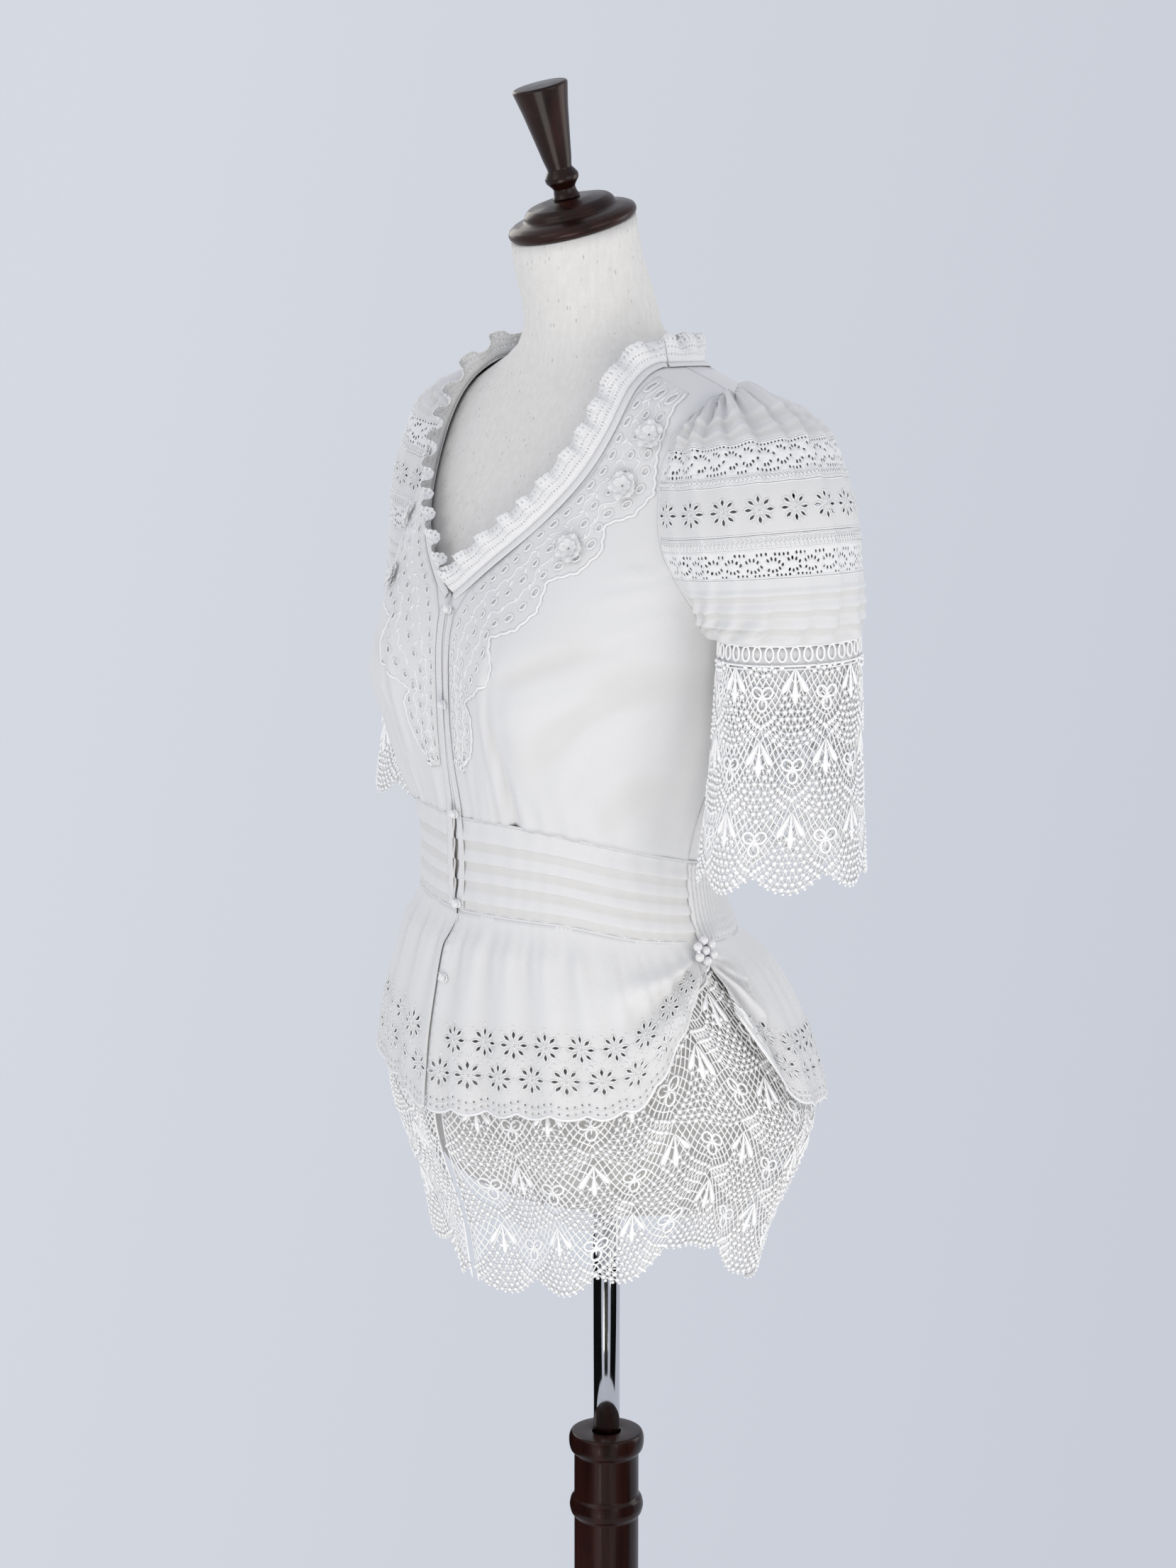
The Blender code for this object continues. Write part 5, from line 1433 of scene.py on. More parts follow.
def band_relief(share):
    """Height of the pintucks, and how sheer the cloth between them is, down the band."""
    relief = np.zeros(share.shape)
    sheer = np.zeros(share.shape)
    for tuck in TUCKS:
        off = share - tuck
        ridge = np.where(off <= 0, ramp(-0.16, -0.02, off), 1 - ramp(0.0, 0.022, off))
        relief = relief + BAND_TUCK * ridge * (off > -0.17) * (off < 0.05)
        sheer = np.maximum(sheer, ramp(0.0, 0.02, off) * (1 - ramp(0.105, 0.125, off)))
    return relief, sheer


def waist_fronts():
    crests = [tuck + np.array([-0.006, 0.004, 0.012, 0.022]) for tuck in TUCKS]
    share = np.unique(np.concatenate([np.linspace(0, 1, 50)] + crests))
    share = share[(share >= 0) & (share <= 1)][:, None]
    last = SIDE_SEAM - SEAM_HALF / 0.1
    across = np.linspace(0.0, 1.0, 68)[None, :]
    top, low = float(curve(TOP_SEAM, 0.0)), float(curve(LOW_SEAM, 0.0))
    edge = angle_at(BODY, curve(FRONT_EDGE, top + (low - top) * share), 1.085)
    angle = edge + (last - edge) * across
    high = seam(TOP_SEAM, angle) - SEAM_HALF
    base = seam(LOW_SEAM, angle) + SEAM_HALF
    z = high + (base - high) * share
    relief, sheer = band_relief(share)
    ripple = 0.28 * MM * np.sin(angle * 47.0 + 2.0 * np.sin(angle * 7.0 + share * 3.0))
    points, normals = on_body(angle, z, BAND_OUT * MM + ripple)
    for name, side in SIDES:
        grid, facing = on_side(side, points, normals)
        heap = Heap()
        shell(heap, grid, facing, CLOTH, relief + 0.3 * MM, tone=np.repeat(0.95 * sheer, 68, axis=1))
        item = make("tucked_waistband_" + name, heap, LOOKS["cotton"], "cotton", "waistband_" + name)
        stitches = Heap()
        for row in (1, len(share) - 2):
            stitch_row(stitches, grid[row], facing[row], 1.9, 0.75)
        make("waistband_stitches_" + name, stitches, LOOKS["stitch"], "cotton")


SHIR_PITCH = 0.0036
SHIR_DEPTH = 2.3 * MM
ELASTIC_ROWS = 9


def waist_back():
    count = 440
    first = SIDE_SEAM + SEAM_HALF / 0.1
    across = np.linspace(first, 2 * math.pi - SIDE_SEAM - SEAM_HALF / 0.1, count)[None, :]
    share = np.linspace(0.0, 1.0, 20)[:, None]
    angle = np.repeat(across, len(share), axis=0)
    high = seam(TOP_SEAM, angle) - SEAM_HALF
    low = seam(LOW_SEAM, angle) + SEAM_HALF
    z = high + (low - high) * share
    line = section_point(BODY, across[0], np.full(count, 1.07))
    steps = walked(line)[None, :]
    wander = 0.25 * np.sin(share * 9.0 + steps * 90.0)
    ribs = np.abs(np.sin(math.pi * steps / SHIR_PITCH + wander))
    pinch = np.abs(np.sin(math.pi * share * ELASTIC_ROWS)) ** 0.5
    relief = SHIR_DEPTH * ribs * (0.25 + 0.75 * pinch)
    points, normals = on_body(angle, z, np.full(z.shape, BAND_OUT * MM))
    heap = Heap()
    shell(heap, points, normals, CLOTH, relief)
    item = make("shirred_waistband", heap, LOOKS["cotton"], "cotton", "waistband_back")


# Eyelet daisies, shared by the peplum and the sleeves.

# Petals of a daisy; the inner and outer reach and the half width of one, in mm.
PETALS = 8
PETAL_IN = 4.1
PETAL_OUT = 9.6
PETAL_HALF = 1.15


def petal(centre, turn, grow=0.0, count=10):
    """Outline of one petal opening, pointed at both ends and fuller outward."""
    share = np.linspace(0.0, 1.0, count // 2 + 1)
    reach = (PETAL_IN - grow) + (PETAL_OUT - PETAL_IN + 2 * grow) * share
    half = (PETAL_HALF + grow) * np.sin(math.pi * share ** 1.15) ** 0.8
    side = np.concatenate([half, -half[-2:0:-1]])
    out = np.concatenate([reach, reach[-2:0:-1]])
    x = out * math.cos(turn) - side * math.sin(turn)
    y = out * math.sin(turn) + side * math.cos(turn)
    return centre + np.stack([x, y], axis=1) * MM


def daisies(centres):
    """Openings, raised rims, spokes and tips of daisies at places in pattern space."""
    holes, rims, spokes, tips = [], [], [], []
    for centre in centres:
        for k in range(PETALS):
            turn = 2 * math.pi * k / PETALS + math.pi / 2
            holes.append(petal(centre, turn))
            rims.append(petal(centre, turn, 0.45, 12))
            way = np.array([math.cos(turn), math.sin(turn)])
            spokes.append(centre + np.outer(np.linspace(0.4, PETAL_IN - 0.1, 3) * MM, way))
            if k % 2 == 1 or k in (0, 4):
                tips.append(centre + np.outer(np.linspace(PETAL_OUT + 1.3, PETAL_OUT + 4.6, 4) * MM, way))
    return holes, rims, spokes, tips


def sew_daisies(heap, place, rims, spokes, tips):
    lift = 0.3 * MM
    sew(heap, place, rims, 0.66 * MM, 0.52 * MM, 3, closed=True, lift=lift)
    sew(heap, place, spokes, np.array([0.5, 0.65, 0.35]) * MM, 0.45 * MM, 3, lift=lift)
    if len(tips):
        sew(heap, place, tips, np.array([0.1, 0.45, 0.75, 0.1]) * MM,
            np.array([0.1, 0.33, 0.4, 0.1]) * MM, 3, lift=lift)


# Peplum.

DAISY_PITCH = 0.0244
UPPER_DAISIES = 0.0500
LOWER_DAISIES = 0.0265
DAISY_MARGIN = 0.009
PEPLUM_RADIUS = 0.1505
PEPLUM_HEIGHT = 0.1335
HEM_SCALLOP = 4.2 * MM
PEPLUM_FRONT = 0.008
GATHER_DEPTH = 1.15 * MM
FOLD_DEPTH = 1.3 * MM
SWAG = (
    # turn round the brooch from level towards the front, rise, half width
    (12, 5.2, 5.0),
    (23, -3.8, 4.5),
    (33, 6.6, 5.0),
    (45, -4.4, 4.5),
    (55, 6.0, 5.0),
    (67, -3.2, 4.5),
    (78, 4.2, 6.0),
)


def peplum_relief(angle, z, top):
    """Fine gathers under the waistband and long soft folds below, and the swag drawn up to the brooch."""
    side = side_angle(angle)
    fine = np.cos(side * 74.0 + 1.7 * np.sin(side * 11.0)) * ramp(top - 0.060, top - 0.012, z)
    long_folds = np.sin(side * 33.0 + 1.4 * np.sin(side * 5.0 + 1.0))
    out = GATHER_DEPTH * fine * (1 - ramp(top - 0.006, top, z))
    out = out + FOLD_DEPTH * long_folds * (1 - ramp(top - 0.03, top, z))
    lee = (np.degrees(BROOCH_ANGLE) - np.degrees(side)) * math.pi / 180 * PEPLUM_RADIUS
    drop = BROOCH_Z - z
    reach = np.hypot(lee, drop)
    turn = np.degrees(np.arctan2(drop, np.abs(lee)))
    fade = ramp(0.006, 0.024, reach) * (1 - ramp(0.070, 0.125, reach))
    for at, rise, half_width in SWAG:
        out = out + rise * MM * np.exp(-((turn - at) / half_width) ** 2) * fade * (lee > -0.03)
    return out


def peplum_surface(hem, first, last, columns):
    rows, low = 70, -0.008
    angle = np.linspace(first, last, columns)[None, :]
    v = np.linspace(low, PEPLUM_HEIGHT, rows)[:, None]
    degrees = np.degrees(side_angle(angle))
    top = seam(LOW_SEAM, angle) - SEAM_HALF
    bottom = curve(hem, degrees)
    z = bottom + (top - bottom) * v / PEPLUM_HEIGHT
    angle = np.repeat(angle, rows, axis=0)
    out = hang(angle, z) + 0.6 * gathers(angle, z, top) + peplum_relief(angle, z, top)
    points = skirt_point(PEPLUM, angle, z, out)
    normals = facing_out(-grid_normals(points), points * LEVEL)
    return Surface(points, normals, (0.0, (last - first) * PEPLUM_RADIUS), (low, PEPLUM_HEIGHT))


def hem_outline(length, height, pitch, start, scallop):
    """Pattern outline of a strip with a scalloped lower edge."""
    u = np.linspace(0.0, length, int(length / pitch * 12))
    dip = scallop * (0.45 - np.abs(np.sin(math.pi * (u - start) / pitch)) ** 0.8)
    bottom = np.stack([u, dip], axis=1)
    rise = np.linspace(0.0, height, 30)[1:-1]
    right = level_line(rise, length)[:, ::-1]
    top = level_line(np.linspace(length, 0.0, int(length / 0.004)), height)
    left = level_line(rise[::-1], 0.0)[:, ::-1]
    return np.concatenate([bottom, right, top, left]), bottom


def peplums():
    first, last = PEPLUM_FRONT, SIDE_SEAM - SEAM_HALF / 0.12
    start = SIDE_SEAM + SEAM_HALF / 0.12
    jobs = (
        ("left", PEPLUM_HEM, first, last, 1, 190),
        ("right", PEPLUM_HEM, first, last, -1, 190),
        ("back", PEPLUM_BACK_HEM, start, 2 * math.pi - start, 1, 330),
    )
    for name, hem, low_angle, high_angle, side, columns in jobs:
        surface = peplum_surface(hem, low_angle, high_angle, columns)
        length = surface.across[1]
        place = surface.placed(TURNS[side])
        row_b = np.arange(0.5, length / DAISY_PITCH + 0.5) * DAISY_PITCH - 0.0022
        row_a = row_b - DAISY_PITCH / 2
        margin = DAISY_MARGIN
        centres = [np.array([u, UPPER_DAISIES]) for u in row_a if margin < u < length - margin]
        centres += [np.array([u, LOWER_DAISIES]) for u in row_b if margin < u < length - margin]
        holes, rims, spokes, tips = daisies(centres)
        cusp = row_b[0] - DAISY_PITCH / 2
        outline, edge = hem_outline(length, PEPLUM_HEIGHT, DAISY_PITCH, cusp, HEM_SCALLOP)
        pins = []
        for height in (0.0048, 0.0098):
            for u in np.arange(0.004, length - 0.004, 0.0049):
                phase = math.pi * (u - row_b[0] + DAISY_PITCH / 2) / DAISY_PITCH
                dip = HEM_SCALLOP * (0.45 - abs(math.sin(phase)))
                pins.append(oval(np.array([u, height + dip]), np.array([1.0, 0.0]), 0.75 * MM, 0.75 * MM, 6))

        def tone(flat):
            angle = low_angle + flat[:, 0] / PEPLUM_RADIUS
            top = seam(LOW_SEAM, angle) - SEAM_HALF
            bottom = curve(hem, np.degrees(side_angle(angle)))
            z = bottom + (top - bottom) * flat[:, 1] / PEPLUM_HEIGHT
            # The lower border is greyer as sheerer cloth; painted shade is added in the troughs of the
            # gathers and swags.
            border = 0.28 * (1 - ramp(0.060, 0.068, flat[:, 1]))
            return border + painted_crease_shade(peplum_relief(angle, z, top), 3.0 * MM)

        heap = Heap()
        cut_cloth(heap, outline, holes + pins, 3.9 * MM, place, EYELET_CLOTH, tone)
        item = make("peplum_cloth_" + name, heap, LOOKS["eyelet"], "cotton", "peplum_" + name)
        heap = Heap()
        sew_daisies(heap, place, rims, spokes, tips)
        sew(heap, place, edge + np.array([0.0, 1.1 * MM]), 1.25 * MM, 0.55 * MM, 4, lift=0.15 * MM)
        sew(heap, place, edge + np.array([0.0, 7.2 * MM]), 0.55 * MM, 0.40 * MM, 3, lift=0.25 * MM)
        links = []
        link = np.linspace(0.44, 0.56, 4)[:, None]
        for centre in centres:
            ahead = centre + np.array([DAISY_PITCH, 0.0])
            if ahead[0] < length - margin:
                links.append(centre + (ahead - centre) * link)
        for u in row_b:
            if 0.014 < u < length - 0.014:
                for shift in (-0.5, 0.5):
                    begin = np.array([u, LOWER_DAISIES])
                    finish = np.array([u + shift * DAISY_PITCH, UPPER_DAISIES])
                    links.append(begin + (finish - begin) * link)
        sew(heap, place, links, np.array([0.3, 0.8, 0.8, 0.3]) * MM, 0.40 * MM, 3, lift=0.3 * MM)
        make("peplum_embroidery_" + name, heap, LOOKS["stitch"], "cotton")


# Guipure lace, shared by the under-skirt and the cuffs.

TILE = 0.050
LACE_ROW = 0.045
MESH_COLUMNS = 10
MESH_ROWS = 12
SCALLOP_REACH = 6.0 * MM
NET_HALF = 0.74 * MM
NET_JITTER = 0.22 * MM
# Heights in a row of lace, as shares of it.
TULIP_TOP = 0.97
TREFOIL_AT = 0.56
# Drops of a tulip: turn from straight down, length in mm.
TULIP_DROPS = ((0.0, 23.5), (0.50, 18.5), (-0.50, 18.5))
# Rings of a trefoil: their turns in degrees and their distance from its middle.
TREFOIL_TURNS = (38, 142, 270)
TREFOIL_REACH = 4.7 * MM
# Net that comes closer to a ring's centre than this is left out.
RING_CLEAR = 3.0 * MM


def fish_scale(u, v, tile):
    """Shift that bends level rows of mesh into offset scallops."""
    low = 2 * np.abs(np.sin(math.pi * u / tile)) - 1
    high = 2 * np.abs(np.cos(math.pi * u / tile)) - 1
    blend = 0.5 - 0.5 * np.cos(math.pi * v / LACE_ROW)
    return -SCALLOP_REACH * (low * (1 - blend) + high * blend)


def in_fan(u, v, tile):
    """Whether mesh places lie in the knotted fans that hang under the tulips."""
    row = np.floor(v / LACE_ROW + 1e-6)
    share = (v - row * LACE_ROW) / LACE_ROW
    centre = np.where(row % 2 == 0, 0.5, 0.0) * tile
    off = np.abs((u - centre + tile / 2) % tile - tile / 2)
    return (off <= 0.5 * tile * (1 - share / 0.98) * 1.06) & (share < 0.60)


def net_runs(heap, place, spots, shown, half, lift):
    """Unbroken threads along the rows of a table of places, where each link is shown."""
    change = np.diff(np.pad(shown.astype(int), ((0, 0), (1, 1))), axis=1)
    row, first = np.nonzero(change == 1)
    length = np.nonzero(change == -1)[1] - first
    for size in np.unique(length):
        chosen = length == size
        along = first[chosen][:, None] + np.arange(size + 1)
        sew(heap, place, spots[row[chosen][:, None], along], half, half * 0.9, 3, lift=lift)


def guipure(heap, raised, place, tiles, tile, keep, height, wrapped=False, plain=None, seed=3):
    """Corded lace: a bent diamond net, fans of knots, tulips of three drops, and trefoils."""
    chance = np.random.default_rng(seed)
    columns = tiles * MESH_COLUMNS
    rows = int(height / LACE_ROW * MESH_ROWS) + 1
    i, j = np.meshgrid(np.arange(columns if wrapped else columns + 1), np.arange(rows))
    step = tile / MESH_COLUMNS
    u = (i + 0.5 * (j % 2)) * step
    v = j * LACE_ROW / MESH_ROWS
    fan = in_fan(u, v, tile)
    shifted = v + fish_scale(u, v, tile)
    jitter = chance.normal(0.0, NET_JITTER, (2,) + u.shape)
    flat = np.stack([u + jitter[0], shifted + jitter[1]], axis=-1)
    limit = tiles * tile
    if not wrapped:
        flat[..., 0] = np.clip(flat[..., 0], 0.0, limit)
    good = keep(flat)
    width = u.shape[1]
    if plain is not None:
        fan = fan & ~plain(flat)
    packed = fan & good
    trefoils, tulips = [], []
    for row in range(int(height / LACE_ROW) + 1):
        for k in range(-1, tiles + 1):
            middle = (k + (0.5 if row % 2 == 0 else 0.0)) * tile
            tulips.append((middle, row * LACE_ROW + TULIP_TOP * LACE_ROW))
            trefoils.append((middle + tile / 2, row * LACE_ROW + TREFOIL_AT * LACE_ROW))
    for chosen in (tulips, trefoils):
        if wrapped:
            chosen[:] = [t for t in chosen if 0 <= t[0] < limit - 1e-6]
        else:
            chosen[:] = [t for t in chosen if 0.006 < t[0] < limit - 0.006]
        chosen[:] = [t for t in chosen if keep(np.array([t]))[0]]
        if plain is not None:
            chosen[:] = [t for t in chosen if not plain(np.array([t]))[0]]
    rings = []
    tongues = []
    centres = []
    for middle, height_at in trefoils:
        for turn in np.radians(TREFOIL_TURNS):
            way = np.array([math.cos(turn), math.sin(turn)])
            centre = np.array([middle, height_at]) + way * TREFOIL_REACH
            centres.append(centre)
            rings.append(oval(centre, way, 4.0 * MM, 3.3 * MM, 10))
            tongues.append(np.array([middle, height_at]) + np.outer(np.linspace(1.4, 4.8, 3) * MM, way))
    level = np.arange(rows)[None, :]
    line = np.arange(0 if wrapped else -rows, width if wrapped else width + rows)[:, None]
    for column in (line + level // 2, line - (level + 1) // 2):
        inner = column % width
        spots = flat[level, inner]
        spots[..., 0] += (column - inner) // width * limit
        whole = good[level, inner]
        if not wrapped:
            whole = whole & (inner == column)
        middle = (spots[:, :-1] + spots[:, 1:]) / 2
        if wrapped:
            middle[..., 0] %= limit
        shown = whole[:, :-1] & whole[:, 1:]
        shown[shown] = clearance(middle[shown], centres) > RING_CLEAR
        if plain is not None:
            shown &= ~plain(middle) | (line % 3 == 0)
        net_runs(heap, place, spots, shown, NET_HALF, 0.0)
    net_runs(heap, place, flat, packed[:, :-1] & packed[:, 1:], 0.55 * MM, 0.1 * MM)
    knots = flat[packed]
    points, normals = place(knots)
    blobs(raised, points, normals, chance.uniform(1.85, 2.30, len(knots)) * MM, 1.35 * MM, 5, 0.65 * MM)
    sew(raised, place, rings, 1.00 * MM, 0.80 * MM, 4, closed=True, lift=0.60 * MM)
    sew(raised, place, tongues, np.array([0.7, 0.6, 0.45]) * MM, 0.5 * MM, 4, lift=0.45 * MM)
    drops = []
    for middle, height_at in tulips:
        for turn, length in TULIP_DROPS:
            way = np.array([math.sin(turn), -math.cos(turn)])
            drops.append(np.array([middle, height_at]) + np.outer(np.linspace(0.5, length, 8) * MM, way))
    sew(raised, place, drops, np.array([0.40, 0.60, 0.80, 1.15, 1.75, 2.30, 2.05, 0.25]) * MM,
        np.array([0.4, 0.5, 0.6, 0.7, 0.85, 0.95, 0.85, 0.2]) * MM, 5, lift=0.6 * MM)
    picots = np.arange(0.25, columns) * step
    hem = np.stack([picots, fish_scale(picots, np.zeros(len(picots)), tile) - 2.3 * MM], axis=1)
    points, normals = place(hem)
    blobs(raised, points, normals, 1.35 * MM, 1.0 * MM, 6, 0.2 * MM, 0.1)
    line = np.arange(0, columns * 4 + 1) * step / 4
    line = line[:-1] if wrapped else line
    dips = 1.0 * MM * np.abs(np.sin(2 * math.pi * line / step))
    path = np.stack([line, fish_scale(line, np.zeros(len(line)), tile) - dips], axis=1)
    sew(raised, place, path, 0.60 * MM, 0.60 * MM, 3, closed=wrapped)


UNDER_FIRST = 0.030
UNDER_LAST = math.pi - 0.0016


def drape(angle, z):
    """Extra fullness of the lace skirt: cascades beside the front opening and towards the sides."""
    side = np.degrees(side_angle(angle))
    low = 1 - ramp(0.80, 0.93, z)
    out = 2.2 * MM * np.sin(side / 3.1 + 0.6) * np.exp(-(side / 26.0) ** 2)
    out = out + 1.8 * MM * np.sin(side / 4.4) * np.exp(-((side - 84.0) / 20.0) ** 2)
    return out * low + 0.8 * MM * np.sin(side / 5.2 + z * 30.0) * (1 - ramp(0.95, 1.02, z))


def lace_skirts():
    columns, rows = 300, 110
    low, high = -0.012, 0.262
    angle = np.repeat(np.linspace(UNDER_FIRST, UNDER_LAST, columns)[None, :], rows, axis=0)
    v = np.linspace(low, high, rows)[:, None]
    top = seam(LOW_SEAM, angle) - SEAM_HALF - 0.1 * MM
    hem = curve(UNDER_HEM, np.degrees(angle))
    z = np.minimum(hem + v, top)
    points = skirt_point(UNDER, angle, z, hang(angle, z) + drape(angle, z))
    ahead = skirt_point(UNDER, angle + 0.01, z, hang(angle + 0.01, z) + drape(angle + 0.01, z))
    below = skirt_point(UNDER, angle, z - 0.001, hang(angle, z - 0.001) + drape(angle, z - 0.001))
    normals = unit(np.cross(ahead - points, points - below))
    width = UNDER_SCALLOPS * TILE
    surface = Surface(points, normals, (0.0, width), (low, high))
    top_line = (top - hem)[0]

    def keep(flat):
        limit = np.interp(flat[..., 0], np.linspace(0.0, width, columns), top_line)
        return flat[..., 1] < limit - 0.0006

    def hidden(flat):
        at = np.degrees(UNDER_FIRST + (UNDER_LAST - UNDER_FIRST) * flat[..., 0] / width)
        cover = np.where(at < 96.0, curve(PEPLUM_HEM, at), curve(PEPLUM_BACK_HEM, at))
        return flat[..., 1] + curve(UNDER_HEM, at) > cover + 0.030

    for name, side in SIDES:
        place = surface.placed(TURNS[side])
        heap, raised = Heap(), Heap()
        guipure(heap, raised, place, UNDER_SCALLOPS, TILE, keep, high, plain=hidden, seed=3 + side)
        for u in (0.0, width):
            v_line = np.linspace(-0.004, top_line[0 if u == 0 else -1] - 0.001, 90)
            sew(heap, place, np.stack([np.full(90, u), v_line], axis=1), 0.8 * MM, 0.7 * MM, 5)
        item = make("guipure_skirt_" + name, heap, LOOKS["guipure"], "lace", "lace_skirt_" + name)
        make("guipure_skirt_relief_" + name, raised, LOOKS["guipure"], "lace")


# Seams.

def seam_cords():
    """Narrow rolled seams round the armholes and along the waist."""
    rise = np.linspace(UNDERARM + 0.001, SHOULDER - 0.0005, 80)
    front, back = armhole_point(rise, 1), armhole_point(rise, 2)
    loop = np.concatenate([front, back[::-1]])
    centre = np.array([0.10, 0.0, 1.31])
    facing = unit((loop - centre) * np.array([1.0, 1.0, 0.6]))
    heap = Heap()
    for turn in (np.ones(3), FLIP):
        cords(heap, (loop * turn)[None], (facing * turn)[None], 1.0 * MM, 0.9 * MM, 5, closed=True)
    make("armhole_seams", heap, LOOKS["cotton"], "cotton")
    heap = Heap()
    for table, out in ((TOP_SEAM, 3.1), (LOW_SEAM, 3.0)):
        angle = np.linspace(0.02, 2 * math.pi - 0.02, 300)
        points, normals = on_body(angle, seam(table, angle), np.full(300, out * MM))
        cords(heap, points[None], normals[None], 1.1 * MM, 0.60 * MM, 4)
    make("waist_seams", heap, LOOKS["cotton"], "cotton")


# Sleeves.

SLEEVE_WIDE = 0.262
BANDS = (
    # name, kind, first_row, last_row, height
    ("sleeve_cap", "cap", 0, 4, 0.062),
    ("sleeve_lace_upper", "lace_up", 4, 5, 0.0255),
    ("sleeve_eyelet", "eyelet", 5, 7, 0.0330),
    ("sleeve_lace_lower", "lace_down", 7, 8, 0.0265),
    ("sleeve_tucks", "tucks", 8, 12, 0.0455),
)
PLEATS = (
    # share, rise, width
    (-0.86, 2.0, 0.075),
    (-0.69, 2.6, 0.070),
    (-0.52, 1.6, 0.080),
    (-0.36, 2.4, 0.085),
    (-0.16, 1.4, 0.090),
    (0.02, 2.2, 0.090),
    (0.24, 1.5, 0.090),
    (0.43, 2.2, 0.085),
    (0.62, 1.7, 0.080),
    (0.82, 2.0, 0.075),
)


def sleeve_points(w, share):
    """Points of the sleeve at fractional rows and shares round it, from its front edge to its back edge."""
    index = np.arange(len(SLEEVE), dtype=float)
    table = np.column_stack([index, np.array(SLEEVE)])
    edge_z, outer_z, outer_x, centre_x, reach_y = (curve(table, w, k) for k in range(1, 6))
    reach_x = outer_x - centre_x
    safe_z = np.maximum(edge_z, SLEEVE[-2][0])
    closing = ramp(11.0, 12.0, w)
    front, back = armhole_point(safe_z, 1), armhole_point(safe_z, 2)
    shut = np.stack([2 * centre_x - outer_x, np.full(w.shape, SLEEVE_Y), edge_z], axis=-1)
    front = front * (1 - closing[..., None]) + shut * closing[..., None]
    back = back * (1 - closing[..., None]) + shut * closing[..., None]
    middle = 0.5 * (front[..., 0] + back[..., 0])
    limit = np.arccos(np.clip((middle - centre_x) / reach_x, -0.95, 0.9))
    limit = limit * (1 - closing) + math.pi * closing
    turn = share * limit
    lift = ((1 + np.cos(share * math.pi)) / 2) ** 0.8
    points = np.stack([centre_x + reach_x * np.cos(turn), SLEEVE_Y + reach_y * np.sin(turn),
                       edge_z + (outer_z - edge_z) * lift], axis=-1)
    for end, sign in ((front, -1.0), (back, 1.0)):
        tip_y = SLEEVE_Y + sign * reach_y * np.sin(limit)
        tip = np.stack([centre_x + reach_x * np.cos(limit), tip_y, edge_z], axis=-1)
        weight = np.clip(sign * share, 0.0, 1.0) ** 3
        points = points + weight[..., None] * (end - tip)
    return points


def pleated(w, share):
    """Pleats that start at the gathered cap, soften over the bands and tighten again at the cuff."""
    deep = 1.25 * (1 - ramp(2.5, 5.5, w)) + 0.42 + 0.75 * ramp(8.5, 11.5, w)
    out = np.zeros(np.broadcast(w, share).shape)
    for at, rise, width in PLEATS:
        place = at + 0.018 * np.sin(w * 0.9 + at * 7.0)
        off = share - place
        steep = np.exp(-(off / (0.30 * width)) ** 2)
        out = out + rise * MM * np.where(off < 0, np.exp(-(off / width) ** 2), steep)
    depth = 0.9 * (1 - ramp(0.4, 3.0, w)) + 0.45 * ramp(10.0, 12.0, w)
    gather = np.sin(share * 61.0 + 2.0 * np.sin(share * 9.0)) * depth
    return (out - 1.1 * MM) * deep * 1.9 + 1.5 * MM * gather


SLEEVE_TUCK = 1.35 * MM
# Rows of the sleeve at which its pintucks lie.
TUCK_ROWS = (2.45, 3.35, 9.0, 10.0, 11.0, 11.9)


def tucked(w):
    """Pintucks of the cap and of the lower sleeve, and how sheer the cloth between them is."""
    relief = np.zeros(w.shape)
    sheer = np.zeros(w.shape)
    for line in TUCK_ROWS:
        off = w - line
        span = 0.42 if line < 4 else 0.55
        ridge = np.where(off <= 0, ramp(-span, -0.08, off), 1 - ramp(0.0, 0.09, off))
        relief = relief + SLEEVE_TUCK * ridge * (off > -span) * (off < 0.1)
        sheer = np.maximum(sheer, ramp(0.0, 0.06, off) * (1 - ramp(0.40, 0.48, off)))
    return relief, sheer


def sleeve_surface():
    share, w = np.meshgrid(np.linspace(-1.0, 1.0, 321), np.linspace(0.0, 12.0, 241))
    points = sleeve_points(w, share)
    centre = np.array([0.165, SLEEVE_Y, 1.30])
    normals = facing_out(-grid_normals(points), points - centre)
    edge = ramp(0.0, 0.10, 1 - np.abs(share))
    open_end = 1 - ramp(11.6, 12.0, w) * 0.8
    relief, _ = tucked(w)
    out = (pleated(w, share) * open_end + relief) * edge
    points = points + normals * out[..., None]
    return Surface(points, facing_out(-grid_normals(points), normals), (-1.0, 1.0), (0.0, 12.0))


def slits(line, spacing, long_half, short_half):
    """Row of small slits across a pattern line."""
    steps = walked(line)
    at = np.arange(spacing, steps[-1] - spacing, spacing)
    spots = read_along(at, steps, line)
    heading = unit(read_along(at, steps, np.gradient(line, axis=0)))
    return [oval(p, np.array([-h[1], h[0]]), long_half, short_half, 6) for p, h in zip(spots, heading)]


def wave_line(length, level, height, pitch):
    u = np.linspace(0.003, length - 0.003, 700)
    return np.stack([u, level + height * np.sin(2 * math.pi * u / pitch)], axis=1)


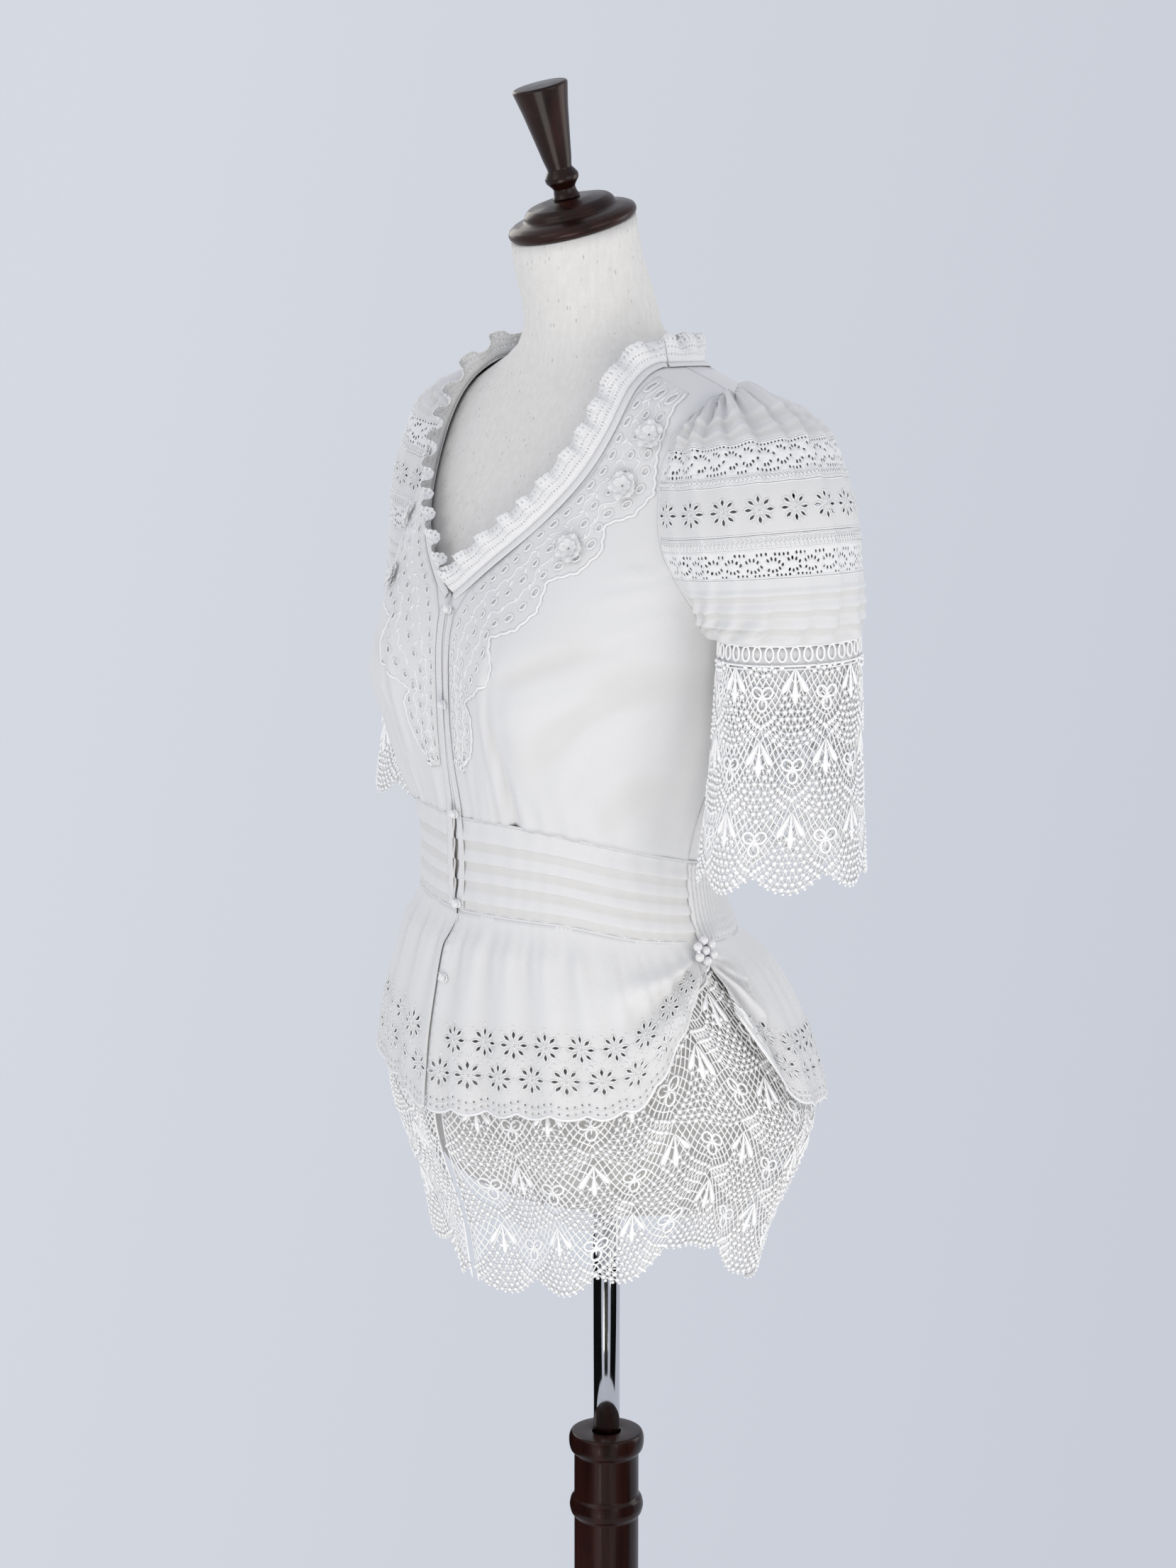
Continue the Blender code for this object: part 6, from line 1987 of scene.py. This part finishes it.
# Rows of slits in the insertion laces, and the levels that bound each braid.
SLIT_ROWS = {
    # level, height, pitch, spacing, long_half, short_half
    "lace_up": ((0.0155, 0.0048, 0.0250, 0.0027, 1.25, 0.78), (0.0155, -0.0048, 0.0250, 0.0027, 1.25, 0.78),
                (0.0236, 0.0003, 0.0200, 0.0029, 1.05, 0.75), (0.0080, 0.0003, 0.0200, 0.0029, 1.05, 0.75)),
    "lace_down": ((0.0085, 0.0036, 0.0270, 0.0027, 1.25, 0.78), (0.0085, -0.0036, 0.0270, 0.0027, 1.25, 0.78),
                  (0.0024, 0.0002, 0.0200, 0.0029, 1.05, 0.75), (0.0146, 0.0002, 0.0200, 0.0029, 1.05, 0.75)),
}
BRAIDS = {"lace_up": (0.0015, 0.0058), "lace_down": (0.0175, 0.0250)}
SLEEVE_DAISIES = 11


def sleeves():
    surface = sleeve_surface()
    for name, side in SIDES:
        turn = TURNS[side]
        for band, kind, first, last, height in BANDS:
            width = SLEEVE_WIDE * (0.80 if kind == "cap" else 1.0)

            def place(flat, lift=0.0):
                share = 2 * flat[..., 0] / width - 1
                w = last - (last - first) * flat[..., 1] / height
                points, normals = surface.at(np.clip(share, -0.9985, 0.9985), w, lift)
                return points * turn, normals * turn

            heap, sewn = Heap(), Heap()
            holes, rims, spokes = [], [], []
            if kind == "eyelet":
                count = SLEEVE_DAISIES
                centres = [np.array([(k + 0.5) * width / count, height * 0.48]) for k in range(count)]
                holes, rims, spokes, _ = daisies(centres)
            for level, rise, pitch, spacing, long_half, short_half in SLIT_ROWS.get(kind, ()):
                line = wave_line(width, level, rise, pitch)
                holes += slits(line, spacing, long_half * MM, short_half * MM)
            if kind in SLIT_ROWS:
                holes = spread_apart(holes)
            if kind in ("cap", "tucks"):
                rows = 45 if kind == "tucks" else 34
                down = np.linspace(height - 0.1 * MM, 0.1 * MM, rows)
                u, v = np.meshgrid(np.linspace(0.0, width, 110), down)
                points, normals = place(np.stack([u, v], axis=-1))
                down = last - (last - first) * v / height
                _, sheer = tucked(down)
                # Sheer cloth between the tucks, and painted shade in the troughs of the pleats.
                shade = np.maximum(sheer, painted_crease_shade(pleated(down, 2 * u / width - 1), 3.0 * MM))
                shell(heap, points, normals, CLOTH, 0.0, tone=shade)
            else:
                u = np.linspace(0.0, width, int(width / 0.003))
                edge = level_line(u, 0.1 * MM)
                top = level_line(u[::-1], height - 0.1 * MM)
                shade = 0.40 if kind == "eyelet" else 0.05
                cut_cloth(heap, np.concatenate([edge, top]), holes, 2.6 * MM, place, EYELET_CLOTH,
                          lambda flat: np.full(len(flat), shade))
            look = LOOKS["band_lace" if kind in SLIT_ROWS else "eyelet" if kind == "eyelet" else "cotton"]
            slot = "lace" if kind in SLIT_ROWS else "cotton"
            item = make("%s_cloth_%s" % (band, name), heap, look, slot, "%s_%s" % (band, name))
            if kind == "eyelet":
                sew_daisies(sewn, place, rims, spokes, [])
            if kind in BRAIDS:
                braid(sewn, place, width, *BRAIDS[kind])
            for level in (0.0006, height - 0.0006):
                u = np.linspace(0.001, width - 0.001, 130)
                sew(sewn, place, level_line(u, level), 0.60 * MM, 0.40 * MM, 3, lift=0.25 * MM)
            make("%s_sewing_%s" % (band, name), sewn, LOOKS["stitch"], "cotton")
        cuff(name, turn)


def spread_apart(holes):
    """Openings that don't touch an earlier one."""
    kept, middles = [], []
    for hole in holes:
        middle = hole.mean(axis=0)
        if all(abs(middle[0] - m[0]) > 2.1 * MM or abs(middle[1] - m[1]) > 2.9 * MM for m in middles[-400:]):
            kept.append(hole)
            middles.append(middle)
    return kept


def braid(heap, place, width, low, high):
    """Raised lacy braid: two wavy cords that cross, between straight ones, with knots where they meet."""
    u = np.linspace(0.001, width - 0.001, 253)
    middle, reach = (low + high) / 2, (high - low) / 2
    for phase in (0.0, math.pi):
        line = np.stack([u, middle + 0.72 * reach * np.sin(2 * math.pi * u / 0.0062 + phase)], axis=1)
        sew(heap, place, line, 0.60 * MM, 0.50 * MM, 3, lift=0.40 * MM)
    for level in (low, high):
        sew(heap, place, level_line(u[::2], level), 0.55 * MM, 0.42 * MM, 3, lift=0.35 * MM)
    spots = np.arange(0.002, width - 0.002, 0.0031)
    points, normals = place(level_line(spots, middle))
    blobs(heap, points, normals, 0.9 * MM, 0.6 * MM, 5, 0.6 * MM)


HEADER = 0.0125
LINING_DROP = 0.054


def cuff(name, turn):
    columns, rows = 300, 90
    top = SLEEVE[-1][0] + 0.6 * MM
    low, high = -0.010, top - CUFF_HEM
    angle = np.repeat(np.linspace(0.0, 2 * math.pi, columns)[None, :], rows, axis=0)
    v = np.linspace(low, high, rows)[:, None]
    z = CUFF_HEM + v + 0 * angle
    drop = np.clip((high - v) / high, 0.0, 1.05)
    wave = 1 + 0.035 * drop * np.sin(5 * angle + 0.6)
    points = np.stack([curve(CUFF, z, 1) + curve(CUFF, z, 3) * wave * np.cos(angle),
                       curve(CUFF, z, 2) + curve(CUFF, z, 4) * wave * np.sin(angle), z], axis=-1)
    along = np.roll(points[:, :-1], -1, axis=1) - np.roll(points[:, :-1], 1, axis=1)
    along = np.concatenate([along, along[:, :1]], axis=1)
    normals = unit(np.cross(along, np.gradient(points, axis=0)))
    centre = np.array([0.1945, 0.0, 1.17])
    normals = facing_out(normals, (points - centre) * LEVEL)
    tile = TILE * 0.91
    limit = CUFF_SCALLOPS * tile
    surface = Surface(points, normals, (0.0, limit), (low, high))

    def place(flat, lift=0.0):
        points, normals = surface.at(flat[..., 0] % limit, flat[..., 1], lift)
        return points * turn, normals * turn

    heap, raised = Heap(), Heap()
    guipure(heap, raised, place, CUFF_SCALLOPS, tile, lambda flat: flat[..., 1] < high - HEADER, high,
            wrapped=True, seed=11)
    loops = round(limit / 0.0092)
    rings = []
    for k in range(loops):
        centre_at = np.array([(k + 0.5) * limit / loops, high - HEADER * 0.42])
        rings.append(oval(centre_at, np.array([0.0, 1.0]), 4.7 * MM, 3.1 * MM, 10))
    sew(raised, place, rings, 0.80 * MM, 0.65 * MM, 4, closed=True, lift=0.4 * MM)
    u = np.arange(180) * limit / 180
    for level, half in ((high - HEADER, 0.75), (high - HEADER - 0.0022, 0.55), (high - 0.0004, 0.6)):
        sew(raised, place, level_line(u, level), half * MM, half * MM, 4, closed=True, lift=0.3 * MM)
    item = make("guipure_cuff_" + name, heap, LOOKS["guipure"], "lace", "cuff_lace_" + name)
    make("guipure_cuff_relief_" + name, raised, LOOKS["guipure"], "lace")
    heap = Heap()
    down = np.linspace(high - 0.0005, high - LINING_DROP, 12)
    u, v = np.meshgrid(np.linspace(0.0, limit, 101)[:-1], down)
    v[-1] = v[-1] + 0.0004 * np.sin(u[-1] * 900)
    points_in, normals_in = place(np.stack([u, v], axis=-1), -1.5 * MM)
    shell(heap, points_in, normals_in, 0.4 * MM, closed=True)
    item = make("cuff_under_layer_" + name, heap, LOOKS["cotton"], "cotton")


# Buttons, flowers and brooches.

def button_place(z):
    if z > LOW_SEAM[0][1] + 0.002:
        angle = angle_at(BODY, BUTTON_X, z)
        below = float(curve(TOP_SEAM, 0.0))
        out = max(float(bodice_out(angle, z)), BAND_OUT * MM)
        out += float(ramp(below + 0.012, below - 0.002, z)) * TUCK_RISE + OVER + OVERLAY / 2
        return on_body(angle, np.asarray(z), out)
    angle = angle_at(PEPLUM, BUTTON_X + 0.002, z)
    out = float(hang(angle, z) + gathers(angle, z, LOW_SEAM[0][1]))
    point = skirt_point(PEPLUM, angle, np.asarray(z), out)
    normal = section_normal(PEPLUM, angle, np.asarray(z))
    return point + normal * COTTON / 2, normal


def buttons():
    for number, z in enumerate(BUTTON_HEIGHTS, 1):
        point, normal = button_place(z)
        heap = Heap()
        ball(heap, point + normal * (SEAM + BUTTON_RADIUS), BUTTON_RADIUS, 14, 24, 0.92, normal)
        make("pearl_button_%d" % number, heap, LOOKS["pearl"], "pearl", "button_%d" % number)
    loops = Heap()
    for z in BUTTON_HEIGHTS:
        point, normal = button_place(z)
        _, across, upward, normal = frame_at(point, normal)
        turn = np.linspace(-2.5, 2.5, 15)
        reach = BUTTON_RADIUS * 1.12
        line = (point + normal * 1.0 * MM + np.outer(np.cos(turn), across) * reach
                + np.outer(np.sin(turn), upward) * reach * 0.8)
        tail = line[:1] + np.array([[-4.5 * MM, 0.0, -0.6 * MM]])
        end = line[-1:] + np.array([[-4.5 * MM, 0.0, 0.6 * MM]])
        line = np.concatenate([tail, line, end])
        cords(loops, line[None], np.repeat(normal[None], len(line), axis=0)[None], 0.55 * MM, 0.55 * MM, 6)
    make("button_loops", loops, LOOKS["stitch"], "cotton")


def flowers():
    number = 0
    for side, places in ((1.0, LEFT_FLOWERS), (-1.0, RIGHT_FLOWERS)):
        for x, z in places:
            number += 1
            point, normal = cloth_front(np.asarray(x), np.asarray(z), side, OVER + OVERLAY / 2)
            _, across, upward, normal = frame_at(point, normal)
            heap = Heap()
            for layer, (count, radius, tilt) in enumerate(((5, 10.0, 0.14), (5, 6.4, 0.30))):
                for k in range(count):
                    turn = 2 * math.pi * (k + 0.5 * layer) / count + 0.4 * number
                    way = across * math.cos(turn) + upward * math.sin(turn)
                    cross = -across * math.sin(turn) + upward * math.cos(turn)
                    reach = np.linspace(0.08, 1.0, 7)[:, None]
                    swing = np.linspace(-1.0, 1.0, 10)[None, :]
                    half = 0.62 * np.sin(math.pi * np.clip(reach, 0, 1) ** 0.75 * 0.80 + 0.1)
                    ripple = 0.06 * np.sin(swing * 6.0 + k) * reach
                    lift = tilt * reach ** 1.4 + ripple + 0.05 * layer + 0.04
                    out = reach * (1 - 0.12 * swing ** 2 + 0.05 * np.sin(swing * 9.0 + k))
                    grid = (point + radius * MM * (out[..., None] * way + (half * swing)[..., None] * cross
                                                   + lift[..., None] * normal))
                    shell(heap, grid, facing_out(grid_normals(grid), normal), 0.12 * MM)
            make("organza_flower_%d" % number, heap, LOOKS["organza"], "organza", "flower_%d" % number)
            heap = Heap()
            ball(heap, point + normal * 3.0 * MM, 1.7 * MM, 8, 12)
            make("flower_pearl_%d" % number, heap, LOOKS["pearl"], "pearl")


def brooches():
    point = skirt_point(PEPLUM, BROOCH_ANGLE, np.asarray(BROOCH_Z), np.asarray(0.0))
    normal = section_normal(PEPLUM, BROOCH_ANGLE, np.asarray(BROOCH_Z))
    normal = unit(normal * np.array([1.0, 1.0, 0.6]))
    point = point + normal * (COTTON / 2 + BROOCH_LIFT)
    for name, side in (("brooch_left", 1.0), ("brooch_right", -1.0)):
        turn = np.array([side, 1.0, 1.0])
        _, across, upward, facing = frame_at(point * turn, normal * turn)
        heap = Heap()
        for k in range(7):
            angle = 2 * math.pi * k / 6 + math.pi / 2
            reach = 0.0 if k == 6 else 6.8 * MM
            way = across * math.cos(angle) + upward * math.sin(angle)
            spot = point * turn + facing * 2.7 * MM + way * reach
            ball(heap, spot, 3.0 * MM, 12, 20, 1.0, facing)
        back = np.array([(0.0, 0.0), (0.0062, 0.0), (0.0066, 0.0006), (0.0062, 0.0012), (0.0, 0.0012)])
        make(name + "_pearls", heap, LOOKS["pearl"], "pearl", name)
        setting = Heap()

        def seat(points):
            return (point * turn + np.outer(points[:, 0], across) + np.outer(points[:, 1], upward)
                    + np.outer(points[:, 2], facing))

        turned(setting, back, 36, seat)
        make(name + "_setting", setting, LOOKS["chrome"], "pearl")


# Camera, light and surroundings.

CAMERA_ROUND = math.radians(55.0)
CAMERA_REACH = 2.2
CAMERA_HEIGHT = 1.54
CAMERA_PITCH = math.radians(10.7)
FOCAL_PIXELS = 4640.0
FRAME_HEIGHT = 2212.0
AIM_SHIFT = 27.5
SENSOR = 36.0


def camera():
    lens = bpy.data.cameras.new("camera")
    item = added_object("camera", lens)
    side, back = CAMERA_REACH * math.sin(CAMERA_ROUND), CAMERA_REACH * math.cos(CAMERA_ROUND)
    item.location = (side, -back, CAMERA_HEIGHT)
    heading = CAMERA_ROUND + math.atan(AIM_SHIFT / FOCAL_PIXELS)
    item.rotation_euler = (math.pi / 2 - CAMERA_PITCH, 0.0, heading)
    lens.sensor_width = SENSOR
    lens.lens = SENSOR * FOCAL_PIXELS / FRAME_HEIGHT
    bpy.context.scene.camera = item


LEFT_TINT = (0.672, 0.697, 0.760)
RIGHT_TINT = (0.560, 0.590, 0.665)
LAMP_TINT = (1.0, 0.950, 0.85)


def surroundings():
    world = bpy.data.worlds.new("studio")
    world.use_nodes = True
    tree = world.node_tree
    background = tree.nodes["Background"]
    way = (math.cos(CAMERA_ROUND), math.sin(CAMERA_ROUND), -0.25)
    generated = node(tree, "TexCoord").outputs["Generated"]
    aim = node(tree, "VectorMath", {1: way}, {0: generated}, operation="DOT_PRODUCT")
    share = ranged(tree, aim.outputs["Value"], -0.16, 0.34)
    tree.links.new(mixed(tree, share, LEFT_TINT, RIGHT_TINT), background.inputs["Color"])
    background.inputs["Strength"].default_value = 1.0
    bpy.context.scene.world = world


def lamp(name, place, target, size, energy):
    data = bpy.data.lights.new(name, "AREA")
    data.shape = "RECTANGLE"
    data.size = size
    data.size_y = size
    data.energy = energy
    data.color = LAMP_TINT
    item = added_object(name, data)
    item.location = place
    item.rotation_euler = (target - place).to_track_quat("-Z", "Y").to_euler()


# Dark cards round the pole that only glossy surfaces see: turns from the front of the picture, in degrees.
CARDS = ((-160, -44), (-20, 12), (34, 92))


def cards():
    """Upright curved cards that give the chrome its dark bands."""
    for number, (first, last) in enumerate(CARDS):
        turn = CAMERA_ROUND + np.radians(np.linspace(first, last, 24))
        ring = np.stack([0.42 * np.sin(turn), -0.42 * np.cos(turn)], axis=1)
        points = [(x, y, z) for z in (0.28, 0.86) for x, y in ring]
        mesh = bpy.data.meshes.new("card_%d" % number)
        mesh.from_pydata(points, [], [(k, k + 1, k + 25, k + 24) for k in range(23)])
        matt = {"Specular IOR Level": 0.0}
        look, _, _ = new_look("dark_card_%d" % number, (0.004, 0.004, 0.004), 1.0, matt)
        mesh.materials.append(look)
        item = added_object("card_%d" % number, mesh)
        item.visible_camera = False
        item.visible_diffuse = False
        item.visible_shadow = False
        item.visible_transmission = False


LAMPS = (
    # name, towards the camera, to its right, rise, size, energy
    ("key", 1.5, -1.9, 1.3, 1.6, 9.4),
    ("fill", 1.8, 1.9, 0.5, 1.8, 15.4),
    ("low", 1.9, -0.2, -1.0, 1.2, 17.0),
    ("rim", -1.8, -1.2, 1.0, 1.2, 11.0),
    ("side", -0.5, 2.4, 0.3, 1.4, 13.5),
)


def lights():
    front = Vector((math.sin(CAMERA_ROUND), -math.cos(CAMERA_ROUND), 0.0))
    right = Vector((math.cos(CAMERA_ROUND), math.sin(CAMERA_ROUND), 0.0))
    middle = Vector((0.0, 0.0, 1.15))
    for name, ahead, aside, rise, size, energy in LAMPS:
        target = middle - Vector((0, 0, 0.2)) if name == "low" else middle
        lamp(name, middle + front * ahead + right * aside + Vector((0, 0, rise)), target, size, energy)
    cards()


FLOOR_REACH = 1.15


def floor():
    """Pale disc under the base that fades into the surroundings."""
    mesh = bpy.data.meshes.new("floor")
    rings, sides = 24, 96
    points = [(0.0, 0.0, 0.0)]
    faces = []
    for ring in range(1, rings + 1):
        for k in range(sides):
            turn = 2 * math.pi * k / sides
            reach = FLOOR_REACH * ring / rings
            points.append((reach * math.cos(turn), reach * math.sin(turn), 0.0))
    for k in range(sides):
        faces.append((0, 1 + k, 1 + (k + 1) % sides))
    for ring in range(rings - 1):
        for k in range(sides):
            a = 1 + ring * sides + k
            b = 1 + ring * sides + (k + 1) % sides
            faces.append((a, a + sides, b + sides, b))
    mesh.from_pydata(points, [], faces)
    look, tree, shader = new_look("pale_floor", (0.60, 0.615, 0.655), 0.75)
    places = node(tree, "TexCoord").outputs["Object"]
    length = node(tree, "VectorMath", (), {0: places}, operation="LENGTH")
    tree.links.new(ranged(tree, length.outputs["Value"], 0.35, FLOOR_REACH, 1.0, 0.0), shader.inputs["Alpha"])
    mesh.materials.append(look)
    item = added_object("floor", mesh)
    item.location = (0.0, 0.0, -0.0005)


dress_form()
stand()
front_panels()
back_panel()
yoke_overlays()
neck_trims()
underlaps()
plackets()
waist_fronts()
waist_back()
peplums()
lace_skirts()
seam_cords()
sleeves()
buttons()
flowers()
brooches()
camera()
surroundings()
lights()
floor()
bpy.context.scene.view_settings.view_transform = "Standard"
bpy.context.view_layer.update()
